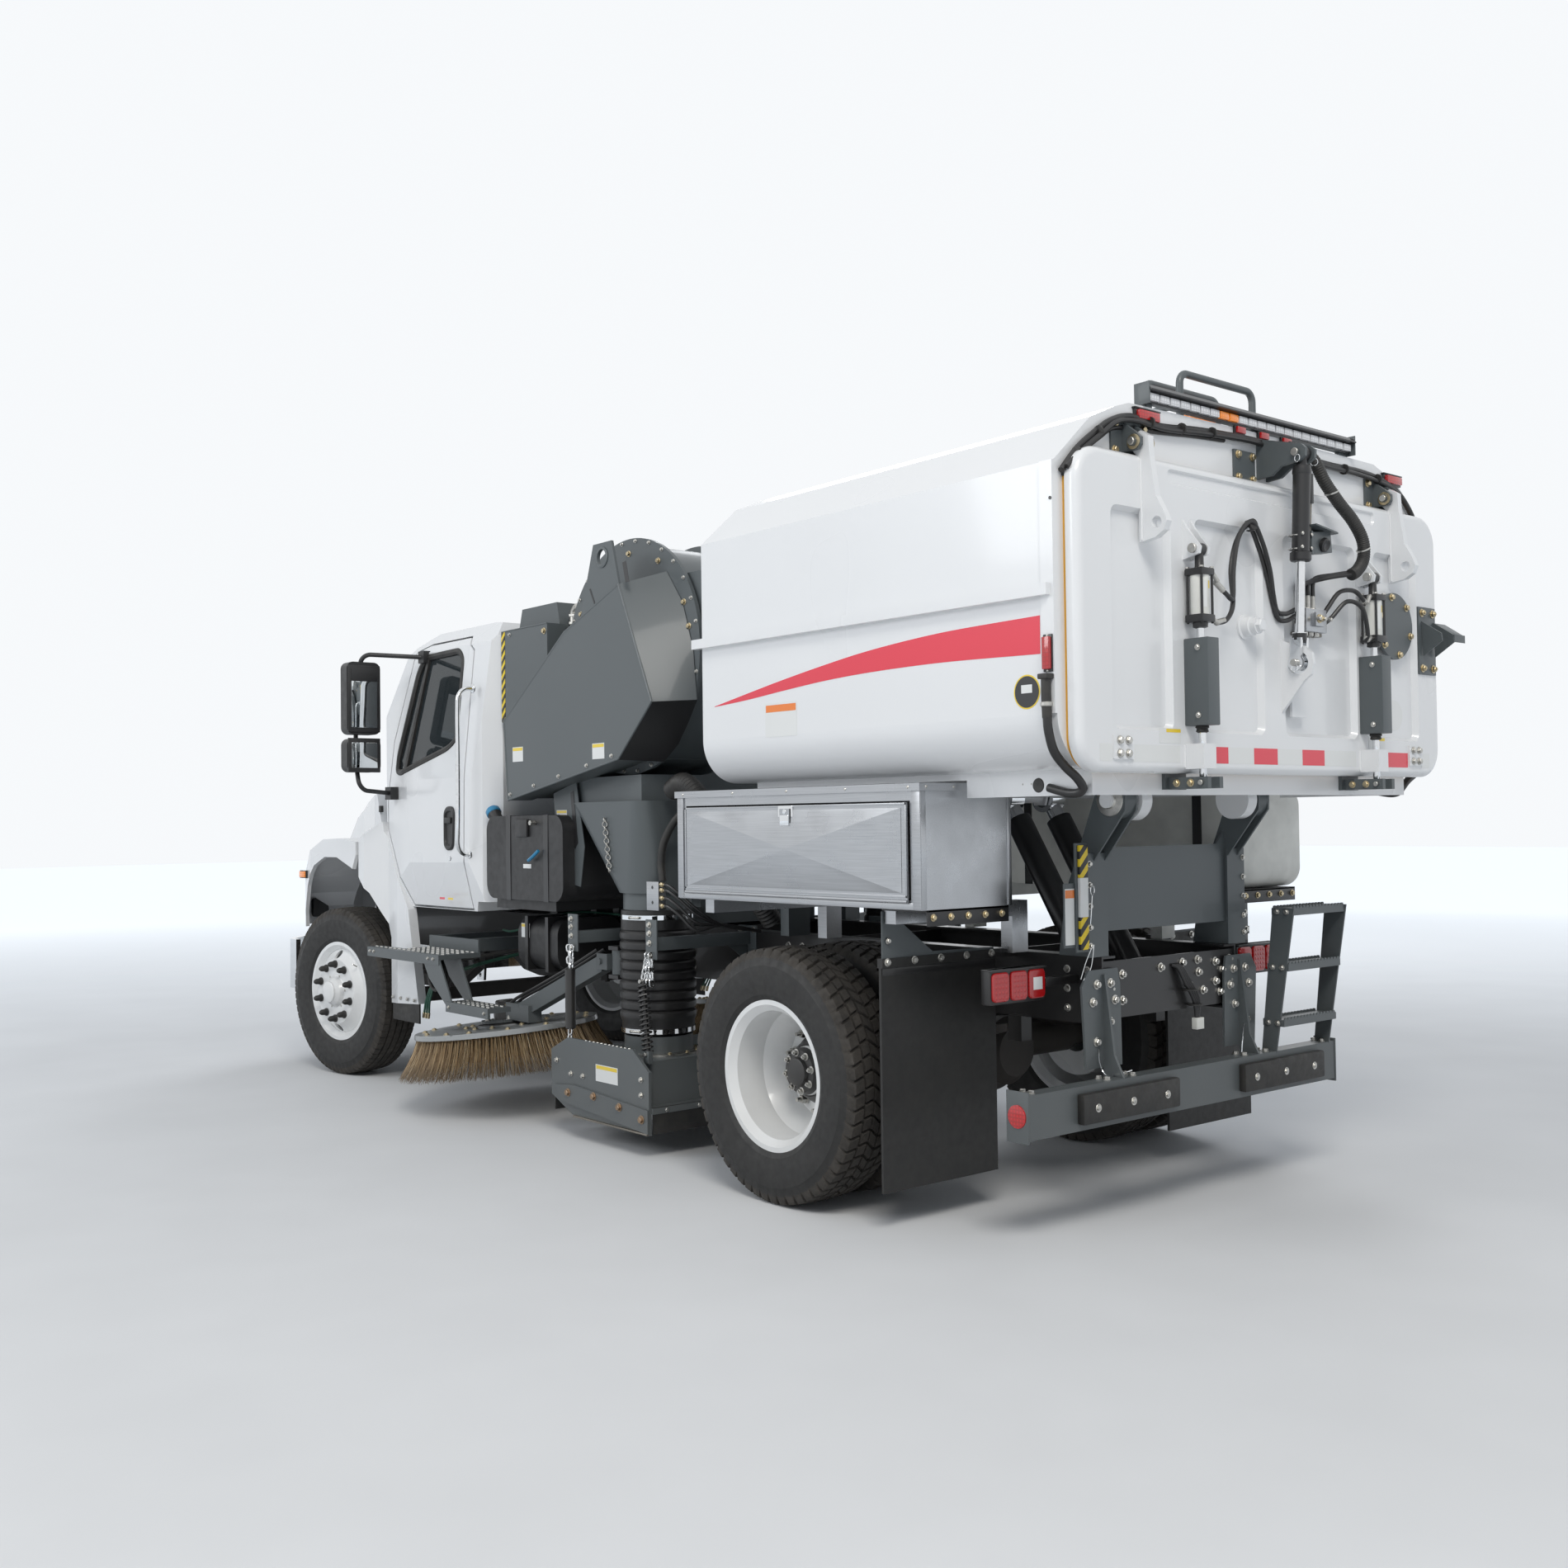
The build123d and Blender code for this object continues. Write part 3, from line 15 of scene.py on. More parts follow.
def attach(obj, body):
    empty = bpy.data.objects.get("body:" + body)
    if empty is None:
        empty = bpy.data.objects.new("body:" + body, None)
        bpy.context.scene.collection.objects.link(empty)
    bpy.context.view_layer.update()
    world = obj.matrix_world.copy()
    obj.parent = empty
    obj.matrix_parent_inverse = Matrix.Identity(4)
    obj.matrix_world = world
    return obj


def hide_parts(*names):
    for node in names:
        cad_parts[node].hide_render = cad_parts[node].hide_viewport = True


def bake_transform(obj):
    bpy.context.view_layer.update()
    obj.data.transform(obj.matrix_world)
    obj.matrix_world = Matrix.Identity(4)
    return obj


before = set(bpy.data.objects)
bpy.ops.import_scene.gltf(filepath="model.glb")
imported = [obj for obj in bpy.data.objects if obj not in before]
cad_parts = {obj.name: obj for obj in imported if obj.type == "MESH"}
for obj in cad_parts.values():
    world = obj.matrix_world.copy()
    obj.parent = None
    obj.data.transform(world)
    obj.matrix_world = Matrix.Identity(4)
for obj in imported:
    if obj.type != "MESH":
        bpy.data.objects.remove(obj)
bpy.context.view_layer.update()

REAR_AXLE_X = -1.834
WHEELBASE = 4.400
WHEEL_Z = 0.515
SIDES = (("left", 1), ("right", -1))


def at(station):
    """X in the truck's frame of a station counted from the rear axle."""
    return REAR_AXLE_X + station


# ---------------------------------------------------------------- node trees


class Nodes:
    """Short calls for building one material's node tree."""

    def __init__(self, name):
        self.material = bpy.data.materials.new(name)
        self.material.use_nodes = True
        self.tree = self.material.node_tree
        self.shader = self.tree.nodes["Principled BSDF"]
        self.output = self.tree.nodes["Material Output"]
        self.place = self.node("ShaderNodeTexCoord").outputs["Object"]

    def node(self, kind, **settings):
        made = self.tree.nodes.new(kind)
        for key, value in settings.items():
            setattr(made, key, value)
        return made

    def link(self, source, target):
        self.tree.links.new(source, target)

    def set(self, **values):
        """Sets the shader's own sockets, named with _ for a space."""
        for key, value in values.items():
            self.shader.inputs[key.replace("_", " ")].default_value = value

    def stretched(self, scale):
        """The object coordinates scaled by a vector, for grain that runs one way."""
        mapping = self.node("ShaderNodeMapping")
        mapping.inputs["Scale"].default_value = scale
        self.link(self.place, mapping.inputs["Vector"])
        return mapping.outputs["Vector"]

    def noise(self, scale, detail=3.0, vector=None, roughness=0.55):
        texture = self.node("ShaderNodeTexNoise")
        texture.inputs["Scale"].default_value = scale
        texture.inputs["Detail"].default_value = detail
        texture.inputs["Roughness"].default_value = roughness
        self.link(self.place if vector is None else vector, texture.inputs["Vector"])
        return texture.outputs["Fac"]

    def ramp(self, factor, stops):
        """A colour ramp from (position, colour) stops."""
        made = self.node("ShaderNodeValToRGB")
        elements = made.color_ramp.elements
        while len(elements) < len(stops):
            elements.new(0.5)
        for element, (position, colour) in zip(elements, stops):
            element.position = position
            element.color = (*colour, 1.0) if len(colour) == 3 else colour
        self.link(factor, made.inputs["Fac"])
        return made.outputs["Color"]

    def grey_ramp(self, factor, low, high, start=0.3, end=0.7):
        return self.ramp(factor, [(start, (low,) * 3), (end, (high,) * 3)])

    def mix(self, factor, first, second, blend="MIX"):
        made = self.node("ShaderNodeMix", data_type="RGBA", blend_type=blend)
        for socket, value in ((made.inputs[0], factor), (made.inputs[6], first),
                              (made.inputs[7], second)):
            if isinstance(value, bpy.types.NodeSocket):
                self.link(value, socket)
            elif isinstance(value, (tuple, list)):
                socket.default_value = (*value, 1.0)
            else:
                socket.default_value = value
        return made.outputs[2]

    def math(self, operation, first, second=0.0):
        made = self.node("ShaderNodeMath", operation=operation)
        for socket, value in ((made.inputs[0], first), (made.inputs[1], second)):
            if isinstance(value, bpy.types.NodeSocket):
                self.link(value, socket)
            else:
                socket.default_value = value
        return made.outputs[0]

    def axis(self, name):
        """One of the coordinates of the point in its object's rest place."""
        split = self.node("ShaderNodeSeparateXYZ")
        self.link(self.place, split.inputs[0])
        return split.outputs[name]

    def bump(self, height, strength, distance=0.001):
        made = self.node("ShaderNodeBump")
        made.inputs["Strength"].default_value = strength
        made.inputs["Distance"].default_value = distance
        self.link(height, made.inputs["Height"])
        self.link(made.outputs["Normal"], self.shader.inputs["Normal"])

    def colour(self, socket):
        self.link(socket, self.shader.inputs["Base Color"])

    def roughness(self, socket):
        self.link(socket, self.shader.inputs["Roughness"])


def scaled(colour, factor):
    return tuple(min(1.0, value * factor) for value in colour)


def paint(name, colour, rough=0.25, dirt=(0.20, 0.18, 0.15), dirt_amount=0.25, coat=0.5,
          dirt_height=1.1, peel=0.05):
    """Sprayed paint: faint mottling, orange peel, and road film that thickens near the ground."""
    n = Nodes(name)
    mottled = n.mix(n.grey_ramp(n.noise(1.1, 2.0), 0.0, 1.0), scaled(colour, 0.985),
                    scaled(colour, 1.01))
    low = n.math("DIVIDE", n.axis("Z"), dirt_height)
    low = n.math("SUBTRACT", 1.0, low)
    low = n.math("MAXIMUM", low, 0.0)
    patches = n.math("MULTIPLY", n.noise(4.0, 4.0, roughness=0.6), low)
    film = n.math("MULTIPLY", patches, dirt_amount * 2.0)
    n.colour(n.mix(film, mottled, dirt))
    n.roughness(n.grey_ramp(n.noise(1.6, 1.0), rough * 0.96, rough * 1.08))
    n.bump(n.noise(420.0, 1.0), peel, 0.0002)
    n.set(Coat_Weight=coat, Coat_Roughness=0.08)
    return n.material


def bare_metal(name, colour, rough=0.3, grain=(4.0, 260.0, 260.0), depth=0.08, tone=0.80):
    """Rolled or brushed metal with grain along one axis."""
    n = Nodes(name)
    streaks = n.noise(1.0, 5.0, n.stretched(grain))
    n.colour(n.mix(n.grey_ramp(streaks, 0.0, 1.0), scaled(colour, tone), scaled(colour, 1.06)))
    n.roughness(n.grey_ramp(n.noise(6.0, 4.0), rough * 0.75, rough * 1.3))
    n.bump(streaks, depth, 0.0003)
    n.set(Metallic=1.0)
    return n.material


def rubber(name, colour, rough=0.75, dust=(0.10, 0.09, 0.075), dust_amount=0.3, grain=220.0):
    """Rubber with a dusty bloom in patches."""
    n = Nodes(name)
    bloom = n.grey_ramp(n.noise(11.0, 7.0, roughness=0.72), 0.0, dust_amount, 0.35, 0.8)
    n.colour(n.mix(bloom, colour, dust))
    n.roughness(n.grey_ramp(n.noise(30.0), rough * 0.85, min(1.0, rough * 1.15)))
    n.bump(n.noise(grain, 3.0), 0.25, 0.0006)
    return n.material


def plastic(name, colour, rough=0.45, grain=600.0, depth=0.12, coat=0.0):
    """Moulded plastic with a fine leather-like grain."""
    n = Nodes(name)
    n.colour(n.mix(n.grey_ramp(n.noise(5.0), 0.0, 1.0), scaled(colour, 0.85),
                   scaled(colour, 1.15)))
    n.roughness(n.grey_ramp(n.noise(24.0), rough * 0.85, min(1.0, rough * 1.2)))
    n.bump(n.noise(grain, 2.0), depth, 0.0005)
    n.set(Coat_Weight=coat)
    return n.material


def clear(name, colour, alpha, rough=0.03):
    """Tinted window glass, see-through by alpha so that what is behind it shows plainly; its dark
    colour is partly the glass's own tint and partly painted shade standing in for the dim cab
    inside.
    """
    n = Nodes(name)
    n.colour(n.mix(n.grey_ramp(n.noise(1.4), 0.0, 1.0), colour, scaled(colour, 1.2)))
    n.roughness(n.grey_ramp(n.noise(3.0), rough, rough * 1.6))
    n.set(Alpha=alpha, IOR=1.5, Specular_IOR_Level=0.5)
    n.material.surface_render_method = "DITHERED"
    return n.material


def lens(name, colour, glow=0.25, cells=70.0):
    """Moulded lamp lens: a prism pattern behind glossy plastic."""
    n = Nodes(name)
    prisms = n.node("ShaderNodeTexVoronoi", feature="F1", distance="CHEBYCHEV")
    prisms.inputs["Scale"].default_value = cells
    prisms.inputs["Randomness"].default_value = 0.0
    n.link(n.place, prisms.inputs["Vector"])
    shade = n.grey_ramp(prisms.outputs["Distance"], 0.0, 1.0, 0.1, 0.6)
    n.colour(n.mix(shade, scaled(colour, 1.15), scaled(colour, 0.45)))
    n.bump(prisms.outputs["Distance"], 0.5, 0.001)
    n.roughness(n.grey_ramp(n.noise(12.0), 0.12, 0.22))
    n.set(Coat_Weight=0.8, Emission_Color=(*colour, 1.0), Emission_Strength=glow)
    return n.material


def stripes(name, first, second, axis_mix, pitch, rough=0.4, metal=0.0):
    """Slanted warning stripes: axis_mix gives how fast the pattern runs along X, Y and Z."""
    n = Nodes(name)
    total = None
    for label, share in zip("XYZ", axis_mix):
        if share:
            term = n.math("MULTIPLY", n.axis(label), share / pitch)
            total = term if total is None else n.math("ADD", total, term)
    band = n.math("GREATER_THAN", n.math("FRACT", total), 0.5)
    worn = n.grey_ramp(n.noise(60.0, 5.0), 0.88, 1.0)
    n.colour(n.mix(1.0, n.mix(band, first, second), worn, "MULTIPLY"))
    n.roughness(n.grey_ramp(n.noise(20.0), rough * 0.8, rough * 1.2))
    n.set(Metallic=metal)
    return n.material


def woven(name, colour):
    """Seat cloth: a woven check with fuzzy sheen."""
    n = Nodes(name)
    warp = n.node("ShaderNodeTexWave", bands_direction="X")
    weft = n.node("ShaderNodeTexWave", bands_direction="Z")
    for wave in (warp, weft):
        wave.inputs["Scale"].default_value = 160.0
        n.link(n.place, wave.inputs["Vector"])
    weave = n.mix(0.5, warp.outputs["Color"], weft.outputs["Color"])
    n.colour(n.mix(weave, scaled(colour, 0.6), scaled(colour, 1.3)))
    n.roughness(n.grey_ramp(n.noise(40.0), 0.85, 1.0))
    n.bump(weave, 0.6, 0.0008)
    n.set(Sheen_Weight=0.4)
    return n.material


def bristle_fibre(name):
    """Broom bristles: each strand takes its own tan, and its tip is darkened by dirt."""
    n = Nodes(name)
    tint = n.node("ShaderNodeAttribute", attribute_name="tint").outputs["Fac"]
    tan = n.ramp(tint, [(0.0, (0.075, 0.046, 0.022)), (0.35, (0.24, 0.155, 0.078)),
                        (0.7, (0.38, 0.27, 0.145)), (1.0, (0.55, 0.43, 0.27))])
    tip = n.node("ShaderNodeAttribute", attribute_name="tip").outputs["Fac"]
    n.colour(n.mix(n.grey_ramp(tip, 0.0, 0.75, 0.55, 1.0), tan, (0.07, 0.055, 0.04)))
    n.roughness(n.grey_ramp(n.noise(90.0), 0.5, 0.75))
    return n.material


MATERIALS = {
    "white": paint("white_gelcoat_paint", (0.75, 0.76, 0.77), 0.28, dirt_amount=0.08, peel=0.02),
    "grey": paint("slate_grey_paint", (0.083, 0.096, 0.101), 0.44, (0.19, 0.18, 0.165), 0.18,
                  0.12),
    "plate": paint("light_grey_plate_paint", (0.34, 0.36, 0.37), 0.35, dirt_amount=0.25),
    "black": paint("satin_black_paint", (0.012, 0.012, 0.013), 0.38, (0.085, 0.078, 0.068),
                   0.35, 0.2),
    "cast": paint("casting_black", (0.016, 0.016, 0.017), 0.6, (0.10, 0.085, 0.07), 0.5, 0.0,
                  peel=0.5),
    "rim": paint("wheel_white_paint", (0.80, 0.81, 0.81), 0.28, (0.30, 0.26, 0.21), 0.18,
                 dirt_height=1.0),
    "tyre": rubber("tyre_rubber", (0.011, 0.011, 0.011), 0.62, (0.050, 0.046, 0.041), 0.25),
    "tread": rubber("tread_rubber", (0.024, 0.022, 0.020), 0.85, (0.11, 0.095, 0.078), 0.5),
    "rubber": rubber("black_rubber", (0.014, 0.014, 0.014), 0.55, dust_amount=0.25),
    "flap": rubber("flap_rubber", (0.011, 0.011, 0.011), 0.5, dust_amount=0.10, grain=90.0),
    "hose": rubber("hose_rubber", (0.014, 0.014, 0.015), 0.4, dust_amount=0.12),
    "plastic": plastic("moulded_black_plastic", (0.018, 0.018, 0.019)),
    "interior": plastic("interior_grey_plastic", (0.07, 0.072, 0.075), 0.6),
    "tank": plastic("white_tank_plastic", (0.70, 0.70, 0.66), 0.5, 200.0),
    "seat": woven("seat_cloth", (0.06, 0.062, 0.068)),
    "aluminium": bare_metal("sheet_aluminium", (0.43, 0.44, 0.455), 0.30, tone=0.90),
    "zinc": bare_metal("zinc_plated_steel", (0.52, 0.51, 0.48), 0.34, (60.0, 60.0, 60.0)),
    "brass": bare_metal("yellow_zinc_steel", (0.52, 0.44, 0.29), 0.36, (80.0, 80.0, 80.0)),
    "copper": bare_metal("worn_bolt_steel", (0.36, 0.26, 0.18), 0.45, (90.0, 90.0, 90.0)),
    "chrome": bare_metal("chrome_plate", (0.72, 0.73, 0.74), 0.06, (3.0, 40.0, 40.0), 0.002,
                         0.975),
    "skid": bare_metal("worn_skid_steel", (0.26, 0.24, 0.21), 0.5, (3.0, 90.0, 90.0), 0.3),
    # window glass: the near-black colour at alpha 0.84 is partly real tint and partly painted
    # shade of the dim cab inside
    "glass": clear("window_glass_tint_and_painted_shade", (0.022, 0.028, 0.031), 0.84),
    "mirror": bare_metal("mirror_glass", (0.82, 0.85, 0.86), 0.02, (1.0, 1.0, 1.0), 0.0),
    "red_lens": lens("red_lamp_lens", (0.48, 0.008, 0.010), 0.10),
    "amber_lens": lens("amber_lamp_lens", (0.85, 0.24, 0.01)),
    "clear_lens": lens("clear_lamp_lens", (0.75, 0.76, 0.78), 0.05),
    "red": paint("red_vinyl", (0.72, 0.025, 0.055), 0.3, dirt_amount=0.0, peel=0.0),
    "label": paint("blank_label_vinyl", (0.72, 0.73, 0.72), 0.35, dirt_amount=0.0, peel=0.0),
    "orange": paint("orange_label_vinyl", (0.80, 0.20, 0.02), 0.35, dirt_amount=0.0),
    "yellow": paint("yellow_vinyl", (0.80, 0.58, 0.03), 0.35, dirt_amount=0.05),
    "blue": plastic("blue_cap_plastic", (0.02, 0.20, 0.38), 0.35),
    "green": rubber("green_hose_rubber", (0.02, 0.10, 0.065), 0.45, dust_amount=0.2),
    "gold": rubber("gasket_rubber_gold", (0.72, 0.36, 0.03), 0.5, (0.30, 0.2, 0.1), 0.25),
    "bristle": bristle_fibre("broom_bristle_fibre"),
    "hazard": stripes("hazard_stripes", (0.80, 0.58, 0.02), (0.015, 0.015, 0.015),
                      (0.0, 1.0, 1.0), 0.058),
    "hazard_side": stripes("side_hazard_stripes", (0.80, 0.58, 0.02), (0.015, 0.015, 0.015),
                           (1.0, 0.0, 1.0), 0.052),
}

NODE_MATERIALS = {
    "frame_rails": "black", "front_axle": "cast", "rear_axle": "cast", "engine_block": "cast",
    "cab_shell": "white", "cab_glass": "glass", "seats": "seat", "dashboard": "interior",
    "front_bumper": "chrome", "cab_steps": "grey", "plastic_tanks": "plastic",
    "head_hangers": "grey", "blower_housing": "grey", "engine_housing": "grey",
    "hose_ducts": "grey", "head_hoses": "hose", "toolbox_body": "aluminium",
    "water_tank": "tank", "mud_flaps": "flap", "tilt_towers": "grey", "rear_bumper": "grey",
    "tail_lamps": "red_lens", "hood": "white", "grille": "plastic", "hopper_shell": "white",
    "hopper_fittings": "grey", "hopper_door": "white", "door_fittings": "grey",
    "door_seal": "gold",
    "door_cylinder_barrel": "black", "door_cylinder_rod": "chrome",
    "lift_cylinder_barrels": "black", "lift_cylinder_rods": "chrome", "pickup_head": "grey",
    "toolbox_door": "aluminium",
}
for side_name, side in SIDES:
    NODE_MATERIALS.update({
        f"front_tyre_{side_name}": "tyre", f"front_wheel_{side_name}": "rim",
        f"rear_tyres_{side_name}": "tyre", f"rear_wheels_{side_name}": "rim",
        f"knuckle_{side_name}": "cast", f"cab_door_{side_name}": "white",
        f"door_glass_{side_name}": "glass", f"mirrors_{side_name}": "plastic",
        f"broom_bracket_{side_name}": "grey", f"broom_arm_{side_name}": "grey",
        f"broom_disc_{side_name}": "plate", f"broom_bristles_{side_name}": "bristle",
    })
for node_name, material_name in NODE_MATERIALS.items():
    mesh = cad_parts[node_name].data
    mesh.materials.clear()
    mesh.materials.append(MATERIALS[material_name])


# ---------------------------------------------------------------- mesh making

FORE, LEFT, UP = Vector((1, 0, 0)), Vector((0, 1, 0)), Vector((0, 0, 1))
AFT = Vector((-1, 0, 0))
TURN = 2 * math.pi
SMALLEST_RADIUS = 0.00005


def spot(station, y, z):
    return Vector((at(station), y, z))


def place_of(point):
    """A tuple is (station, y, z); a Vector is in the truck's frame already."""
    return point if isinstance(point, Vector) else spot(*point)


def frame_of(axis):
    """This axis and two unit vectors square to it and to each other."""
    axis = axis.normalized()
    side = UP.cross(axis)
    if side.length < 0.01:
        side = FORE.cross(axis)
    side.normalize()
    return axis, side, axis.cross(side)


def circle(radius, count, start=0.0):
    """(cos, sin) places spread round a circle."""
    return [(radius * math.cos(start + TURN * k / count),
             radius * math.sin(start + TURN * k / count)) for k in range(count)]


def hoop(centre, across, up, radius, count, start=0.0):
    """Points round a circle in the plane of two unit vectors."""
    return [centre + across * c + up * s for c, s in circle(radius, count, start)]


def rect(left, right, low, high):
    return [(left, low), (right, low), (right, high), (left, high)]


def smooth_line(points, rounds):
    """Catmull-Rom line through the points."""
    if len(points) == 2:
        return points
    ends = [points[0] * 2 - points[1]] + points + [points[-1] * 2 - points[-2]]
    line = []
    for a, b, c, d in zip(ends, ends[1:], ends[2:], ends[3:]):
        for k in range(rounds):
            t = k / rounds
            line.append(0.5 * ((2 * b) + (c - a) * t + (2 * a - 5 * b + 4 * c - d) * t * t
                               + (3 * b - a - 3 * c + d) * t ** 3))
    line.append(points[-1])
    return line


def even_line(line, step):
    """The same line with points this far apart."""
    made = [line[0]]
    left = step
    for first, second in zip(line, line[1:]):
        run = (second - first).length
        while run > left:
            first = first + (second - first) * (left / run)
            made.append(first.copy())
            run = (second - first).length
            left = step
        left -= run
    return made


class Piece:
    """One mesh in the truck's frame. Each shape is told its material and then its places."""

    def __init__(self, name, body):
        self.name, self.body = name, body
        self.mesh = bmesh.new()
        self.materials = []

    def colour(self, material, faces, smooth=False):
        if material not in self.materials:
            self.materials.append(material)
        for face in faces:
            face.material_index = self.materials.index(material)
            face.smooth = smooth

    def loft(self, material, rings, closed=True, caps=True, smooth=True, joined=False):
        """Skin through rings of points; joined runs the last ring on to the first."""
        new = self.mesh.faces.new
        rows = [[self.mesh.verts.new(place_of(p)) for p in ring] for ring in rings]
        pairs = list(zip(rows, rows[1:])) + ([(rows[-1], rows[0])] if joined else [])
        count = len(rows[0])
        made = []
        for first, second in pairs:
            for i in range(count if closed else count - 1):
                j = (i + 1) % count
                made.append(new((first[i], first[j], second[j], second[i])))
        if caps and closed and not joined:
            made += [new(rows[0][::-1]), new(rows[-1])]
        self.colour(material, made, smooth)

    def turned(self, place, axis, profile, steps, smallest=0.0):
        """Rings about an axis from (along, radius) points."""
        axis, side, up = frame_of(axis)
        return [hoop(place_of(place) + axis * along, side, up, max(radius, smallest), steps)
                for along, radius in profile]

    def lathe(self, material, place, axis, profile, steps=32, caps=True):
        """Turned form, closed at its ends when it has caps."""
        self.loft(material, self.turned(place, axis, profile, steps, SMALLEST_RADIUS), caps=caps)

    def ring(self, material, place, axis, profile, steps=32):
        """Turned form whose profile closes on itself."""
        self.loft(material, self.turned(place, axis, profile, steps), joined=True)

    def rod(self, material, start, end, radius, steps=14, chamfer=0.0015):
        start, end = place_of(start), place_of(end)
        length = (end - start).length
        edge = min(chamfer, radius * 0.4, length * 0.3)
        self.lathe(material, start, end - start, [
            (0, radius - edge), (edge, radius), (length - edge, radius),
            (length, radius - edge)], steps)

    def box(self, material, corner, opposite, bevel=0.003, turn=None):
        """Block between two corners with chamfered edges, turned by a matrix about its middle."""
        corner, opposite = place_of(corner), place_of(opposite)
        middle = (corner + opposite) / 2
        size = [abs(b - a) for a, b in zip(corner, opposite)]
        made = bmesh.ops.create_cube(self.mesh, size=1.0)["verts"]
        for vert in made:
            vert.co = Vector(a * b for a, b in zip(vert.co, size))
        edges = {edge for vert in made for edge in vert.link_edges}
        faces = {face for vert in made for face in vert.link_faces}
        if bevel:
            cut = bmesh.ops.bevel(self.mesh, geom=list(edges), offset=min(bevel, min(size) * 0.3),
                                  segments=2, affect="EDGES", profile=0.6)
            made = {vert for face in cut["faces"] for vert in face.verts}
            made |= {vert for face in faces if face.is_valid for vert in face.verts}
        shift = Matrix.Translation(middle)
        if turn is not None:
            shift @= turn.to_4x4()
        for vert in made:
            vert.co = shift @ vert.co
        self.colour(material, {face for vert in made for face in vert.link_faces})

    def plate(self, material, outline, origin, u, thickness, bevel=0.0015, v=UP):
        """Sheet of this thickness along u x v, from (u, v) corners, with chamfered rims."""
        lift = u.cross(v).normalized() * thickness
        points = [place_of(origin) + u * a + v * b for a, b in outline]
        centre = sum(points, Vector()) / len(points)
        bevel = min(bevel, abs(thickness) * 0.4)
        step = lift.normalized() * bevel
        inner = [p + (centre - p).normalized() * bevel for p in points]
        self.loft(material, [inner, [p + step for p in points], [p + lift - step for p in points],
                             [p + lift for p in inner]], smooth=False)

    def hex(self, material, place, axis, across, height, washer=True, stud=0.0):
        """Hexagon nut or bolt head on a washer, with a stud end when asked."""
        axis = axis.normalized()
        place = place_of(place)
        if washer:
            self.lathe(material, place, axis, [
                (0, across * 0.78), (0.0025, across * 0.78), (0.003, across * 0.7)], 16)
            place = place + axis * 0.003
        radius = across / math.sqrt(3)
        self.lathe(material, place, axis, [
            (0, radius), (height * 0.8, radius), (height, radius * 0.84)], 6)
        if stud:
            self.lathe(material, place, axis, [
                (height - 0.001, across * 0.28), (height + stud, across * 0.26)], 10)

    def tube(self, material, points, radius, steps=10, rounds=6, ribs=0.0, pitch=0.012):
        """Round hose or pipe on a smooth line through the points; ribs corrugate it."""
        line = smooth_line([place_of(p) for p in points], rounds)
        if ribs:
            line = even_line(line, pitch / 2)
        rings = []
        side = None
        for k, point in enumerate(line):
            ahead = line[min(k + 1, len(line) - 1)] - line[max(k - 1, 0)]
            ahead.normalize()
            if side is None:
                side = frame_of(ahead)[1]
            else:
                side = (side - ahead * side.dot(ahead)).normalized()
            rings.append(hoop(point, side, ahead.cross(side), radius + ribs * (k % 2), steps))
        self.loft(material, rings)

    def done(self, replaces=(), sharp=35.0, bend=None):
        data = bpy.data.meshes.new(self.name)
        bmesh.ops.recalc_face_normals(self.mesh, faces=self.mesh.faces)
        self.mesh.to_mesh(data)
        self.mesh.free()
        data.set_sharp_from_angle(angle=math.radians(sharp))
        for material in self.materials:
            data.materials.append(MATERIALS[material])
        made = bpy.data.objects.new(self.name, data)
        bpy.context.scene.collection.objects.link(made)
        if bend:
            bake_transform(made)
        else:
            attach(made, self.body)
        if replaces:
            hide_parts(*replaces)


# ---------------------------------------------------------------- wheels

TYRE_RADIUS = 0.515
TYRE_HALF = 0.136
BEAD = 0.292
RIM_WIDTH = 0.232
STEER_REST = math.radians(9.0)
KINGPIN_Y = 0.872
FRONT_RIM_REACH = 1.128 - KINGPIN_Y
REAR_RIM_Y = 1.190
TWIN_SPACING = 0.330


def front_wheel_place(side):
    """Outer rim plane of a front wheel: its centre and the way it faces."""
    out = Vector((-side * math.sin(STEER_REST), side * math.cos(STEER_REST), 0))
    return spot(WHEELBASE, side * KINGPIN_Y, WHEEL_Z) + out * FRONT_RIM_REACH, out


def rear_wheel_place(side, inner):
    y = REAR_RIM_Y - (TWIN_SPACING + RIM_WIDTH if inner else 0.0)
    return spot(0.0, side * y, WHEEL_Z), Vector((0, -side if inner else side, 0))


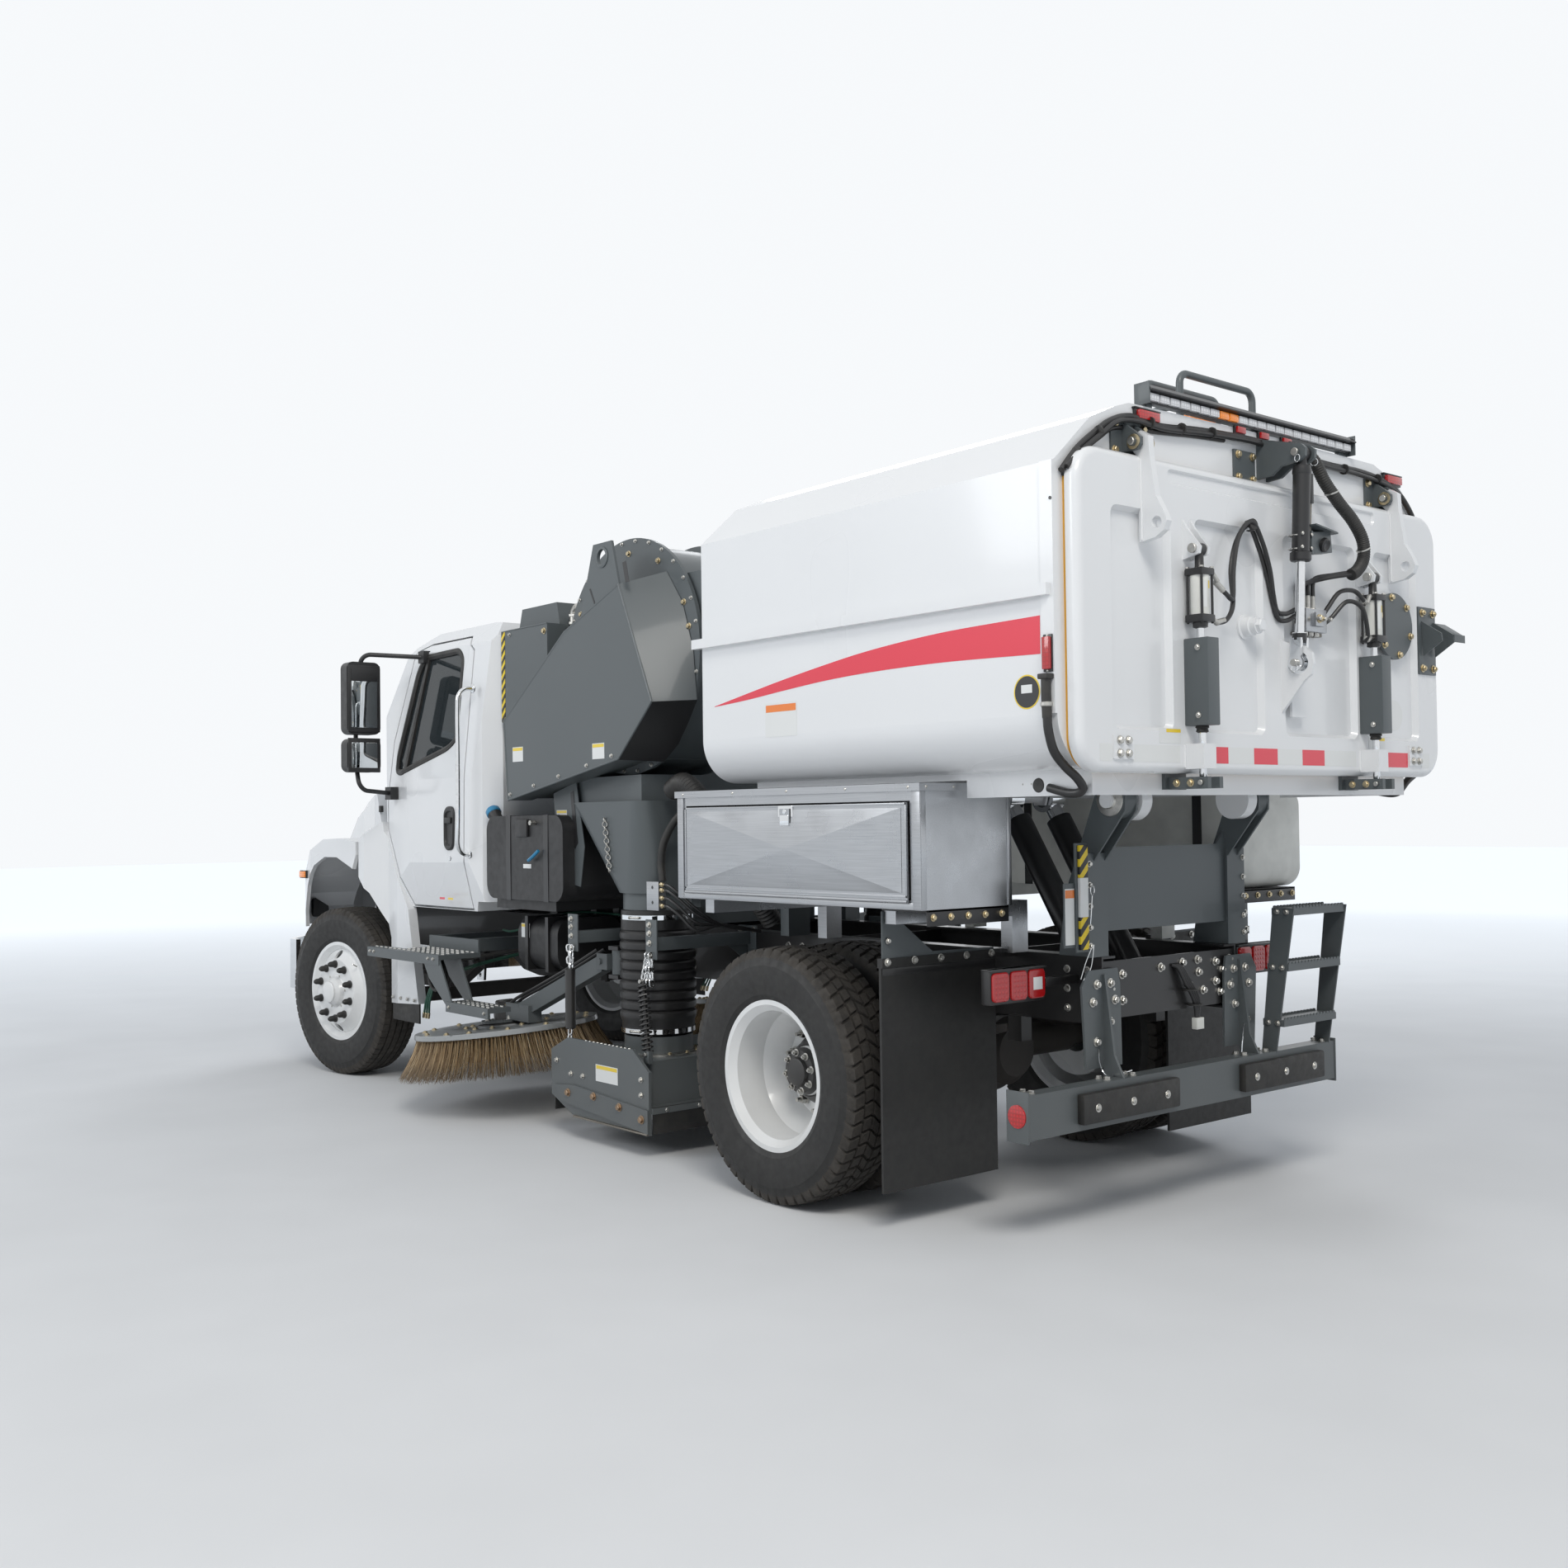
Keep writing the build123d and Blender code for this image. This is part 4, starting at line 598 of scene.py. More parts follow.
def add_tyre(piece, place, out, lugs):
    """Tyre with grooves round it; lugs cuts the tread across into blocks."""
    axis, side, up = frame_of(out)
    middle = -RIM_WIDTH / 2
    h = TYRE_HALF
    # (along, radius, depth of the cross cuts there)
    wall = [(-RIM_WIDTH / 2 + 0.014, BEAD - 0.001, 0), (-h + 0.017, BEAD + 0.016, 0),
            (-h + 0.012, BEAD + 0.030, 0), (-h + 0.0095, BEAD + 0.033, 0),
            (-h + 0.004, BEAD + 0.070, 0), (-h + 0.0035, BEAD + 0.073, 0),
            (-h + 0.0005, BEAD + 0.118, 0), (-h + 0.002, BEAD + 0.150, 0),
            (-h + 0.004, BEAD + 0.153, 0), (-h + 0.009, TYRE_RADIUS - 0.040, 0.35),
            (-h + 0.016, TYRE_RADIUS - 0.018, 1), (-h + 0.024, TYRE_RADIUS - 0.006, 1)]
    tread = []
    grooves = (-0.066, -0.022, 0.022, 0.066)
    for g in grooves:
        crown = TYRE_RADIUS - 0.0045 * (g / 0.09) ** 2
        tread += [(g - 0.0055, crown, 1 if lugs else 0.25), (g - 0.0042, crown - 0.013, 0),
                  (g + 0.0042, crown - 0.013, 0), (g + 0.0055, crown, 1 if lugs else 0.25)]
    profile = wall + tread + [(-a, r, c) for a, r, c in reversed(wall)]
    blocks = 56 if lugs else 72
    depth = 0.013 if lugs else 0.007
    marks = (0.0, 0.10, 0.80, 0.90)
    rings = []
    steps = [(b + m) / blocks for b in range(blocks) for m in marks]
    for along, radius, cut in profile:
        ring = []
        for k, turn in enumerate(steps):
            swing = (0.35 / blocks) * math.sin(along * 46.0) if lugs else 0.0
            a = 2 * math.pi * (turn + swing)
            deep = depth * cut if k % 4 in (0, 3) else 0.0
            if k % 4 == 0:
                deep *= 0.98
            r = radius - deep
            ring.append(place + axis * (middle + along) + side * (r * math.cos(a))
                        + up * (r * math.sin(a)))
        rings.append(ring)
    rows = len(rings)
    first_tread = 9
    verts = [[piece.mesh.verts.new(p) for p in ring] for ring in rings]
    for row in range(rows - 1):
        tread_face = first_tread <= row < rows - 1 - first_tread
        for k in range(len(steps)):
            j = (k + 1) % len(steps)
            made = piece.mesh.faces.new((verts[row][k], verts[row][j], verts[row + 1][j],
                                         verts[row + 1][k]))
            piece.colour("tread" if tread_face else "tyre", [made], smooth=True)


for side_name, side in SIDES:
    tyre = Piece(f"front_tyre_tread_{side_name}", f"front_{side_name}_wheel")
    place, out = front_wheel_place(side)
    add_tyre(tyre, place, out, lugs=False)
    tyre.done((f"front_tyre_{side_name}",), sharp=28)

    tyres = Piece(f"rear_tyre_tread_{side_name}", f"rear_{side_name}_wheels")
    for inner in (False, True):
        place, out = rear_wheel_place(side, inner)
        add_tyre(tyres, place, out, lugs=True)
    tyres.done((f"rear_tyres_{side_name}",), sharp=28)

    place, out = front_wheel_place(side)
    axis, across, up = frame_of(out)
    nuts = Piece(f"front_wheel_nuts_{side_name}", f"front_{side_name}_wheel")
    for c, s in circle(0.1675, 10, 0.31):
        foot = place + across * c + up * s + axis * 0.02
        nuts.lathe("rubber", foot, axis, [
            (0, 0.024), (0.01, 0.024), (0.012, 0.019), (0.04, 0.017), (0.052, 0.01),
            (0.056, 0.001)], 18)
    nuts.lathe("rim", place, axis, [
        (0.06, 0.066), (0.074, 0.064), (0.078, 0.058), (0.08, 0.03), (0.081, 0.001)], 32)
    for c, s in circle(0.104, 6, 0.1):
        nuts.hex("zinc", place + across * c + up * s + axis * 0.014, axis, 0.014, 0.007)
    nuts.rod("zinc", place + across * 0.2 + up * 0.16,
             place + across * 0.225 + up * 0.18 + axis * 0.045, 0.0045, 8)
    nuts.done()

    place, out = rear_wheel_place(side, False)
    axis, across, up = frame_of(out)
    hub = Piece(f"rear_wheel_hub_{side_name}", f"rear_{side_name}_wheels")
    hub.ring("black", place, axis, [
        (-0.305, 0.142), (-0.246, 0.142), (-0.24, 0.136), (-0.205, 0.118), (-0.196, 0.1065),
        (-0.2, 0.1), (-0.305, 0.1)], 40)
    hub.lathe("black", place, axis, [
        (-0.2, 0.098), (-0.162, 0.096), (-0.15, 0.088), (-0.146, 0.06), (-0.13, 0.056),
        (-0.127, 0.048), (-0.126, 0.001)], 40)
    for c, s in circle(0.078, 8, 0.2):
        hub.hex("zinc", place + across * c + up * s - axis * 0.1485, axis, 0.02, 0.013,
                stud=0.006)
    for c, s in circle(0.1675, 10, 0.31):
        foot = place + across * c + up * s - axis * 0.264
        hub.lathe("zinc", foot, axis, [(0, 0.022), (0.004, 0.022), (0.005, 0.018)], 18)
        hub.hex("zinc", foot + axis * 0.004, axis, 0.032, 0.022, washer=False, stud=0.022)
    hub.tube("rubber", [place + across * a + up * 0.03 - axis * inward for a, inward in (
        (0.235, 0.2), (0.24, 0.1), (0.235, 0.045))], 0.0055, 8)
    hub.done()


# ---------------------------------------------------------------- gutter brooms

BROOM_TILT = math.radians(6.0)
BRISTLE_DROP = 0.215
TUFTS = 150
SECTORS = 5


def broom_place(side):
    spin = Vector((0.9 * math.sin(BROOM_TILT), side * 0.436 * math.sin(BROOM_TILT),
                   math.cos(BROOM_TILT))).normalized()
    return spot(2.620, side * 0.920, 0.430), spin


for side_name, side in SIDES:
    place, spin = broom_place(side)
    axis, across, up = frame_of(spin)
    dice = random.Random(7 if side > 0 else 11)
    strands = Piece(f"broom_strands_{side_name}", f"broom_{side_name}")
    tint = strands.mesh.verts.layers.float.new("tint")
    tip = strands.mesh.verts.layers.float.new("tip")
    for tuft in range(TUFTS):
        for row, foot_radius in enumerate((0.3, 0.365, 0.425, 0.468)):
            count = 6 if row > 1 else 4
            base = 2 * math.pi * (tuft + 0.5 * (row % 2)) / TUFTS
            for _ in range(count):
                a = base + dice.uniform(-0.012, 0.012)
                foot = foot_radius + dice.uniform(-0.01, 0.01)
                reach = min(0.46 + row * 0.04 + dice.uniform(-0.022, 0.014), 0.592)
                drop = BRISTLE_DROP - dice.uniform(0.004, 0.024)
                lag = dice.uniform(-0.02, 0.05)
                shade = dice.random()
                width = dice.uniform(0.0011, 0.0017)
                rings = []
                for k in range(4):
                    t = k / 3
                    r = foot + (reach - foot) * t ** 1.25
                    turn = a + lag * t
                    radial = across * math.cos(turn) + up * math.sin(turn)
                    tangent = up * math.cos(turn) - across * math.sin(turn)
                    centre = place + radial * r - axis * (drop * t)
                    size = width * (1.0 - 0.35 * t)
                    ring = []
                    for m in range(3):
                        b = 2 * math.pi * m / 3
                        vert = strands.mesh.verts.new(
                            centre + radial * (size * math.cos(b))
                            + tangent * (size * math.sin(b)))
                        vert[tint] = shade
                        vert[tip] = t
                        ring.append(vert)
                    rings.append(ring)
                for first, second in zip(rings, rings[1:]):
                    for m in range(3):
                        n = (m + 1) % 3
                        made = strands.mesh.faces.new((first[m], first[n], second[n], second[m]))
                        strands.colour("bristle", [made], smooth=True)
    strands.done((f"broom_bristles_{side_name}",), sharp=80)

    plates = Piece(f"broom_plates_{side_name}", f"broom_{side_name}")
    for sector in range(SECTORS):
        start = 2 * math.pi * sector / SECTORS + 0.018
        sweep = 2 * math.pi / SECTORS - 0.036
        turns = [start + sweep * k / 12 for k in range(13)]
        outline = [(0.489 * math.cos(a), 0.489 * math.sin(a)) for a in turns]
        outline += [(0.168 * math.cos(a), 0.168 * math.sin(a)) for a in reversed(turns)]
        grid = [[plates.mesh.verts.new(place + (across * x + up * y) * size + axis * lift)
                 for x, y in outline]
                for lift, size in ((0.0162, 1), (0.0225, 1), (0.0245, 0.996))]
        made = []
        n = len(outline)
        for low, high in zip(grid, grid[1:]):
            for i in range(n):
                j = (i + 1) % n
                made.append(plates.mesh.faces.new((low[i], low[j], high[j], high[i])))
        top = grid[-1]
        for k in range(12):
            made.append(plates.mesh.faces.new((
                top[k], top[k + 1], top[n - 2 - k], top[n - 1 - k])))
        plates.colour("plate", made)
        for r, share in ((0.215, 0.2), (0.215, 0.8), (0.44, 0.12), (0.44, 0.88), (0.44, 0.5)):
            a = start + sweep * share
            bolt = place + across * (r * math.cos(a)) + up * (r * math.sin(a)) + axis * 0.0245
            plates.hex("brass", bolt, axis, 0.02, 0.006, stud=0.002)
    plates.ring("black", place, axis, [
        (0.0165, 0.05), (0.0165, 0.15), (0.034, 0.15), (0.037, 0.142), (0.037, 0.05)], 36)
    plates.ring("plate", place, axis, [
        (-0.002, 0.47), (-0.002, 0.4895), (0.02, 0.4895), (0.022, 0.482), (0.022, 0.47)], 60)
    plates.done()

    motor = Piece(f"broom_motor_{side_name}", f"broom_{side_name}_arm")
    motor.lathe("black", place, axis, [
        (0.052, 0.064), (0.11, 0.064), (0.114, 0.058), (0.116, 0.05), (0.15, 0.05), (0.156, 0.044),
        (0.157, 0.001)], 28)
    for c, s in circle(0.1, 4, 0.78):
        motor.hex("zinc", place + across * c + up * s + axis * 0.054, axis, 0.022, 0.012,
                  stud=0.006)
    for c, s in circle(0.048, 4):
        motor.hex("zinc", place + across * c + up * s + axis * 0.112, axis, 0.014, 0.008)
    for shift in (-0.022, 0.022):
        port = place + Vector((-0.055, shift, 0)) + axis * 0.132
        motor.rod("brass", port, port + Vector((-0.03, 0, 0.004)), 0.009, 8)
        motor.tube("hose", [
            port + Vector((-0.028, 0, 0.004)), port + Vector((-0.12, -side * 0.004, 0.05)),
            port + Vector((-0.3, -side * 0.03, 0.125)),
            port + Vector((-0.55, -side * 0.068, 0.235)),
            (1.86, side * 0.8 + shift, 0.892)], 0.0095, 8)
    motor.done()


# ---------------------------------------------------------------- rear door

LATCH_X = -1.64
LATCH_Y = 0.565
DOOR_X = -1.592
SHEET_X = -1.5921
PIN_X, PIN_Z = -1.695, 2.868
EYE_X, EYE_Z = -1.665, 2.096

gear = Piece("latch_gear", "rear_door")
for _, s in SIDES:
    y = s * LATCH_Y
    gear.rod("black", (LATCH_X, y - 0.017, 2.465), (LATCH_X, y + 0.017, 2.465), 0.0218, 24)
    gear.lathe("black", (LATCH_X, y, 2.456), -UP, [
        (0, 0.013), (0.02, 0.015), (0.052, 0.016), (0.062, 0.021)], 20)
    gear.rod("zinc", (LATCH_X, y - 0.042, 2.465), (LATCH_X, y + 0.042, 2.465), 0.0115, 16)
    gear.rod("zinc", (LATCH_X, y + 0.034, 2.465), (LATCH_X, y + 0.046, 2.465), 0.017, 20)
    for low, high in ((2.372, 2.397), (2.208, 2.236)):
        gear.box("black", (LATCH_X - 0.0375, y - 0.0375, low),
                 (LATCH_X + 0.0375, y + 0.0375, high), 0.006)
    gear.lathe("tank", (LATCH_X, y, 2.236), UP, [(0, 0.0328), (0.136, 0.0328)], 36)
    for material, r, first, count, heights in (("label", 0.0331, 0.15, 6, (2.26, 2.35)),
                                               ("yellow", 0.0334, -0.45, 4, (2.325, 2.352))):
        turns = [first + 0.12 * k for k in range(count)]
        gear.loft(material, [[
            spot(LATCH_X, y, h) + AFT * (r * math.cos(a)) + LEFT * (r * math.sin(a))
            for a in turns] for h in heights], closed=False)
    for dx, dy in rect(-0.0295, 0.0295, -0.0295, 0.0295):
        stud = LATCH_X + dx, y + dy
        gear.rod("black", (*stud, 2.204), (*stud, 2.402), 0.0048, 8)
        gear.hex("zinc", (*stud, 2.397), UP, 0.013, 0.006, False)
    gear.lathe("black", (LATCH_X, y, 2.208), -UP, [(0, 0.026), (0.016, 0.026), (0.019, 0.017)], 24)
    gear.lathe("chrome", (LATCH_X, y, 2.19), -UP, [(0, 0.0128), (0.036, 0.0128)], 20)
    gear.box("grey", (LATCH_X - 0.052, y - 0.033, 1.85), (DOOR_X, y + 0.033, 2.154), 0.004)
    for z in (1.885, 2.12):
        gear.hex("zinc", (LATCH_X - 0.01, y - 0.033, z), -LEFT, 0.014, 0.006)
        gear.hex("zinc", (LATCH_X - 0.01, y + 0.033, z), LEFT, 0.014, 0.006)
    gear.lathe("rubber", (LATCH_X, y, 1.851), -UP, [
        (0, 0.022), (0.008, 0.024), (0.012, 0.019), (0.022, 0.022), (0.026, 0.015)], 20)
    gear.lathe("chrome", (LATCH_X, y, 1.83), -UP, [
        (0, 0.0128), (0.155, 0.0128), (0.169, 0.008)], 20)
    for z, tilt in ((2.385, -0.03), (2.222, -0.012)):
        port = spot(LATCH_X - 0.012, y - s * 0.036, z)
        gear.rod("zinc", port, port + Vector((-0.004, -s * 0.02, 0)), 0.0095, 6)
        gear.rod("zinc", port + Vector((-0.004, -s * 0.016, 0)),
                 port + Vector((-0.008, -s * 0.042, tilt)), 0.008, 10)
gear.lathe("grey", (-1.5935, -0.79, 2.293), AFT, [
    (0, 0.135), (0.0105, 0.135), (0.0125, 0.133)], 56)
for c, v in circle(0.118, 6, 0.3):
    gear.hex("brass", (-1.606, -0.79 + c, 2.293 + v), AFT, 0.02, 0.01)
gear.box("grey", (-1.6, -1.12, 2.109), (DOOR_X, -0.985, 2.389), 0.002)
for y in (-1.108, -1.012):
    gear.plate("grey", [(0, 2.33), (0.086, 2.272), (0.09, 2.24), (0.006, 2.184)], (-1.6, y, 0),
               AFT, 0.006, 0.001)
for outline in ([(0.004, 2.327), (0.087, 2.27), (0.09, 2.262), (0.006, 2.319)],
                [(0.084, 2.272), (0.09, 2.272), (0.09, 2.24), (0.084, 2.244)]):
    gear.plate("grey", outline, (-1.6, -1.105, 0), AFT, -0.088, 0.001)
for y in (-1.095, -1.01):
    for z in (2.134, 2.364):
        gear.hex("brass", (-1.6, y, z), AFT, 0.022, 0.011, stud=0.004)
gear.done(("door_fittings",))

bolts = Piece("door_bolts", "rear_door")
for _, s in SIDES:
    for y in (-0.022, 0.022):
        for z in (1.749, 1.793):
            bolts.hex("zinc", (-1.6005, s * 0.943 + y, z), AFT, 0.02, 0.009)
    y = s * LATCH_Y
    for dy in (-0.024, 0.024):
        bolts.lathe(
            "white", (LATCH_X, y + dy + math.copysign(0.006, dy), 2.465),
            LEFT * math.copysign(1, dy), [(0, 0.0175), (0.003, 0.0175), (0.004, 0.015)], 20)
    for edge in (-1, 1):
        for x, py, low, high in ((-1.5925, y + edge * 0.0375, 1.704, 1.783),
                                 (-1.5935, s * 0.805 + edge * 0.016, 2.475, 2.752)):
            bolts.rod("white", (x, py, low), (x, py, high), 0.004, 8)
for low, high in ((0.481, 0.347), (0.188, 0.039), (-0.126, -0.275), (-0.737, -0.889)):
    bolts.plate("red", rect(low, high, 1.722, 1.781), (SHEET_X, 0, 0), LEFT, -0.0008, 0.0002)
for low, high in ((1.06, 0.997), (0.889, 0.629), (0.501, 0.483), (0.345, 0.19),
                  (0.037, -0.124), (-0.277, -0.5), (-0.63, -0.735), (-0.998, -1.062)):
    bolts.plate("label", rect(low, high, 1.722, 1.781), (SHEET_X, 0, 0), LEFT, -0.0006, 0.0002)
for y in (0.683, -0.655):
    bolts.plate("label", rect(y - 0.06, y + 0.06, 1.788, 1.84), (SHEET_X, 0, 0), LEFT, -0.0009,
                0.0002)
    bolts.plate("yellow", rect(y - 0.058, y + 0.022, 1.826, 1.838), (-1.5931, 0, 0), LEFT,
                -0.0004, 0.0001)
bolts.lathe("label", (-1.568, -0.835, 1.935), AFT, [(0, 0.062), (0.0012, 0.062)], 40)
bolts.lathe("white", (-1.566, 0.2, 2.225), AFT, [
    (0, 0.047), (0.01, 0.047), (0.013, 0.038), (0.04, 0.036), (0.044, 0.03)], 32)
bolts.hex("white", (-1.632, 0.2, 2.225), AFT, 0.042, 0.018, False)
bolts.rod("skid", (-1.592, 0.22, 2.586), (-1.62, 0.22, 2.59), 0.006, 10)
bolts.box("white", (-1.622, 0.2, 2.572), (-1.568, 0.24, 2.58), 0.002)
bolts.plate("white", rect(0.0, 0.01, 2.185, 1.902), (-1.594, -0.045, 0), AFT, -0.09, 0.001)
bolts.done()

tube_run = Piece("latch_hoses", "rear_door")
cylinder_hoses = [
    [(-1.65, 0.487, 2.355), (-1.655, 0.433, 2.318), (-1.65, 0.385, 2.308), (-1.628, 0.345, 2.42),
     (-1.622, 0.3, 2.54), (-1.632, 0.236, 2.6), (-1.626, 0.165, 2.54), (-1.62, 0.108, 2.44),
     (-1.612, 0.076, 2.35), (-1.603, 0.04, 2.292), (-1.603, -0.01, 2.286), (-1.608, -0.04, 2.294),
     (-1.616, -0.058, 2.304)],
    [(-1.65, 0.487, 2.21), (-1.655, 0.43, 2.228), (-1.645, 0.378, 2.29), (-1.61, 0.335, 2.42),
     (-1.606, 0.29, 2.53), (-1.612, 0.225, 2.588), (-1.605, 0.155, 2.52), (-1.602, 0.1, 2.42),
     (-1.602, 0.068, 2.33), (-1.602, 0.034, 2.266), (-1.606, -0.014, 2.26),
     (-1.616, -0.058, 2.28)],
    [(-1.65, -0.487, 2.355), (-1.662, -0.45, 2.37), (-1.655, -0.4, 2.398), (-1.64, -0.325, 2.388),
     (-1.622, -0.275, 2.33), (-1.612, -0.248, 2.292)],
    [(-1.65, -0.487, 2.21), (-1.67, -0.47, 2.24), (-1.675, -0.425, 2.33), (-1.656, -0.35, 2.352),
     (-1.626, -0.29, 2.29), (-1.612, -0.248, 2.258)]]
for line in cylinder_hoses:
    tube_run.tube("hose", line, 0.0088, 10, 8)
    start, after = spot(*line[0]), spot(*line[1])
    inside = Vector((0, math.copysign(0.004, start.y), 0.002))
    tube_run.rod("zinc", start + inside, start.lerp(after, 0.75), 0.0108, 12)
tube_run.box("aluminium", (-1.63, -0.25, 2.226), (-1.569, -0.11, 2.314), 0.004)
tube_run.box("aluminium", (-1.646, -0.205, 2.246), (-1.629, -0.15, 2.3), 0.003)
tube_run.box("skid", (-1.6, -0.262, 2.214), (-1.569, -0.098, 2.227), 0.002)
for k, (y, z) in enumerate(((-0.07, 2.296), (-0.07, 2.272), (-0.072, 2.248))):
    tube_run.hex("zinc", (-1.612, y - 0.04, z), LEFT, 0.02, 0.02, False)
    tube_run.rod("zinc", (-1.612, y - 0.022, z), (-1.616, y + 0.012, z + 0.008), 0.0085, 8)
for k in range(4):
    y = -0.128 - 0.033 * k
    tube_run.hex("zinc", (-1.586, y, 2.314), UP, 0.019, 0.012, False)
    tube_run.rod("zinc", (-1.586, y, 2.324), (-1.586, y, 2.372), 0.0085, 8)
    tube_run.tube("hose", [
        (-1.586, y, 2.368), (-1.585, y - 0.004, 2.4 + 0.006 * k),
        (-1.592, -0.215 - 0.01 * k, 2.425 + 0.006 * k),
        (-1.64, -0.265 - 0.008 * k, 2.44 + 0.004 * k),
        (-1.69, -0.335 - 0.006 * k, 2.452 + 0.004 * k)], 0.0082, 8, 6)
for k in range(3):
    y = -0.135 - 0.038 * k
    tube_run.hex("zinc", (-1.608, y, 2.227), -UP, 0.018, 0.016, False)
    tube_run.rod("zinc", (-1.65, y - 0.012, 2.275), (-1.668, y - 0.012, 2.272), 0.008, 6)
tube_run.hex("brass", (-1.646, -0.172, 2.275), AFT, 0.022, 0.012)
tube_run.rod("rubber", (-1.634, 0.222, 2.592), (-1.604, 0.218, 2.588), 0.022, 12)
tube_run.done()

camera_box = Piece("rear_camera", "door_cylinder")
along = Vector((EYE_X - PIN_X, 0, EYE_Z - PIN_Z)).normalized()
foot = spot(PIN_X + 0.0105, 0, PIN_Z) + along * 0.33
camera_box.box("grey", foot + Vector((-0.032, -0.172, -0.03)), foot + Vector((0.02, -0.036, 0.05)),
               0.003, Matrix.Rotation(math.radians(-7), 3, "X"))
camera_box.plate("grey", [(-0.18, 0.052), (-0.034, 0.07), (-0.034, 0.064), (-0.18, 0.046)],
                 foot + Vector((0.022, 0, 0)), LEFT, -0.078, 0.001)
camera_box.lathe("black", foot + Vector((-0.034, -0.11, 0.002)), AFT - UP * 0.35, [
    (0, 0.027), (0.014, 0.026), (0.018, 0.02), (0.016, 0.017), (0.012, 0.01), (0.012, 0.001)], 24)
for shift in (-0.03, 0.02):
    place = foot + along * shift
    camera_box.ring("zinc", place, along, rect(0, 0.004, 0.0325, 0.0355), 28)
    for y in (-0.03, 0.03):
        camera_box.hex("zinc", place + Vector((-0.034, y, 0)), AFT, 0.012, 0.006, False)
camera_box.box("grey", foot + Vector((-0.036, -0.044, -0.04)),
               foot + Vector((0.018, -0.033, 0.046)), 0.002)
camera_box.done()

barrel = Piece("door_cylinder_fittings", "door_cylinder")
start = spot(PIN_X, 0, PIN_Z)
barrel.lathe("black", start, along, [
    (0.046, 0.02), (0.052, 0.0325), (0.072, 0.0345), (0.078, 0.0325)], 32)
barrel.lathe("black", start, along, [
    (0.362, 0.0325), (0.366, 0.0385), (0.392, 0.0385), (0.398, 0.034), (0.4, 0.019)], 32)
barrel.box("black", start + along * 0.17 + Vector((-0.02, -0.052, -0.012)),
           start + along * 0.17 + Vector((0.014, -0.0325, 0.1)), 0.003)
barrel.tube("skid", [start + along * d + Vector((x, y, 0)) for d, x, y in (
    (0.09, -0.004, -0.036), (0.12, -0.006, -0.048), (0.23, -0.006, -0.047),
    (0.345, -0.004, -0.046), (0.372, 0, -0.036))], 0.0062, 8, 5)
for d in (0.088, 0.372):
    barrel.hex("zinc", start + along * d + Vector((0, -0.03, 0)), -LEFT, 0.02, 0.02, False)
for y in (-0.052, 0.045):
    way = math.copysign(1, y)
    barrel.rod("zinc", start + LEFT * y, start + LEFT * (y + way * 0.01), 0.0145, 16)
    barrel.ring("chrome", start + LEFT * (y + way * 0.007) + Vector((-0.012, 0, -0.026)),
                Vector((0.3, way, 0)), [
                    (-0.0017, 0.0133), (0, 0.015), (0.0017, 0.0133), (0, 0.0116)], 24)
barrel.done()

rod_end = Piece("door_rod_pins", "door_rod")
eye = spot(EYE_X, 0, EYE_Z)
for way in (-1, 1):
    rod_end.rod("zinc", eye + LEFT * (way * 0.026), eye + LEFT * (way * 0.04), 0.0135, 16)
rod_end.ring("chrome", eye + Vector((-0.006, 0.04, -0.022)), LEFT + UP * 0.3, [
    (-0.0016, 0.0135), (0, 0.015), (0.0016, 0.0135), (0, 0.012)], 24)
rod_end.lathe("black", start + along * 0.66, along, [
    (0, 0.019), (0.004, 0.0268), (0.024, 0.0268), (0.028, 0.0268), (0.034, 0.022)], 28)
rod_end.done()


# ---------------------------------------------------------------- hopper


def ribbon(piece, material, upper, lower, out, thickness=0.0008):
    """Thin film between two lines of points, standing off along out."""
    lift = out * thickness
    piece.loft(material, [[a, b, b + lift, a + lift] for a, b in zip(upper, lower)], smooth=False)


def label(piece, centre, width, height, out, head):
    """Blank sticker: white, with a coloured band along its top; head is the band's material."""
    way = math.copysign(1, FORE.cross(UP).dot(out))
    piece.plate("label", rect(-width / 2, width / 2, -height / 2, height / 2), centre, FORE,
                way * 0.0008, 0.0002)
    piece.plate(head, rect(-width * 0.47, width * 0.47, height * 0.24, height * 0.45),
                centre + out * 0.0010, FORE, way * 0.0004, 0.0001)


HOPPER_SIDE = 1.1901
BRACKET_Y = 0.805

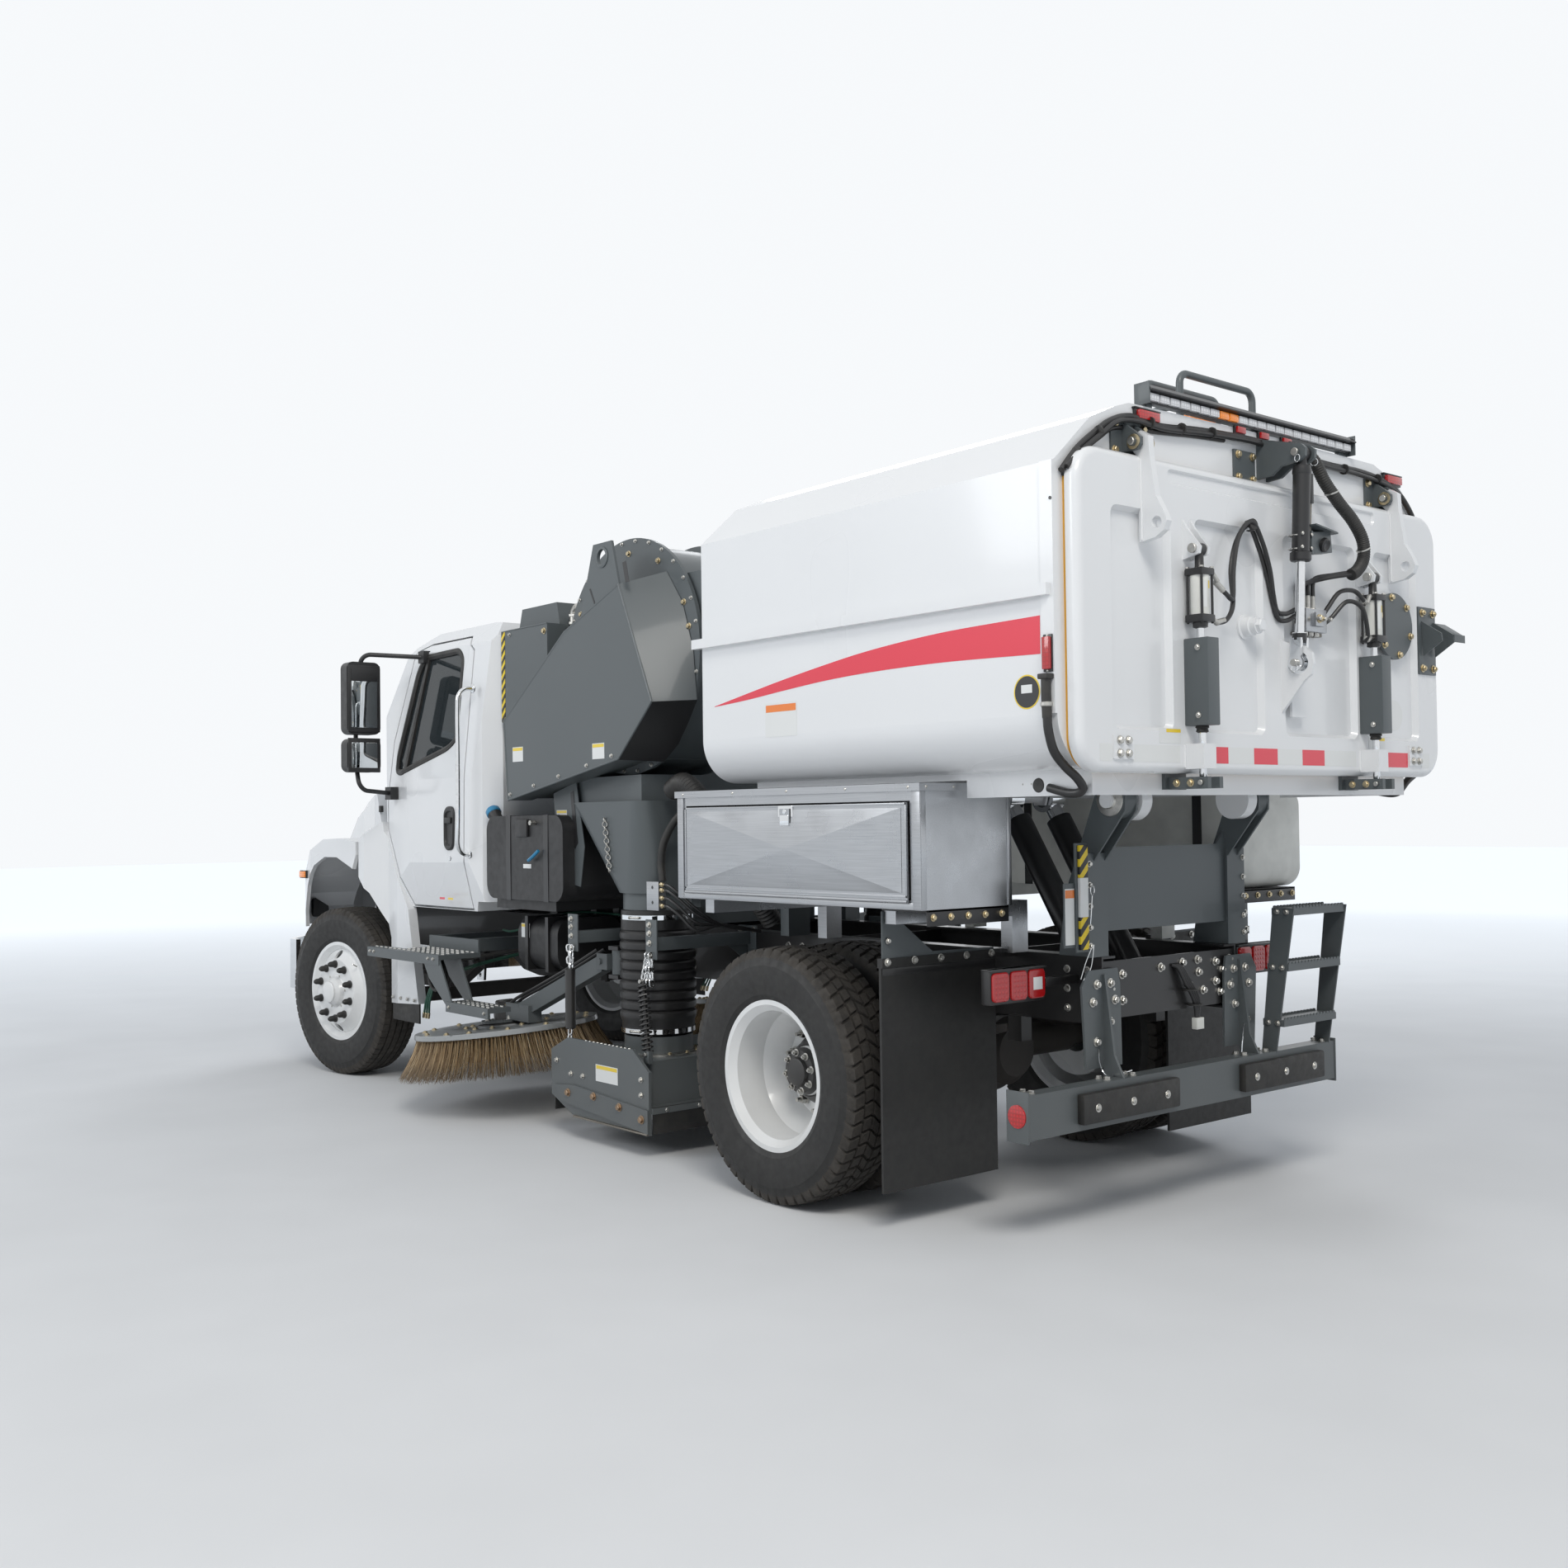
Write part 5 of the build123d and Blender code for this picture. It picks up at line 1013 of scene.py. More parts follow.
marks = Piece("hopper_marks", "hopper")
for _, s in SIDES:
    out = LEFT * s
    swoosh = ((0.346, 2.021, 2.019), (0.12, 2.06, 2.034), (-0.102, 2.097, 2.054),
              (-0.35, 2.134, 2.074), (-0.572, 2.163, 2.085), (-0.801, 2.184, 2.09),
              (-1.055, 2.199, 2.09), (-1.457, 2.208, 2.08))
    upper = smooth_line([spot(x, s * HOPPER_SIDE, z) for x, z, _ in swoosh], 6)
    lower = smooth_line([spot(x, s * HOPPER_SIDE, z) for x, _, z in swoosh], 6)
    ribbon(marks, "red", upper, lower, out)
    label(marks, spot(-0.094, s * HOPPER_SIDE, 1.941), 0.2, 0.135, out, "orange")
    marks.lathe("yellow", (-1.395, s * HOPPER_SIDE, 1.958), out, [(0, 0.058), (0.0008, 0.058)],
                36)
    marks.lathe("black", (-1.395, s * 1.1908, 1.958), out, [(0, 0.053), (0.0006, 0.053)], 36)
    marks.plate("label", rect(-0.024, 0.024, 0.002, 0.03), (-1.395, s * 1.1915, 1.952), FORE,
                -s * 0.0006, 0.0002)
    marks.box("black", (-1.52, s * 1.2, 2.016), (-1.482, s * 1.206, 2.14), 0.002)
    marks.box("red_lens", (-1.517, s * 1.203, 2.024), (-1.485, s * 1.219, 2.132), 0.006)
    for z in (2.02, 2.136):
        marks.lathe("zinc", (-1.501, s * 1.206, z), out, [(0, 0.0045), (0.003, 0.003)], 8)
    marks.lathe("black", (-1.518, s * 1.2, 2.588), out, [(0, 0.006), (0.002, 0.006)], 12)
    marks.box("rubber", (-1.522, s * 1.198, 1.992), (-1.48, s * 1.236, 2.01), 0.004)
    marks.tube("rubber", [(-1.501, s * 1.216, 2.0), (-1.501, s * 1.216, 1.93),
                          (-1.502, s * 1.214, 1.865)], 0.0165, 14)
    marks.lathe("zinc", (-1.501, s * 1.215, 1.902), UP, [
        (0, 0.018), (0.003, 0.0205), (0.012, 0.0205), (0.015, 0.018)], 20)
    marks.tube("hose", [
        (-1.502, s * 1.214, 1.87), (-1.502, s * 1.208, 1.82), (-1.5, s * 1.18, 1.755),
        (-1.497, s * 1.122, 1.706), (-1.492, s * 1.062, 1.672), (-1.487, s * 1.024, 1.64),
        (-1.47, s * 1.018, 1.622), (-1.425, s * 1.02, 1.62), (-1.33, s * 1.012, 1.64)], 0.0155, 14)
    marks.lathe("rubber", (-1.273, s * 1.002, 1.65), out, [
        (0, 0.026), (0.003, 0.024), (0.003, 0.017), (0.001, 0.001)], 24)
    for dx in (-0.02, 0.02):
        marks.lathe("zinc", (-1.22 + dx, s * 1.002, 1.655), out, [(0, 0.0035), (0.002, 0.002)], 8)
marks.done()

header = Piece("header_gear", "hopper")
header.loft("black", [[
    (-1.562, y, 3.02), (-1.562, y, 3.024), (-1.546, y, 3.04), (-1.492, y, 3.046),
    (-1.488, y, 3.014), (-1.528, y, 3.014)] for y in (-0.602, -0.598, 0.706, 0.712)], smooth=False)
header.box("black", (-1.5345, -0.6, 2.98), (-1.53, 0.708, 3.016), 0.001)
for k in range(22):
    y = -0.588 + k * 0.0588
    material = "amber_lens" if k in (13, 14) else "clear_lens"
    header.box(material, (-1.548, y, 2.986), (-1.533, y + 0.054, 3.013), 0.004)
for y in (-0.606, 0.71):
    header.box("grey", (-1.556, y, 2.972), (-1.49, y + 0.006, 3.05), 0.001)
for y in (0.15, 0.0, -0.15):
    header.box("black", (-1.534, y - 0.034, 2.948), (-1.5255, y + 0.034, 2.979), 0.003)
    header.box("red_lens", (-1.543, y - 0.026, 2.952), (-1.532, y + 0.026, 2.976), 0.004)
for low, high, z in ((0.636, 0.772, 2.93), (-0.985, -0.85, 2.914)):
    header.box("black", (-1.536, low, z - 0.022), (-1.5255, high, z + 0.022), 0.003)
    header.box("black", (-1.54, low - 0.004, z + 0.02), (-1.505, high + 0.004, z + 0.025), 0.001)
    header.box("red_lens", (-1.549, low + 0.01, z - 0.016), (-1.534, high - 0.01, z + 0.016),
               0.005)
header.lathe("black", (-1.32, 0.1, 2.9745), UP, [
    (0, 0.072), (0.01, 0.072), (0.014, 0.066), (0.02, 0.064)], 36)
beacon = [(0.02, 0.061)]
for k in range(7):
    beacon += [(0.026 + k * 0.011, 0.0628), (0.031 + k * 0.011, 0.0612)]
beacon += [(0.11, 0.0612), (0.121, 0.058), (0.126, 0.045), (0.128, 0.001)]
header.lathe("amber_lens", (-1.32, 0.1, 2.9745), UP, beacon, 36)
loom = [
    [(-1.54, 1.168, 2.68), (-1.54, 1.085, 2.765), (-1.541, 0.985, 2.838), (-1.54, 0.905, 2.885),
     (-1.536, 0.8, 2.915), (-1.535, 0.64, 2.906), (-1.536, 0.43, 2.924), (-1.536, 0.24, 2.934),
     (-1.541, 0.06, 2.936), (-1.541, -0.15, 2.925), (-1.537, -0.42, 2.915), (-1.536, -0.66, 2.918),
     (-1.538, -0.83, 2.902), (-1.54, -0.96, 2.862), (-1.54, -1.06, 2.78), (-1.54, -1.08, 2.71)],
    [(-1.556, 1.16, 2.69), (-1.556, 1.08, 2.755), (-1.558, 0.98, 2.825), (-1.556, 0.89, 2.88),
     (-1.551, 0.78, 2.899), (-1.549, 0.62, 2.894), (-1.549, 0.43, 2.91), (-1.549, 0.23, 2.922),
     (-1.551, 0.06, 2.925), (-1.552, -0.16, 2.906), (-1.549, -0.42, 2.902), (-1.549, -0.64, 2.9),
     (-1.552, -0.83, 2.884), (-1.556, -0.95, 2.85)],
    [(-1.534, 1.15, 2.668), (-1.534, 1.065, 2.748), (-1.534, 0.965, 2.818), (-1.534, 0.87, 2.866),
     (-1.532, 0.64, 2.884), (-1.531, 0.43, 2.902), (-1.531, 0.25, 2.912)]]
for size, line in zip((0.0115, 0.009, 0.008), loom):
    header.tube("hose", line, size, 9, 6)
for x, y, z in ((-1.548, 1.1, 2.746), (-1.548, 0.985, 2.832), (-1.544, 0.7, 2.906),
                (-1.543, 0.52, 2.912), (-1.543, 0.34, 2.924), (-1.544, -0.3, 2.914),
                (-1.543, -0.54, 2.909), (-1.547, -0.78, 2.9)):
    header.lathe("rubber", (x, y - 0.004, z), LEFT, [(0, 0.021), (0.008, 0.021)], 14)
for _, s in SIDES:
    for dy in (-0.078, 0.078):
        for z in (2.788, 2.878):
            header.hex("brass", (-1.5335, s * BRACKET_Y + dy, z), AFT, 0.02, 0.01)
    y, foot = s * BRACKET_Y, s * LATCH_Y
    for end in (-1, 1):
        header.rod("zinc", (-1.584, y + end * 0.05, 2.812), (-1.584, y + end * 0.058, 2.812),
                   0.0135, 16)
        header.lathe("brass", (-1.584, y + end * 0.0385, 2.812), LEFT * end, [
            (0, 0.026), (0.004, 0.026), (0.005, 0.022)], 24)
        header.rod("zinc", (-1.665, foot + end * 0.04392, 1.652),
                   (-1.665, foot + end * 0.0558, 1.652), 0.0095, 12)
        for x in (-1.562, -1.62):
            header.hex("brass", (x, foot + end * 0.044, 1.652), LEFT * end, 0.018, 0.009)
for y in (0.08, 0.17):
    for z in (2.788, 2.872):
        header.hex("brass", (-1.5355, y, z), AFT, 0.02, 0.01)
header.done()

sleeve = Piece("hose_sleeve", None)
sleeve.tube("rubber", [
    (-1.58, -0.085, 2.926), (-1.615, -0.128, 2.91), (-1.64, -0.17, 2.872), (-1.652, -0.215, 2.8),
    (-1.668, -0.285, 2.725), (-1.682, -0.36, 2.66), (-1.69, -0.412, 2.59), (-1.692, -0.412, 2.52),
    (-1.69, -0.37, 2.47), (-1.688, -0.325, 2.448)], 0.0225, 16, 9, ribs=0.0018, pitch=0.009)
for place in ((-1.66, -0.25, 2.76), (-1.691, -0.414, 2.555)):
    sleeve.ring("zinc", place, Vector((0, -0.5, -1)), rect(-0.003, 0.003, 0.0235, 0.0265), 20)
sleeve.done(bend=(
    "hopper", "rear_door", spot(-1.6, -0.1, 2.88), spot(-1.69, -0.1, 2.56)))


# ---------------------------------------------------------------- blower

blower = Piece("blower_details", "chassis")
EDGE_Y = 1.098
edge_foot, edge_top = spot(0.947, EDGE_Y, 2.086), spot(1.21, EDGE_Y, 2.655)
back_edge = [spot(x, 0.892, z) for x, z in (
    (0.88, 2.098), (0.905, 2.33), (0.985, 2.56), (1.11, 2.72))]
slant = Vector((-0.8, 0.6, 0))
ribbon(blower, "grey", [edge_foot.lerp(edge_top, t) for t in (0, 0.33, 0.66, 1)], back_edge,
       slant, 0.003)
ribbon(blower, "black", [spot(x, EDGE_Y, z) for x, z in (
    (0.947, 2.086), (1.04, 2.002), (1.13, 1.92), (1.225, 1.834))], [
        spot(x, 0.892, z) for x, z in (
            (0.88, 2.098), (0.95, 2.0), (1.03, 1.905), (1.15, 1.825))],
       Vector((-0.6, 0, -0.8)), 0.003)
corners = [edge_foot.lerp(edge_top, t).lerp(back_edge[0].lerp(back_edge[3], t), inward)
           + slant * 0.006
           for t, inward in ((0.62, 0.72), (0.68, 0.92), (0.36, 0.42), (0.25, 0.4))]
blower.loft("black", [corners[:2], corners[:1:-1]], closed=False, smooth=False)
blower.plate("black", [(1.118, 2.655), (1.15, 2.655), (1.176, 2.752), (1.146, 2.756)],
             (0, 1.0965, 0), FORE, -0.002, 0.0004)
blower.plate("black", [(1.466, 2.662), (1.456, 2.664), (1.408, 2.576), (1.418, 2.573)],
             (0, 1.0965, 0), FORE, -0.001, 0.0002)
blower.ring("grey", (1.35, 1.084, 2.8), LEFT, [
    (0, 0.038), (0, 0.05), (0.016, 0.05), (0.018, 0.046), (0.018, 0.038)], 32)
for x, z in ((0.937, 2.444), (0.939, 2.198), (1.055, 1.99), (0.975, 2.56), (1.24, 1.875),
             (1.76, 1.965), (1.88, 2.12), (1.94, 2.345), (1.87, 2.6), (1.7, 2.77), (1.18, 2.78),
             (1.43, 2.848)):
    blower.hex("brass", (x, 0.89, z), LEFT, 0.02, 0.01)
for c, v in circle(0.56, 30):
    blower.hex("zinc", (1.43 + c, 0.89, 2.345 + v), LEFT, 0.013, 0.007)
for x, z in ((2.24, 1.69), (2.0, 1.73), (1.76, 1.77), (1.5, 1.814), (1.28, 1.852)):
    blower.hex("zinc", (x, 1.1, z), LEFT, 0.014, 0.007)
for x, z in ((1.395, 1.88), (2.16, 1.895)):
    label(blower, spot(x, 1.1001, z), 0.105, 0.075, LEFT, "yellow")
blower.loft("grey", [[(x, 1.101, z) for x, z in row] for row in (
    ((2.3, 2.082), (2.294, 2.076)), ((1.7, 2.482), (1.696, 2.474)),
    ((1.21, 2.657), (1.213, 2.648)))], closed=False, smooth=False)
for (x0, z0), (x1, z1) in (((2.302, 2.08), (2.267, 1.664)), ((2.265, 1.662), (1.226, 1.836)),
                           ((1.226, 1.836), (0.948, 2.087)), ((0.948, 2.087), (1.211, 2.655))):
    blower.tube("grey", [(x0, EDGE_Y, z0), (x1, EDGE_Y, z1)], 0.006, 8)
blower.tube("zinc", [(2.09, 0.8, 2.56), (2.088, 0.8, 2.64), (2.05, 0.8, 2.668)], 0.021, 14)
for z in (2.579, 2.619):
    blower.hex("zinc", (2.088, 0.8, z), UP, 0.052, 0.014, False)
blower.rod("zinc", (2.06, 0.8, 2.668), (1.965, 0.8, 2.664), 0.019, 16)
blower.rod("zinc", (2.0, 0.8, 2.666), (1.98, 0.8, 2.665), 0.026, 6)
blower.rod("hose", (1.97, 0.8, 2.664), (1.74, 0.8, 2.655), 0.022, 16)
blower.box("black", (2.06, 0.765, 2.47), (2.112, 0.84, 2.56), 0.004)
blower.hex("brass", (2.14, 0.95, 2.54), LEFT, 0.022, 0.01)
blower.box("hazard_side", (2.553, 0.9495, 2.09), (2.59, 0.952, 2.578), 0.0005)
for x, z in ((2.13, 2.11), (2.5, 2.11), (2.5, 2.555)):
    blower.hex("zinc", (x, 0.95, z), LEFT, 0.014, 0.007)
blower.tube("grey", [(2.112, 0.949, 2.578), (2.588, 0.949, 2.578)], 0.004, 8)
blower.done()

vents = Piece("engine_vents", "chassis")
SLAT_TILT = (UP - LEFT * 0.45).normalized()
for x0, x1 in ((1.64, 1.96), (2.04, 2.36)):
    vents.box("black", (x0, -1.082, 1.42), (x1, -1.08, 2.16), 0.0005)
    for k in range(14):
        vents.plate("grey", rect(x0 + 0.004, x1 - 0.004, 0, 0.044),
                    (0, -1.083, 1.445 + k * 0.052), FORE, 0.003, 0.0005, SLAT_TILT)
    for x in (x0 - 0.025, x1 + 0.01):
        vents.box("grey", (x, -1.088, 1.39), (x + 0.015, -1.08, 2.19), 0.002)
    for z in (1.385, 2.18):
        vents.box("grey", (x0 - 0.025, -1.088, z), (x1 + 0.025, -1.08, z + 0.015), 0.002)
for x in (1.7, 2.28):
    vents.box("black", (x, -1.094, 2.225), (x + 0.07, -1.08, 2.265), 0.004)
    vents.box("zinc", (x + 0.015, -1.104, 2.235), (x + 0.055, -1.092, 2.255), 0.004)
for x in (1.6, 2.0, 2.4):
    for z in (1.22, 1.35):
        vents.hex("zinc", (x, -1.08, z), -LEFT, 0.018, 0.009)
vents.lathe("zinc", (2.05, -0.72, 2.56), UP, [
    (0, 0.06), (0.012, 0.06), (0.016, 0.052), (0.15, 0.052), (0.16, 0.06), (0.178, 0.06),
    (0.182, 0.052)], 32)
vents.tube("zinc", [
    (1.8, -0.35, 2.556), (1.8, -0.35, 2.64), (1.79, -0.35, 2.69), (1.74, -0.35, 2.716),
    (1.68, -0.35, 2.722)], 0.036, 18, 8)
for x in (1.72, 1.9, 2.08, 2.26):
    for y in (-1.0, -0.6, -0.2, 0.2):
        vents.lathe("zinc", (x, y, 2.56), UP, [(0, 0.009), (0.004, 0.008), (0.005, 0.004)], 10)
vents.done()


# ---------------------------------------------------------------- cab

# half width of the cab by height and by station
CAB_SIDE = ((1.33, 1.06), (1.8, 1.052), (2.54, 0.975), (2.66, 0.87))
CAB_PLAN = ((2.62, 0.93), (2.69, 1.02), (2.78, 1.06), (3.5, 1.058), (3.9, 1.01), (4.09, 0.9))
SIDE_WINDOW = ((2.96, 2.01), (3.06, 1.96), (3.64, 1.838), (3.722, 1.85), (3.52, 2.44),
               (3.44, 2.52), (3.02, 2.525), (2.96, 2.47))
PULL = ((2.945, 1.395), (3.05, 1.395), (3.058, 1.64), (2.938, 1.64))
MIRROR_Y = 1.29
RAIL_Y = 1.138
SEAT_Y = 0.48
ROOF_LAMPS_Y = (-0.62, -0.31, 0.0, 0.31, 0.62)


def between(table, value):
    """Value read off a table of (place, size) rows with straight lines between them."""
    if value <= table[0][0]:
        return table[0][1]
    for (a, low), (b, high) in zip(table, table[1:]):
        if value <= b:
            return low + (high - low) * (value - a) / (b - a)
    return table[-1][1]


def cab_y(x, z):
    return min(between(CAB_SIDE, z), between(CAB_PLAN, x))


def rounded(corners, radius, steps=4):
    """Outline with each corner replaced by an arc-like run of points."""
    corners = [Vector(c) for c in corners]
    line = []
    for p, c, n in zip(corners[-1:] + corners, corners, corners[1:] + corners[:1]):
        cut = min(radius, (p - c).length * 0.45, (n - c).length * 0.45)
        a = c + (p - c).normalized() * cut
        b = c + (n - c).normalized() * cut
        for t in range(steps + 1):
            w = t / steps
            line.append(a * (1 - w) ** 2 + c * (2 * w * (1 - w)) + b * w ** 2)
    return line


def dense(line, step):
    made = []
    for a, b in zip(line, line[1:] + line[:1]):
        count = max(1, int((b - a).length / step))
        made += [a.lerp(b, k / count) for k in range(count)]
    return made


def window_band(piece, s, outline, reach, inner):
    """Rubber moulding round an opening in the cab's side."""
    line = dense(rounded(outline, 0.05), 0.03)
    centre = sum(line, Vector((0, 0))) / len(line)
    rings = []
    for k, p in enumerate(line):
        ahead = (line[(k + 1) % len(line)] - line[k - 1]).normalized()
        n = Vector((-ahead.y, ahead.x))
        if n.dot(centre - p) < 0:
            n = -n
        band = [(p + n * go, lift) for go, lift in (
            (-reach, 0), (-reach * 0.6, 0.006), (inner * 0.4, 0.008), (inner, -0.002),
            (inner, -0.014), (-reach * 0.3, -0.01))]
        rings.append([(q.x, s * (cab_y(q.x, q.y) + lift), q.y) for q, lift in band])
    piece.loft("rubber", rings, joined=True)


for side_name, s in SIDES:
    out = LEFT * s
    trim = Piece(f"door_trim_{side_name}", f"door_{side_name}")
    window_band(trim, s, SIDE_WINDOW, 0.01, 0.026)
    post = [Vector((3.395, 2.512)).lerp(Vector((3.575, 1.862)), t / 8) for t in range(9)]
    trim.loft("rubber", [[(p.x + dx, s * (cab_y(p.x, p.y) + lift), p.y) for dx, lift in rect(
        -0.015, 0.015, 0.003, -0.012)] for p in post], smooth=False)
    handle = rounded(PULL, 0.055, 8)
    centre = sum(handle, Vector((0, 0))) / len(handle)
    rings = []
    for size, lift in ((1.0, 0), (1.0, 0.007), (0.93, 0.013), (0.8, 0.012), (0.74, 0.003)):
        rings.append([(centre.x + (p.x - centre.x) * size, s * (cab_y(p.x, p.y) + lift),
                       centre.y + (p.y - centre.y) * size) for p in handle])
    trim.loft("plastic", rings)
    trim.box("plastic", (2.962, s * 1.058, 1.545), (3.034, s * 1.076, 1.578), 0.006)
    trim.lathe("chrome", (2.995, s * 1.06, 1.35), out, [
        (0, 0.014), (0.004, 0.013), (0.005, 0.006), (0.003, 0.001)], 20)
    for x, material in ((3.085, "red"), (2.985, "yellow")):
        trim.plate(material, rect(-0.03, 0.03, 0.01, 0.022),
                   (x, s * (cab_y(x, 1.11) + 0.0035), 1.11), FORE, -s * 0.0006, 0.0001)
    y = s * MIRROR_Y
    for low, high in ((2.105, 2.44), (1.872, 2.018)):
        trim.box("plastic", (3.592, y - 0.098, low - 0.026), (3.604, y + 0.098, high + 0.026),
                 0.005)
        trim.box("mirror", (3.5895, y - 0.078, low), (3.5935, y + 0.078, high), 0.001)
    trim.box("plastic", (3.588, y - 0.08, 2.372), (3.5925, y + 0.08, 2.445), 0.002)
    trim.done()

    rail = Piece(f"grab_rail_{side_name}", "chassis")
    rail.tube("chrome", [(x, s * y, z) for x, y, z in (
        (2.748, 1.038, 2.279), (2.746, 1.09, 2.276), (2.742, 1.13, 2.24), (2.742, RAIL_Y, 2.16),
        (2.742, RAIL_Y, 1.9), (2.744, RAIL_Y, 1.6), (2.748, RAIL_Y, 1.5), (2.76, 1.13, 1.42),
        (2.772, 1.095, 1.38), (2.778, 1.048, 1.372))], 0.0125, 14)
    for x, y, z in ((2.748, 1.04, 2.279), (2.78, 1.052, 1.372)):
        rail.lathe("chrome", (x, s * y, z), out, [(0, 0.026), (0.006, 0.025), (0.01, 0.014)], 22)
    for k in range(7):
        rail.ring("chrome", (2.7425, s * RAIL_Y, 1.62 + 0.08 * k), UP, [
            (-0.002, 0.0125), (0, 0.0136), (0.002, 0.0125)], 14)
    rail.box("rubber", (3.452, s * 1.018, 0.385), (3.8, s * 1.028, 0.5), 0.002)
    for x in (3.48, 3.57, 3.66, 3.76):
        rail.hex("zinc", (x, s * 1.045, 0.52), out, 0.014, 0.006)
    rail.done()

lamps = Piece("front_lamps", "hood")
for _, s in SIDES:
    axis, across, up = frame_of(Vector((0.842, s * 0.539, 0.05)))
    centre = spot(5.2075, s * 0.884, 1.0)
    outline = rounded(((-0.11, -0.066), (0.11, -0.058), (0.11, 0.058), (-0.11, 0.066)), 0.03, 5)
    for material, grow, low, high in (("plastic", 1.1, -0.028, 0.01),
                                      ("clear_lens", 0.98, 0, 0.018)):
        lamps.loft(material, [
            [centre + (across * p.x + up * p.y) * (grow * k) + axis * lift for p in outline]
            for lift, k in ((low, 1), (high - 0.004, 1), (high, 0.95))], smooth=False)
    for shift in (-0.045, 0.05):
        lamps.ring("chrome", centre + across * shift + axis * 0.017, axis, [
            (0, 0.034), (0.002, 0.044), (0.004, 0.042), (0.002, 0.034)], 28)
    lamps.box("plastic", (4.78, s * 1.146, 1.205), (4.88, s * 1.16, 1.255), 0.006)
    lamps.box("amber_lens", (4.786, s * 1.15, 1.21), (4.874, s * 1.168, 1.25), 0.008)
    for k in range(5):
        low, high = 4.32 + k * 0.01, 4.56 + k * 0.01
        lamps.plate("black", [(low, 0), (high, -0.02), (high, -0.008), (low, 0.012)],
                    (0, s * 0.9125, 1.56 - k * 0.028), Vector((1, -s * 0.285, 0)), -s * 0.0001,
                    0.00002)
    lamps.box("rubber", (4.12, s * 0.93, 1.62), (4.15, s * 0.95, 1.66), 0.004)
lamps.tube("chrome", [
    (5.322, -0.436, 0.962), (5.336, -0.436, 1.12), (5.322, -0.43, 1.326), (5.322, 0, 1.334),
    (5.322, 0.43, 1.326), (5.336, 0.436, 1.12), (5.322, 0.436, 0.962)], 0.012, 12)
for k in range(6):
    z = 1.02 + 0.05 * k
    lamps.box("chrome", (5.316, -0.418, z - 0.005), (5.3275, 0.418, z + 0.005), 0.001)
lamps.done()

wipers = Piece("wipers", "chassis")
BLADE = Vector((-0.16, -0.62, 0.3)) * 0.35
for foot_y, tip_y in ((0.55, 0.1), (-0.1, -0.55)):
    foot, tip = spot(4.128, foot_y, 1.868), spot(3.985, tip_y, 2.09)
    wipers.lathe("plastic", foot, Vector((0.8, 0, 0.6)), [
        (-0.01, 0.016), (0.022, 0.014), (0.028, 0.008)], 16)
    wipers.tube("plastic", [
        foot + Vector((0.014, 0, 0.012)), foot.lerp(tip, 0.5) + Vector((0.024, 0, 0.018)),
        tip + Vector((0.016, 0, 0.012))], 0.0065, 8)
    wipers.tube("rubber", [
        tip - BLADE + Vector((0.013, 0, 0.004)), tip + Vector((0.012, 0, 0.006)),
        tip + BLADE + Vector((0.013, 0, 0.004))], 0.0055, 8)
for y in ROOF_LAMPS_Y:
    foot = spot(3.3, y, 2.678 - abs(y) * 0.02)
    wipers.lathe("plastic", foot, UP, [(0, 0.04), (0.012, 0.04)], 24)
    wipers.lathe("amber_lens", foot, UP, [
        (0.012, 0.034), (0.024, 0.033), (0.036, 0.024), (0.04, 0.001)], 24)
wipers.done()


def pillow(piece, centre, u, w, size):
    """Stuffed cushion with soft edges and a crowned face; size runs along u, the left and w."""
    rows, steps = 14, 32
    crown, corner, edge = 0.55, 0.32, 0.8

    def soft(value, power):
        return math.copysign(abs(value) ** power, value)

    rings = []
    for i in range(1, rows):
        a = -math.pi / 2 + math.pi * i / rows
        flat = soft(math.cos(a), crown)
        rings.append([centre + u * (size[0] / 2 * flat * soft(c, corner))
                      + LEFT * (size[1] / 2 * flat * soft(v, corner))
                      + w * (size[2] / 2 * soft(math.sin(a), edge))
                      for c, v in circle(1, steps)])
    piece.loft("seat", rings)


LEAN = Vector((-0.19, 0, 0.982)).normalized()
LEAN_FORWARD = Vector((0.982, 0, 0.19)).normalized()
for side_name, s in SIDES:
    y = s * SEAT_Y
    cushions = Piece(f"seat_cushions_{side_name}", "chassis")
    pillow(cushions, spot(3.275, y, 1.5), FORE, UP, (0.49, 0.49, 0.125))
    pillow(cushions, spot(2.925, y, 1.81), LEAN, LEAN_FORWARD, (0.6, 0.47, 0.125))
    pillow(cushions, spot(2.868, y, 2.212), LEAN, LEAN_FORWARD, (0.155, 0.255, 0.08))
    for edge in (-1, 1):
        pillow(cushions, spot(3.285, y + edge * 0.205, 1.53), FORE, UP, (0.44, 0.075, 0.1))
        pillow(cushions, spot(2.958, y + edge * 0.195, 1.8), LEAN, LEAN_FORWARD,
               (0.5, 0.07, 0.095))
    cushions.done(("seats",))

frames = Piece("seat_frames", "chassis")
for _, s in SIDES:
    y = s * SEAT_Y
    frames.loft("interior", [[(x, py, z) for x, py in rect(3.07, 3.45, y - 0.175, y + 0.175)]
                             for z in (1.106, 1.2, 1.4)], smooth=False)
    frames.box("black", (3.035, y - 0.235, 1.395), (3.505, y + 0.235, 1.452), 0.01)
    frames.box("interior", (2.835, y - 0.215, 1.56), (2.87, y + 0.215, 2.07), 0.012,
               Matrix.Rotation(math.radians(-11), 3, "Y"))
    for dy in (-0.06, 0.06):
        frames.rod("chrome", (2.868, y + dy, 2.08), (2.856, y + dy, 2.18), 0.006, 10)
    frames.box("black", (3.08, y + s * 0.245, 1.48), (3.17, y + s * 0.262, 1.54),
               0.004 if s > 0 else 0)
frames.done(("seats",))

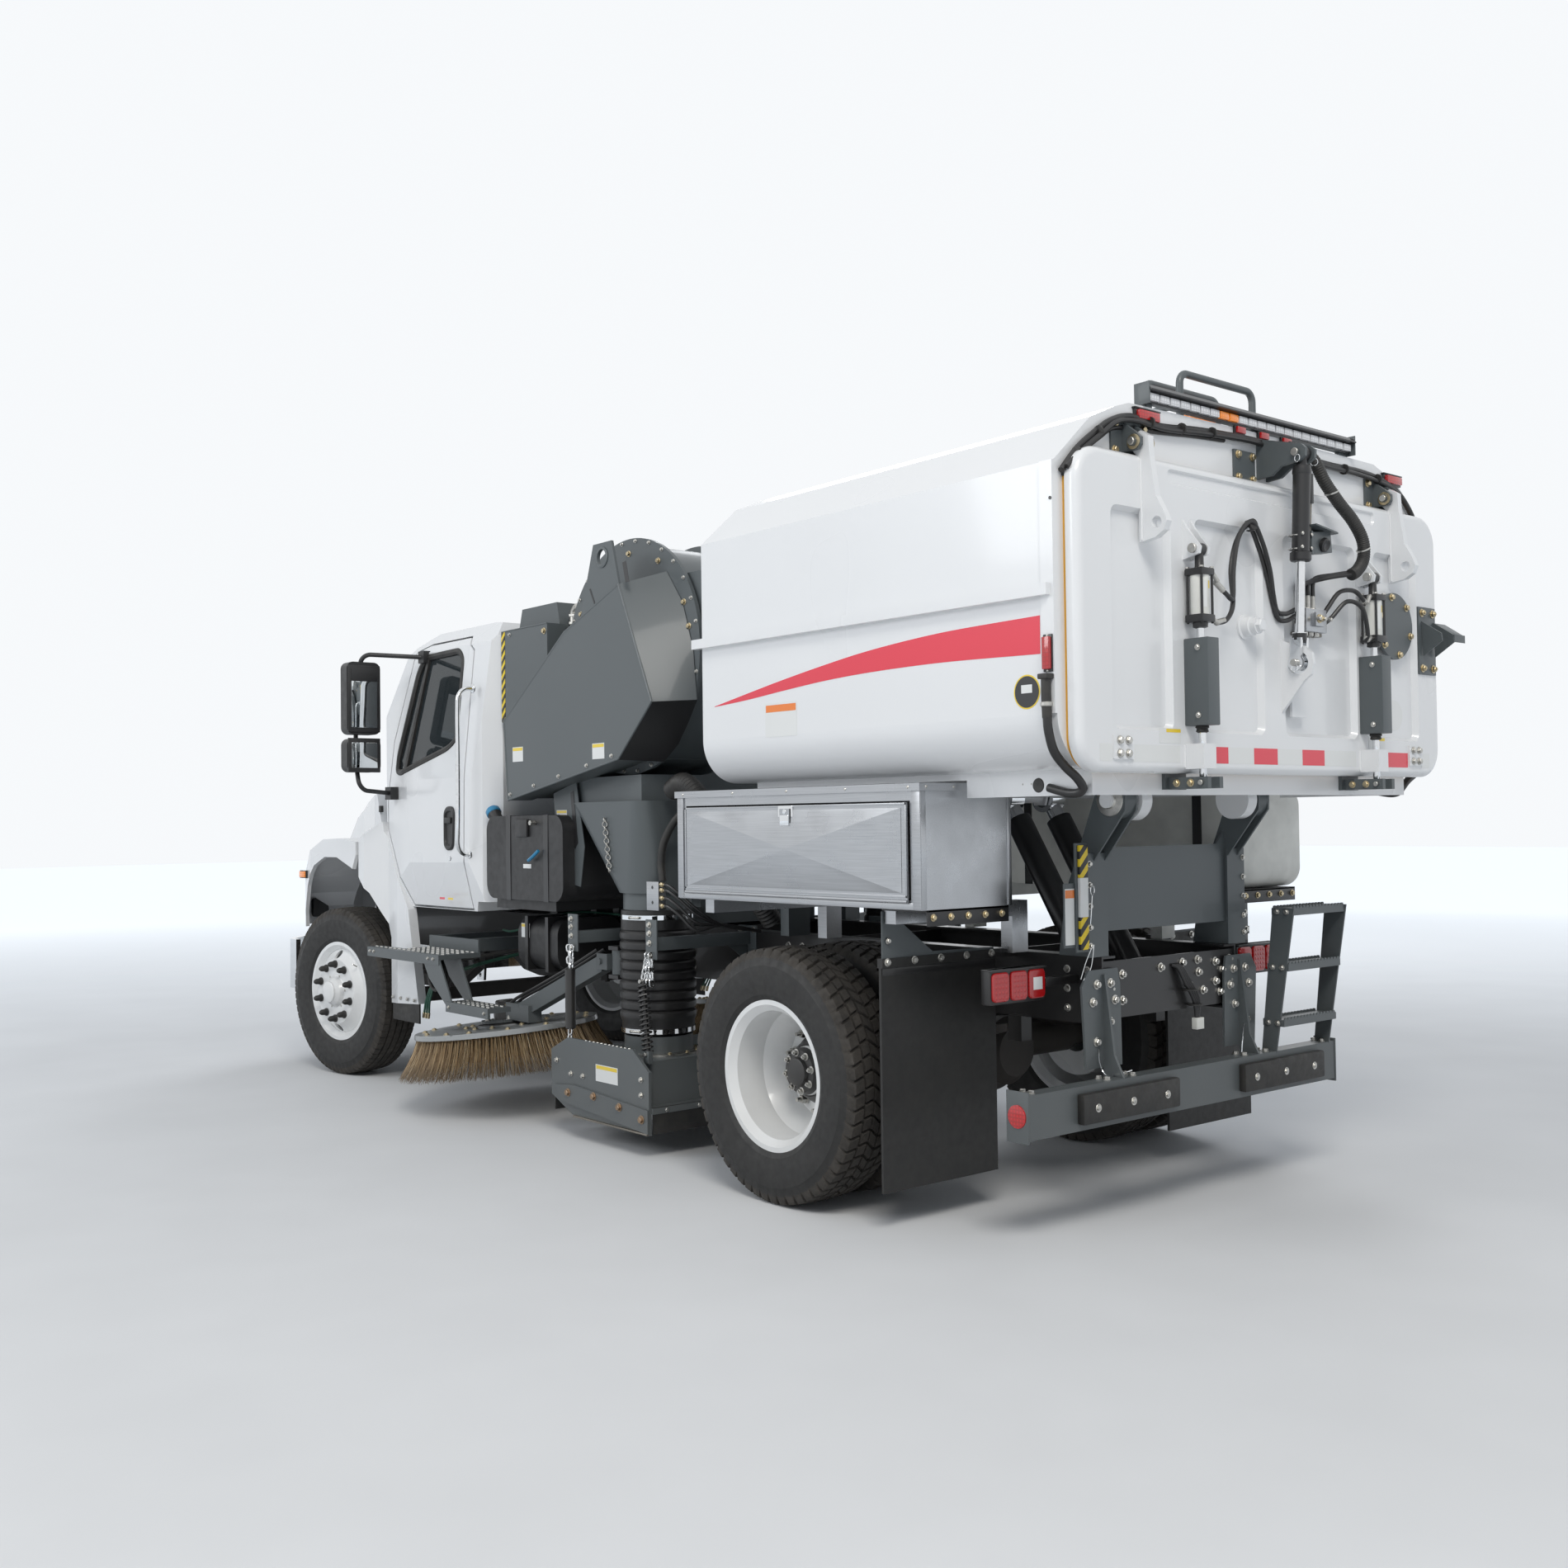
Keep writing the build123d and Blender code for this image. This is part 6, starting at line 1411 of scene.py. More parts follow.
lining = Piece("cab_lining", "chassis")
for material, low, high, bevel in (
        ("interior", (2.735, -0.86, 1.16), (2.75, 0.86, 1.95), 0.006),
        ("interior", (2.78, -0.8, 2.56), (3.56, 0.8, 2.575), 0.006),
        ("interior", (2.752, -0.78, 2.42), (2.768, 0.78, 2.56), 0.005),
        ("rubber", (2.82, -0.88, 1.106), (3.84, 0.88, 1.116), 0.004)):
    lining.box(material, low, high, bevel)
for y in ROOF_LAMPS_Y:
    lining.box("rubber", (2.7495, y - 0.006, 1.18), (2.753, y + 0.006, 1.93), 0.001)
lining.done()


# ---------------------------------------------------------------- toolbox and tanks

LID_Y = 1.2125
LID = [spot(x, LID_Y, z) for x, z in rect(-0.8, 0.51, 1.27, 1.58)]
RIVET = [(0, 0.006), (0.003, 0.004)]

box_trim = Piece("toolbox_trim", "toolbox_lid")
middle = spot(-0.145, LID_Y, 1.425)
for a, b in zip(LID, LID[1:] + LID[:1]):
    rim = [a.lerp(b, t / 8) for t in range(9)]
    box_trim.loft("aluminium", [
        [p.lerp(middle, inward) + LEFT * lift for p in rim]
        for inward, lift in ((0, 0.0005), (0.06, 0.003), (0.985, 0.0115))],
        closed=False, smooth=False)
box_trim.lathe("aluminium", middle + LEFT * 0.0108, LEFT, [(0, 0.016), (0.0008, 0.001)], 16)
for x0, x1, z0, z1 in ((-0.828, 0.538, 1.2535, 1.262), (-0.828, 0.538, 1.59, 1.598),
                       (-0.828, -0.82, 1.254, 1.598), (0.53, 0.538, 1.254, 1.598)):
    box_trim.box("aluminium", (x0, 1.2118, z0), (x1, 1.2145, z1), 0.0008)
box_trim.box("chrome", (-0.19, 1.212, 1.5), (-0.1, 1.2165, 1.5965), 0.004)
box_trim.box("black", (-0.178, 1.216, 1.512), (-0.112, 1.218, 1.585), 0.003)
box_trim.box("chrome", (-0.172, 1.217, 1.518), (-0.118, 1.224, 1.56), 0.006)
box_trim.lathe("chrome", (-0.145, 1.217, 1.573), LEFT, [
    (0, 0.011), (0.006, 0.01), (0.007, 0.003)], 18)
box_trim.done()

edges = Piece("toolbox_edges", "chassis")
for x in (-0.892, 0.56):
    edges.box("aluminium", (x, 1.199, 1.212), (x + 0.042, 1.2065, 1.662), 0.002)
edges.box("aluminium", (-0.85, 1.199, 1.2105), (0.56, 1.2055, 1.236), 0.002)
for x in (-0.84, -0.5, -0.15, 0.2, 0.55):
    edges.lathe("zinc", (x, 1.215, 1.654), LEFT, RIVET, 10)
for k in range(4):
    edges.lathe("zinc", (-0.9, 0.76 + 0.14 * k, 1.654), AFT, RIVET, 10)
for low, high in ((0.73, 0.752), (1.178, 1.203)):
    edges.box("aluminium", (-0.8935, low, 1.212), (-0.8885, high, 1.64), 0.001)
edges.done()


def strap(piece, x, width, outline):
    """Flat band round a tank, from its (y, z) outline."""
    piece.loft("black", [[(end, y, z) for y, z in outline] for end in (x, x + width)],
               smooth=False)


tanks = Piece("tank_fittings", "chassis")
neck_foot, neck = spot(2.545, 1.0, 1.545), Vector((0.72, 0, 0.69)).normalized()
tanks.lathe("plastic", neck_foot, neck, [
    (0, 0.036), (0.05, 0.032), (0.06, 0.037), (0.068, 0.037)], 24)
tanks.lathe("blue", neck_foot + neck * 0.066, neck, [
    (0, 0.038), (0.004, 0.041), (0.028, 0.04), (0.036, 0.034), (0.037, 0.001)], 24)
for x in (1.95, 2.33):
    strap(tanks, x, 0.045, [(0.648, 1.146), (0.64, 1.3), (0.648, 1.582), (1.052, 1.582),
                            (1.054, 1.36), (1.052, 1.14)])
tanks.box("plastic", (2.14, 1.05, 1.47), (2.26, 1.066, 1.56), 0.012)
tanks.rod("zinc", (2.08, 1.05, 1.542), (2.08, 1.082, 1.542), 0.014, 6)
tanks.tube("blue", [(2.02, 1.066, 1.4), (2.06, 1.076, 1.37), (2.11, 1.072, 1.35)], 0.009, 8)
tanks.box("label", (2.12, 1.0495, 1.308), (2.2, 1.052, 1.33), 0.0008)
for _, s in SIDES:
    label(tanks, spot(2.48, s * 0.8801, 0.965), 0.085, 0.075, LEFT * s, "yellow")
    for x in (2.23, 2.44):
        strap(tanks, x, 0.03, rect(s * 0.47, s * 0.89, 1.044, 0.756))
for x in (-0.7, 0.3):
    strap(tanks, x, 0.045, rect(-0.722, -1.206, 1.208, 1.67))
tanks.lathe("black", (-0.1, -0.95, 1.663), UP, [
    (0, 0.085), (0.01, 0.085), (0.014, 0.078), (0.017, 0.06), (0.018, 0.001)], 36)
for k in range(4):
    x = -0.56 + k * 0.22
    tanks.box("tank", (x, -1.2035, 1.29), (x + 0.12, -1.198, 1.59), 0.002)
tanks.done()


# ---------------------------------------------------------------- suction gear

HOSE_X, HOSE_Y = 1.35, 0.8
HOSE_TURNS, HOSE_PITCH = 9, 0.0475
HEAD_SIDE = 1.1003
RAIL_SIDE = 0.43

for side_name, s in SIDES:
    out = LEFT * s
    hose = Piece(f"suction_hose_{side_name}", None)
    profile = [(0.04, 0.166), (0.036, 0.176), (-0.055, 0.178)]
    for k in range(HOSE_TURNS):
        z = -0.06 - HOSE_PITCH * k
        profile += [(z, 0.174), (z - 0.01, 0.1835), (z - 0.024, 0.185), (z - 0.038, 0.1835)]
    z = -0.06 - HOSE_PITCH * HOSE_TURNS
    profile += [(z - 0.006, 0.176), (z - 0.062, 0.175), (z - 0.066, 0.166)]
    centre = spot(HOSE_X, s * HOSE_Y, 1.08)
    hose.lathe("hose", centre, UP, profile, 48, caps=False)
    for z in (0.004, z - 0.048):
        hose.ring("chrome", centre, UP, rect(z - 0.011, z + 0.011, 0.1765, 0.1795), 48)
        place = centre + Vector((-0.06, s * 0.172, z))
        screw = place + Vector((0.03, s * 0.006, 0))
        hose.rod("zinc", place + Vector((-0.03, -s * 0.004, 0)), screw, 0.006, 8)
        hose.hex("zinc", screw, FORE, 0.014, 0.01, False)
    hose.done(("head_hoses",), bend=(
        "chassis", "head", spot(HOSE_X, s * HOSE_Y, 1.03), spot(HOSE_X, s * HOSE_Y, 0.6)))

    hanger = Piece(f"hanger_arms_{side_name}", "chassis")
    for x in (1.11, 1.8):
        hanger.box("grey", (x - 0.025, s * 0.43, 0.94), (x + 0.025, s, 1.0), 0.004)
        hanger.box("grey", (x - 0.045, s * 0.996, 0.9), (x + 0.045, s * 1.0035, 1.085), 0.002)
        hanger.box("grey", (x - 0.07, s * 0.428, 0.88), (x + 0.07, s * 0.438, 1.03), 0.003)
        hanger.plate("grey", [(0.44, 0.945), (0.56, 0.945), (0.44, 0.85)], (x - 0.005, 0, 0),
                     out, 0.01)
        for z in (0.975, 1.02, 1.06):
            hanger.hex("zinc", (x + 0.012, s * 1.0035, z), out, 0.02, 0.01)
        hanger.hex("zinc", (x, s * 1.0035, 0.918), out, 0.022, 0.014)
        hanger.lathe("black", (x, s * 0.7, 1.0002), UP, [(0, 0.02), (0.001, 0.018)], 16)
        for dx, z in rect(-0.05, 0.05, 0.9, 1.01):
            hanger.hex("zinc", (x + dx, s * 0.438, z), out, 0.02, 0.01)
    hanger.done(("head_hangers",))


def chain(piece, material, start, end, count, wire=0.0042, turn=0.0):
    """Run of welded links between two points."""
    axis, side, up = frame_of(end - start)
    pitch = (end - start).length / count
    end_radius = 0.0115
    straight = pitch * 0.5 + wire * 0.8 - end_radius
    for k in range(count):
        centre = start + axis * (pitch * (k + 0.5))
        a = turn + (math.pi / 2) * (k % 2)
        wide = side * math.cos(a) + up * math.sin(a)
        normal = axis.cross(wide)
        path = [centre + axis * (math.copysign(straight, c) + c) + wide * v
                for c, v in circle(end_radius, 12)]
        rings = []
        for t, p in enumerate(path):
            ahead = (path[(t + 1) % 12] - path[t - 1]).normalized()
            rings.append(hoop(p, ahead.cross(normal), normal, wire, 6))
        piece.loft(material, rings, joined=True)


COIL_STEPS, COIL_COUNT = 9, 14 * 9
for side_name, s in SIDES:
    links = Piece(f"head_chains_{side_name}", None)
    for dx in (-0.014, 0.014):
        chain(links, "chrome", spot(1.8 + dx, s * 1.018, 0.93),
              spot(1.792 + dx * 0.6, s * 1.024, 0.812), 4)
        chain(links, "chrome", spot(1.11 + dx, s * 1.016, 0.93),
              spot(1.098 + dx, s * 1.018, 0.78), 5)
    links.lathe("black", (1.79, s * 1.026, 0.822), -UP, [
        (0, 0.01), (0.01, 0.026), (0.3, 0.026), (0.306, 0.018)], 20)
    chain(links, "chrome", spot(1.79, s * 1.026, 0.522), spot(1.786, s * 1.04, 0.43), 3)
    top, low = spot(1.135, s * 1.034, 0.8), spot(1.075, s * 1.05, 0.47)
    links.rod("black", top, low, 0.013, 12)
    _, side, up = frame_of(low - top)
    links.tube("black", [
        hoop(top.lerp(low, 0.04 + 0.92 * k / COIL_COUNT), side, up, 0.024, COIL_STEPS)[
            k % COIL_STEPS] for k in range(COIL_COUNT + 1)], 0.0052, 7, 1)
    for p in (top, low):
        links.rod("zinc", p - LEFT * (s * 0.022), p + LEFT * (s * 0.022), 0.01, 12)
    chain(links, "chrome", spot(1.12, s * 1.022, 0.905), top + UP * 0.01, 4, turn=0.6)
    links.done(("head_hangers",), bend=(
        "chassis", "head", spot(1.45, s * 1.02, 0.9), spot(1.45, s * 1.02, 0.5)))

head = Piece("head_details", "head")
for _, s in SIDES:
    out = LEFT * s
    head.plate("grey", [(1.812, 0.252), (1.757, 0.184), (1.7, 0.172), (1.0, 0.12), (1.0, 0.228),
                        (1.64, 0.268)], (0, s * HEAD_SIDE, 0), FORE, -s * 0.01, 0.002)
    head.box("skid", (1.004, s * 1.086, 0.113), (1.64, s * 1.112, 0.122), 0.002)
    for x, z in ((1.681, 0.226), (1.449, 0.236), (1.229, 0.214), (1.045, 0.182)):
        head.hex("copper", (x, s * 1.1105, z), out, 0.026, 0.012)
    for x, z in ((1.668, 0.318), (1.56, 0.318), (1.8, 0.37), (1.06, 0.36), (1.06, 0.29)):
        head.hex("zinc", (x, s * HEAD_SIDE, z), out, 0.018, 0.009)
    label(head, spot(1.35, s * HEAD_SIDE, 0.35), 0.19, 0.08, out, "yellow")
    head.box("grey", (1.77, s * 1.03, 0.415), (1.808, s * 1.046, 0.462), 0.002)
    head.box("grey", (1.055, s * 1.038, 0.428), (1.095, s * 1.062, 0.486), 0.002)
    for k in range(12):
        head.lathe("zinc", (1.165 + 0.034 * k, s * 1.093, 0.49), UP, [(0, 0.007), (0.003, 0.005)],
                   8)
    head.ring("zinc", (HOSE_X, s * HOSE_Y, 0.4305), UP, [
        (0, 0.166), (0, 0.2), (0.008, 0.2), (0.01, 0.194), (0.01, 0.166)], 44)
    for c, v in circle(0.186, 12, 0.2):
        head.hex("brass", (HOSE_X + c, s * HOSE_Y + v, 0.4405), UP, 0.014, 0.006)
head.box("rubber", (1.0015, -1.08, 0.118), (0.9935, 1.08, 0.238), 0.002)
head.box("rubber", (1.85, -1.08, 0.118), (1.858, 1.08, 0.205), 0.002)
for k in range(12):
    head.hex("zinc", (0.9935, -1.01 + k * 0.1836, 0.222), AFT, 0.018, 0.008)
head.box("grey", (0.99, -1.086, 0.208), (1.062, 1.086, 0.236), 0.002)
head.done()


def grating(piece, s, rows, cols, start, pitch, shift, z, reach, shown=lambda row, x: True):
    """Slots in a step, each with the raised lip beside it, in rows set over by a shift."""
    for row in range(rows):
        y = start[1] + row * pitch[1]
        for col in range(cols):
            x = start[0] + col * pitch[0] + shift * (row % 2)
            if not shown(row, x):
                continue
            piece.plate("black", rect(-reach, reach, -0.005, 0.005), (x, s * y, z + 0.0001),
                        FORE, 0.0006, 0.0002, LEFT)
            piece.loft("zinc", [[(end, s * (y + dy), z + dz) for dy, dz in (
                (0.007, 0), (0.012, 0), (0.0095, 0.005))] for end in (x - reach, x + reach)],
                       smooth=False)


under = Piece("chassis_fittings", "chassis")
under.box("aluminium", (1.048, 0.96, 1.128), (1.146, 1.002, 1.262), 0.003)
for z in (1.15, 1.186, 1.222, 1.248):
    under.hex("brass", (1.048, 0.985, z), AFT, 0.02, 0.016, False)
    under.rod("brass", (1.034, 0.985, z), (1.018, 0.985, z), 0.007, 8)
    under.tube("hose", [(1.02, 0.985, z), (0.99, 0.982, z - 0.004), (0.94, 0.96, z - 0.04),
                        (0.89, 0.9, z - 0.11), (0.86, 0.78, 1.06), (0.85, 0.56, 1.02)], 0.0075, 8)
for z in (1.165, 1.235):
    under.lathe("black", (1.097, 1.002, z), LEFT, [(0, 0.008), (0.001, 0.007)], 12)
under.tube("rubber", [(1.115, 0.93, 1.262), (1.125, 0.93, 1.35), (1.105, 0.925, 1.45),
                      (1.03, 0.9, 1.56), (0.93, 0.85, 1.62)], 0.019, 12)
under.tube("rubber", [
    (1.12, 0.86, 1.69), (0.98, 0.9, 1.715), (0.86, 0.915, 1.66), (0.8, 0.9, 1.56),
    (0.79, 0.86, 1.44), (0.81, 0.74, 1.3), (0.83, 0.6, 1.18), (0.83, 0.5, 1.06)],
    0.046, 20, 8, ribs=0.006, pitch=0.02)
for low, high in (((0.64, 0.64, 1.655), (0.93, 0.93, 1.676)),
                  ((0.64, 0.43, 1.006), (0.7, 0.56, 1.66)),
                  ((0.64, 0.43, 1.61), (0.7, 0.9, 1.656))):
    under.box("grey", low, high, 0.003)
label(under, spot(1.93, 0.9805, 1.575), 0.1, 0.06, LEFT, "yellow")
under.plate("grey", [(1.79, 1.745), (2.01, 1.69), (1.955, 1.25), (1.76, 1.22), (1.72, 1.42)],
            (0, 0.975, 0), FORE, -0.006, 0.001)
under.plate("black", [(1.815, 1.7), (1.842, 1.69), (1.812, 1.44), (1.845, 1.42), (1.8, 1.41),
                      (1.775, 1.44)], (0, 0.982, 0), FORE, -0.001, 0.0002)
chain(under, "zinc", spot(1.48, 1.016, 1.56), spot(1.462, 1.0, 1.3), 13, 0.003)
for _, s in SIDES:
    out = LEFT * s
    for x in (-1.0, -0.9, 0.2, 0.7, 0.8, 1.56, 1.64, 2.35, 2.43, 3.12, 3.18, 4.9, 4.98):
        for z in (0.8, 0.875, 0.95):
            under.hex("zinc", (x, s * RAIL_SIDE, z), out, 0.02, 0.01)
    coil = [(3.18 + 0.072 * c, s * (0.99 + 0.0016 * k), 0.69 + 0.085 * v)
            for k, (c, v) in enumerate(circle(1, 12) * 4 + [(1, 0)])]
    under.tube("rubber", coil, 0.011, 9, 1)
    under.tube("rubber", [coil[0], (3.2, s * 0.9, 0.76), (3.05, s * 0.7, 0.8),
                          (2.9, s * 0.44, 0.85)], 0.011, 9)
    for k in range(3):
        end = (3.385 + 0.03 * k, s, 0.452)
        under.tube("green", [
            (3.13 + 0.02 * k, s * 0.52, 0.78), (3.2 + 0.02 * k, s * 0.8, 0.72),
            (3.285 + 0.015 * k, s * 0.985, 0.64), (3.345 + 0.022 * k, s * 1.01, 0.54), end],
            0.0062, 8)
        under.rod("brass", end, (3.396 + 0.032 * k, s * 0.998, 0.42), 0.0085, 6)
    under.tube("green", [(x, s * y, z) for x, y, z in (
        (3.05, 0.7, 0.93), (2.78, 0.76, 0.945), (2.45, 0.64, 1.046), (2.1, 0.52, 1.046),
        (1.9, 0.44, 1.02))], 0.0065, 8)
    grating(under, s, 5, 15, (2.865, 0.985), (0.059, 0.045), 0.028, 0.83, 0.018,
            lambda row, x: x < 3.7 and (row > 3 or x < 3.4))
    grating(under, s, 3, 8, (2.325, 1.105), (0.053, 0.04), 0.026, 0.588, 0.016)
    for x, z in ((2.9, 0.806), (2.96, 0.806), (3.65, 0.806), (3.7, 0.806), (2.72, 0.56),
                 (2.33, 0.56)):
        under.hex("zinc", (x, s * 1.215, z), out, 0.013, 0.006)
under.done()


# ---------------------------------------------------------------- rear end

LAMP_OUTLINE = rounded(rect(-0.043, 0.043, -0.054, 0.054), 0.018, 5)
CROSSBAR_X = -0.64


def teeth(piece, start, end, height, count, thickness):
    """Toothed strip standing on a step's edge."""
    run = (end - start) / count
    for k in range(count):
        a = start + run * k
        tooth = [a, a + run * 0.25 + UP * height, a + run * 0.75 + UP * height, a + run]
        piece.loft("grey", [tooth, [p + AFT * thickness for p in tooth]], smooth=False)


rear = Piece("rear_end_details", "chassis")
for low, high in ((0.149, 0.717), (-0.85, -0.277)):
    rear.box("rubber", (-1.214, low, 0.424), (-1.1795, high, 0.536), 0.01)
    for k in range(3):
        y = low + 0.08 + k * (high - low - 0.16) / 2
        rear.lathe("zinc", (-1.2142, y, 0.48), AFT, [(0, 0.016), (0.0012, 0.015), (0.0005, 0.01)],
                   18)
        rear.hex("zinc", (-1.2145, y, 0.48), AFT, 0.016, 0.004, False)
for _, s in SIDES:
    out = LEFT * s
    rear.lathe("red_lens", (-1.132, s * 0.983, 0.482), out, [
        (0, 0.042), (0.004, 0.041), (0.005, 0.038)], 32)
    for y, z in ((0.395, 0.905), (0.475, 0.905), (0.37, 0.84), (0.5, 0.84), (0.4, 0.76),
                 (0.48, 0.69)):
        rear.hex("zinc", (-1.0802, s * y, z), AFT, 0.024, 0.012, stud=0.004)
    for x in (-1.15, -1.11):
        for y in (0.36, 0.51, 0.93):
            rear.hex("zinc", (x, s * y, 0.56), UP, 0.02, 0.009)
    for material, (x0, y0, z0), (x1, y1, z1), bevel in (
            ("grey", (-1.184, 0.976, 0.388), (-1.08, 0.983, 0.572), 0.003),
            ("black", (-0.957, 0.432, 0.9), (-0.915, 0.62, 0.93), 0.003),
            ("black", (-0.948, 0.617, 0.85), (-0.902, 0.917, 0.98), 0.006),
            ("black", (-0.958, 0.617, 0.972), (-0.902, 0.917, 0.98), 0.002),
            ("black", (-0.885, 0.74, 1.15), (-0.876, 1.165, 1.2095), 0.002),
            ("black", (-0.885, 0.74, 1.2), (CROSSBAR_X, 1.165, 1.2095), 0.002),
            ("black", (-0.634, 0.555, 0.955), (-0.6318, 1.16, 0.982), 0.0008)):
        rear.box(material, (x0, s * y0, z0), (x1, s * y1, z1), bevel)
    for k in range(3):
        y = s * (0.668 + 0.099 * k)
        rear.loft("red_lens", [
            [(-0.946 - lift, y + p.x * size, 0.915 + p.y * size) for p in LAMP_OUTLINE]
            for lift, size in ((0, 1), (0.01, 1), (0.0135, 0.93))], smooth=False)
        if k == 0:
            rear.box("label", (-0.9605, y - 0.025, 0.893), (-0.959, y + 0.025, 0.94), 0.0005)
            continue
        for row in range(5):
            for col in range(4):
                rear.lathe("red_lens", (-0.9595, y - 0.027 + col * 0.018, 0.876 + row * 0.0195),
                           AFT, [(0, 0.0068), (0.001, 0.0055), (0.0014, 0.003)], 10)
    rear.plate("grey", [(1.162, 0.984), (1.162, 1.196), (1.128, 1.2), (0.9, 1.032),
                        (0.56, 1.028), (0.56, 0.984)], (-0.636, 0, 0), out, s * 0.005, 0.001)
    for k in range(5):
        rear.hex("zinc", (CROSSBAR_X, s * (0.58 + 0.14 * k), 1.006), AFT, 0.02, 0.009)
        y = s * (0.78 + 0.09 * k)
        rear.hex("brass", (-0.885, y, 1.182), AFT, 0.018, 0.008)
        rear.hex("zinc", (-0.612, y, 1.003), FORE, 0.02, 0.009)
    rear.hex("zinc", (CROSSBAR_X, s * 1.135, 1.172), AFT, 0.02, 0.009)
    rear.hex("zinc", (CROSSBAR_X, s * 1.135, 1.085), AFT, 0.016, 0.007)
    rear.lathe("zinc", (-1.15, s * 0.466, 1.6), out, [
        (0, 0.062), (0.003, 0.06), (0.006, 0.034), (0.012, 0.03), (0.013, 0.001)], 32)
    for z in (1.05, 1.12, 1.2, 1.28, 1.36):
        rear.hex("zinc", (-1.0682, s * 0.492, z), AFT, 0.016, 0.008)
for y, z in ((-0.08, 0.95), (-0.18, 0.955), (-0.185, 0.905), (-0.3, 0.94), (-0.345, 0.905),
             (-0.395, 0.945), (-0.39, 0.86), (-0.3, 0.86), (-0.33, 0.815), (-0.215, 0.83),
             (-0.12, 0.86), (0.3, 0.93), (0.37, 0.88), (0.3, 0.83), (0.06, 0.94)):
    rear.hex("zinc", (-1.0602, y, z), AFT, 0.024, 0.013, stud=0.004)
for k in range(4):
    rear.tube("hose", [(x, y - step * k, z) for x, y, step, z in (
        (-1.062, -0.01, 0.012, 0.945), (-1.078, -0.03, 0.01, 0.93), (-1.088, -0.062, 0.012, 0.87),
        (-1.094, -0.1, 0.012, 0.81), (-1.092, -0.12, 0.007, 0.76), (-1.09, -0.126, 0.004, 0.722))],
              0.0066, 8)
for y, z in ((-0.118, 0.778), (-0.0808, 0.84)):
    rear.lathe("rubber", (-1.092, y, z), UP, [(0, 0.03), (0.006, 0.03)], 14)
for material, low, high, bevel in (
        ("tank", (-1.104, -0.16, 0.682), (-1.078, -0.112, 0.728), 0.003),
        ("hazard", (-1.084, 0.517, 1.04), (-1.071, 0.563, 1.162), 0.002),
        ("label", (-1.084, 0.517, 1.162), (-1.071, 0.563, 1.31), 0.002),
        ("hazard", (-1.084, 0.517, 1.31), (-1.071, 0.563, 1.432), 0.002),
        ("grey", (-1.0712, 0.5055, 1.03), (-1.062, 0.575, 1.44), 0.002),
        ("label", (-1.066, 0.578, 1.06), (-1.064, 0.63, 1.27), 0.0005),
        ("orange", (-1.0668, 0.579, 1.235), (-1.0655, 0.629, 1.265), 0.0003),
        ("grey", (-1.0642, 0.57, 1.05), (-1.06, 0.636, 1.29), 0.001),
        ("grey", (-1.062, 0.5, 1.05), (-1.056, 0.636, 1.11), 0.001)):
    rear.box(material, low, high, bevel)
rear.ring("chrome", (-1.0885, 0.5, 1.262), Vector((1, 0.3, 0)), [
    (-0.002, 0.018), (0, 0.02), (0.002, 0.018), (0, 0.016)], 24)
for radius, line in (
        (0.0025, [(-1.0885, 0.502, 1.242), (-1.088, 0.508, 1.18), (-1.086, 0.512, 1.135)]),
        (0.0022, [(-1.075, 0.49, 1.05), (-1.075, 0.53, 0.99), (-1.075, 0.56, 0.93)]),
        (0.0022, [(-1.075, 0.48, 1.055), (-1.075, 0.5, 0.97), (-1.075, 0.545, 0.925)]),
        (0.0026, [(-1.082, 0.47, 0.66), (-1.11, 0.5, 0.615), (-1.14, 0.5, 0.575),
                  (-1.12, 0.38, 0.566), (-1.1, 0.3, 0.566)]),
        (0.0022, [(-1.082, -0.47, 0.7), (-1.1, -0.44, 0.69), (-1.13, -0.38, 0.62),
                  (-1.132, -0.37, 0.565)])):
    rear.tube("chrome", line, radius, 6)
for x, z in ((-1.268, 1.122), (-1.243, 0.892), (-1.218, 0.662)):
    for dx in (0.006, 0.098):
        teeth(rear, spot(x + dx, -0.93, z + 0.028), spot(x + dx, -0.55, z + 0.028), 0.01, 16,
              0.005)
    for y, way in ((-0.94, -1), (-0.542, 1)):
        for dx in (0.028, 0.072):
            rear.hex("zinc", (x + dx, y, z + 0.014), LEFT * way, 0.016, 0.008)
rear.done(("tail_lamps",))


# ---------------------------------------------------------------- stage

CAMERA_PLACE = Vector((at(-4.8914), 5.1068, 1.5424))
CAMERA_YAW = math.radians(-39.31)
CAMERA_PITCH = math.radians(1.31)
CAMERA_ROLL = math.radians(-0.73)
FRAME_PIXELS = 1900
FOCAL_PIXELS = 1884.67


def camera_directions():
    forward = Vector((math.cos(CAMERA_YAW) * math.cos(CAMERA_PITCH),
                      math.sin(CAMERA_YAW) * math.cos(CAMERA_PITCH), math.sin(CAMERA_PITCH)))
    level_right = forward.cross(Vector((0, 0, 1))).normalized()
    level_up = level_right.cross(forward)
    right = level_right * math.cos(CAMERA_ROLL) + level_up * math.sin(CAMERA_ROLL)
    up = level_up * math.cos(CAMERA_ROLL) - level_right * math.sin(CAMERA_ROLL)
    return forward, right, up


def add_camera():
    forward, right, up = camera_directions()
    data = bpy.data.cameras.new("photo_camera")
    data.sensor_width = 36.0
    data.lens = 36.0 * FOCAL_PIXELS / FRAME_PIXELS
    data.clip_end = 200.0
    camera = bpy.data.objects.new("photo_camera", data)
    bpy.context.scene.collection.objects.link(camera)
    turn = Matrix((right, up, -forward)).transposed().to_4x4()
    camera.matrix_world = Matrix.Translation(CAMERA_PLACE) @ turn
    bpy.context.scene.camera = camera


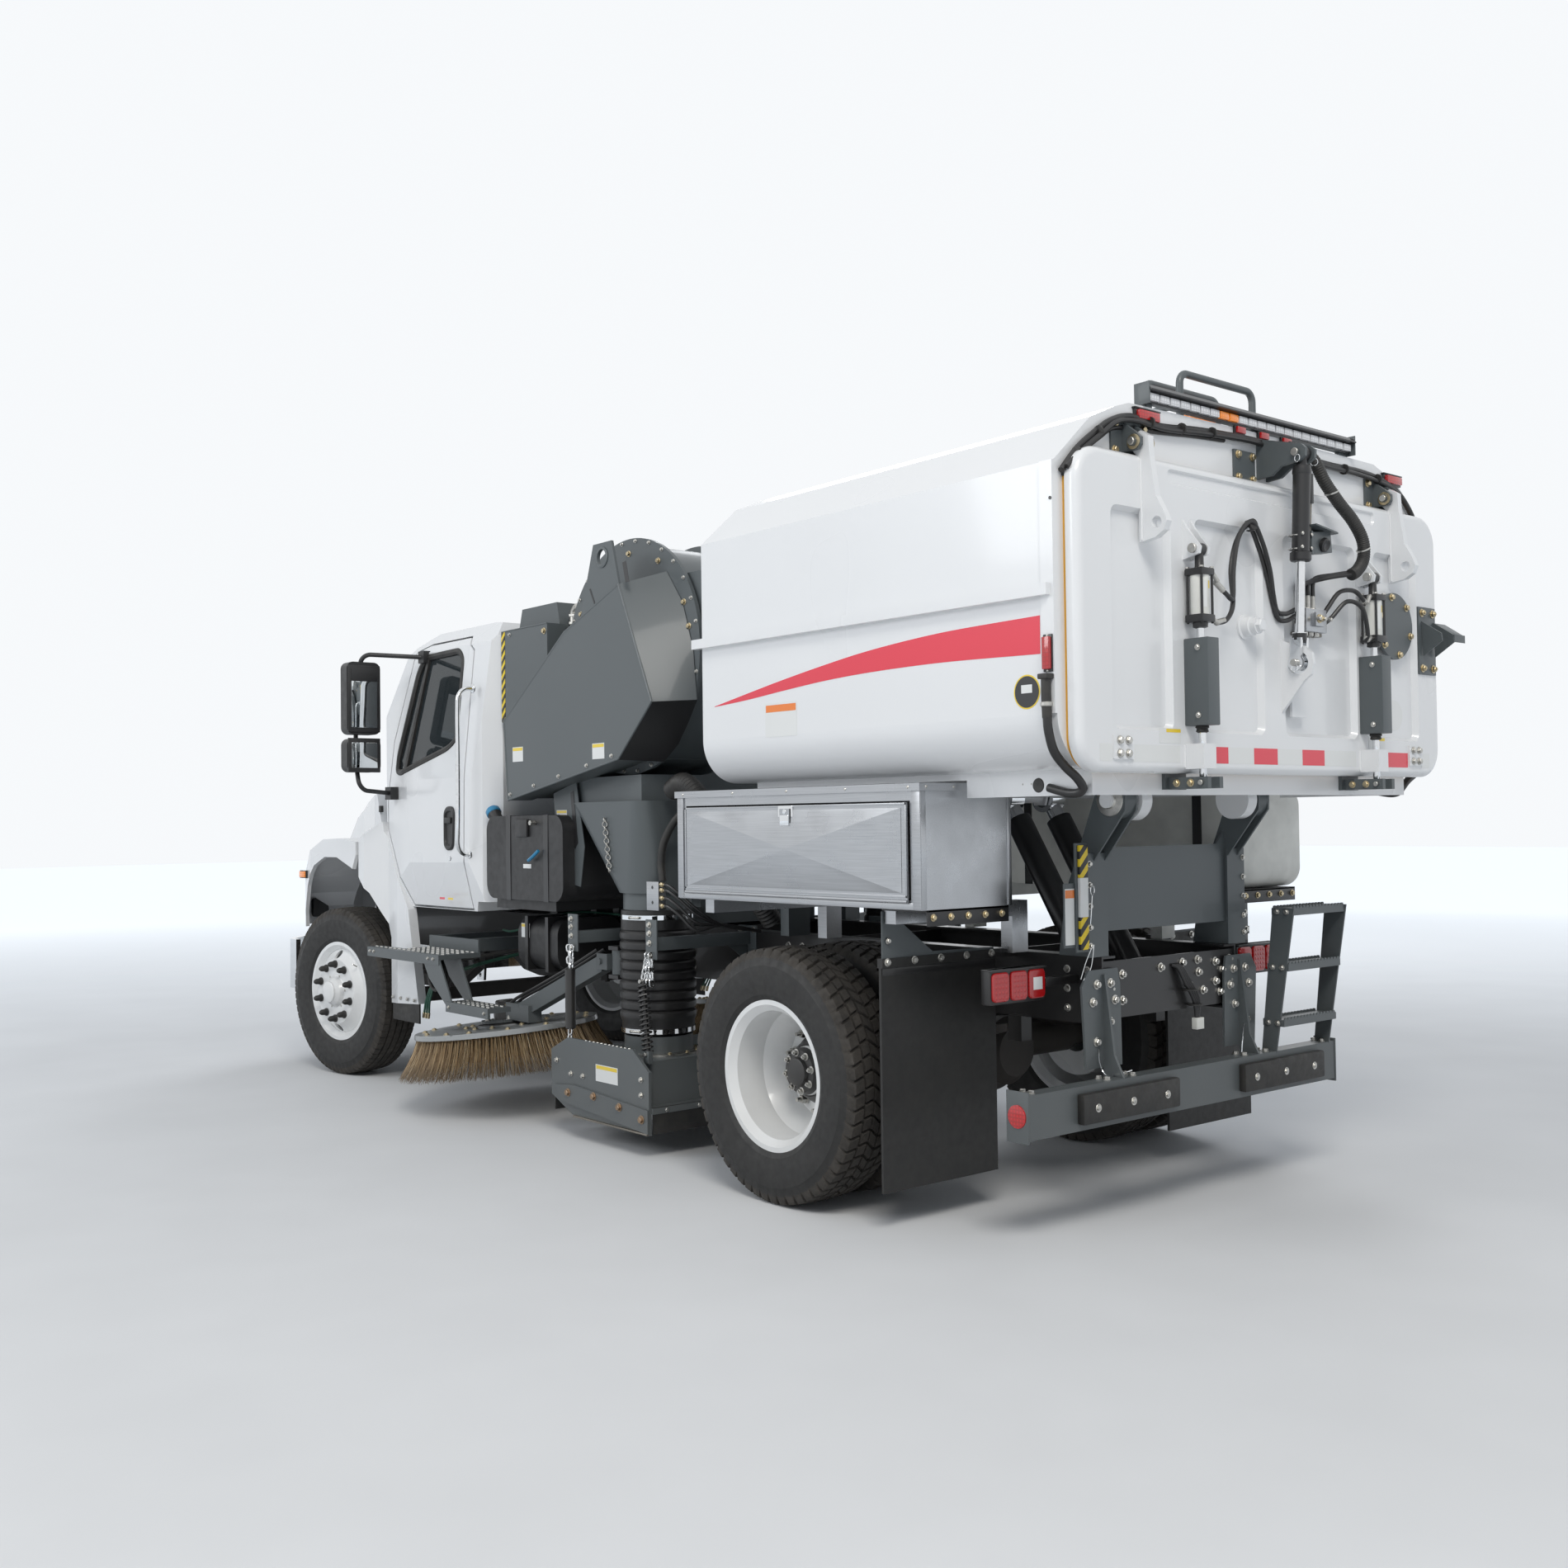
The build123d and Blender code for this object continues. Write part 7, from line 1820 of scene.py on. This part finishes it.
def add_floor():
    size = 60.0
    data = bpy.data.meshes.new("floor")
    data.from_pydata([(-size, -size, 0), (size, -size, 0), (size, size, 0), (-size, size, 0)],
                     [], [(0, 1, 2, 3)])
    floor = bpy.data.objects.new("floor", data)
    bpy.context.scene.collection.objects.link(floor)
    n = Nodes("studio_floor")
    n.colour(n.mix(n.grey_ramp(n.noise(1.5, 2.0), 0.0, 1.0), (0.72, 0.73, 0.74),
                   (0.75, 0.76, 0.77)))
    n.roughness(n.grey_ramp(n.noise(6.0), 0.85, 0.95))
    far = n.node("ShaderNodeVectorMath", operation="LENGTH")
    n.link(n.place, far.inputs[0])
    glow = n.math("DIVIDE", n.math("SUBTRACT", far.outputs["Value"], 5.0), 14.0)
    glow = n.math("MINIMUM", n.math("MAXIMUM", glow, 0.0), 1.0)
    n.link(glow, n.shader.inputs["Emission Strength"])
    n.set(Emission_Color=(0.62, 0.66, 0.70, 1.0))
    data.materials.append(n.material)


def add_world():
    world = bpy.data.worlds.new("studio")
    bpy.context.scene.world = world
    world.use_nodes = True
    tree = world.node_tree
    background = tree.nodes["Background"]
    background.inputs["Color"].default_value = (0.86, 0.92, 1.0, 1.0)
    background.inputs["Strength"].default_value = 0.42
    shown = tree.nodes.new("ShaderNodeBackground")
    shown.inputs["Color"].default_value = (0.93, 0.95, 0.97, 1.0)
    shown.inputs["Strength"].default_value = 1.0
    path = tree.nodes.new("ShaderNodeLightPath")
    seen = tree.nodes.new("ShaderNodeMath")
    seen.operation = "MAXIMUM"
    tree.links.new(path.outputs["Is Camera Ray"], seen.inputs[0])
    tree.links.new(path.outputs["Is Transmission Ray"], seen.inputs[1])
    mirrored = tree.nodes.new("ShaderNodeMath")
    mirrored.operation = "MAXIMUM"
    tree.links.new(seen.outputs[0], mirrored.inputs[0])
    tree.links.new(path.outputs["Is Glossy Ray"], mirrored.inputs[1])
    mixed = tree.nodes.new("ShaderNodeMixShader")
    tree.links.new(mirrored.outputs[0], mixed.inputs[0])
    tree.links.new(background.outputs[0], mixed.inputs[1])
    tree.links.new(shown.outputs[0], mixed.inputs[2])
    tree.links.new(mixed.outputs[0], tree.nodes["World Output"].inputs["Surface"])


def add_lamp(name, place, target, power, size, colour):
    data = bpy.data.lights.new(name, "AREA")
    data.energy = power
    data.shape = "RECTANGLE"
    data.size = size
    data.size_y = size * 0.7
    data.color = colour
    lamp = bpy.data.objects.new(name, data)
    bpy.context.scene.collection.objects.link(lamp)
    toward = Vector(target) - Vector(place)
    lamp.matrix_world = (Matrix.Translation(place)
                         @ toward.to_track_quat("-Z", "Y").to_matrix().to_4x4())


add_camera()
add_floor()
add_world()
add_lamp("key_lamp", (-9.0, 6.0, 10.0), (0.0, 0.3, 1.2), 720.0, 5.0, (1.0, 0.97, 0.92))
add_lamp("side_lamp", (3.0, 11.0, 6.5), (0.0, 0.0, 1.4), 380.0, 6.0, (0.96, 0.98, 1.0))
add_lamp("far_lamp", (7.0, -9.0, 8.0), (0.0, 0.0, 1.2), 420.0, 6.0, (0.95, 0.97, 1.0))
bpy.context.scene.view_settings.view_transform = "Standard"
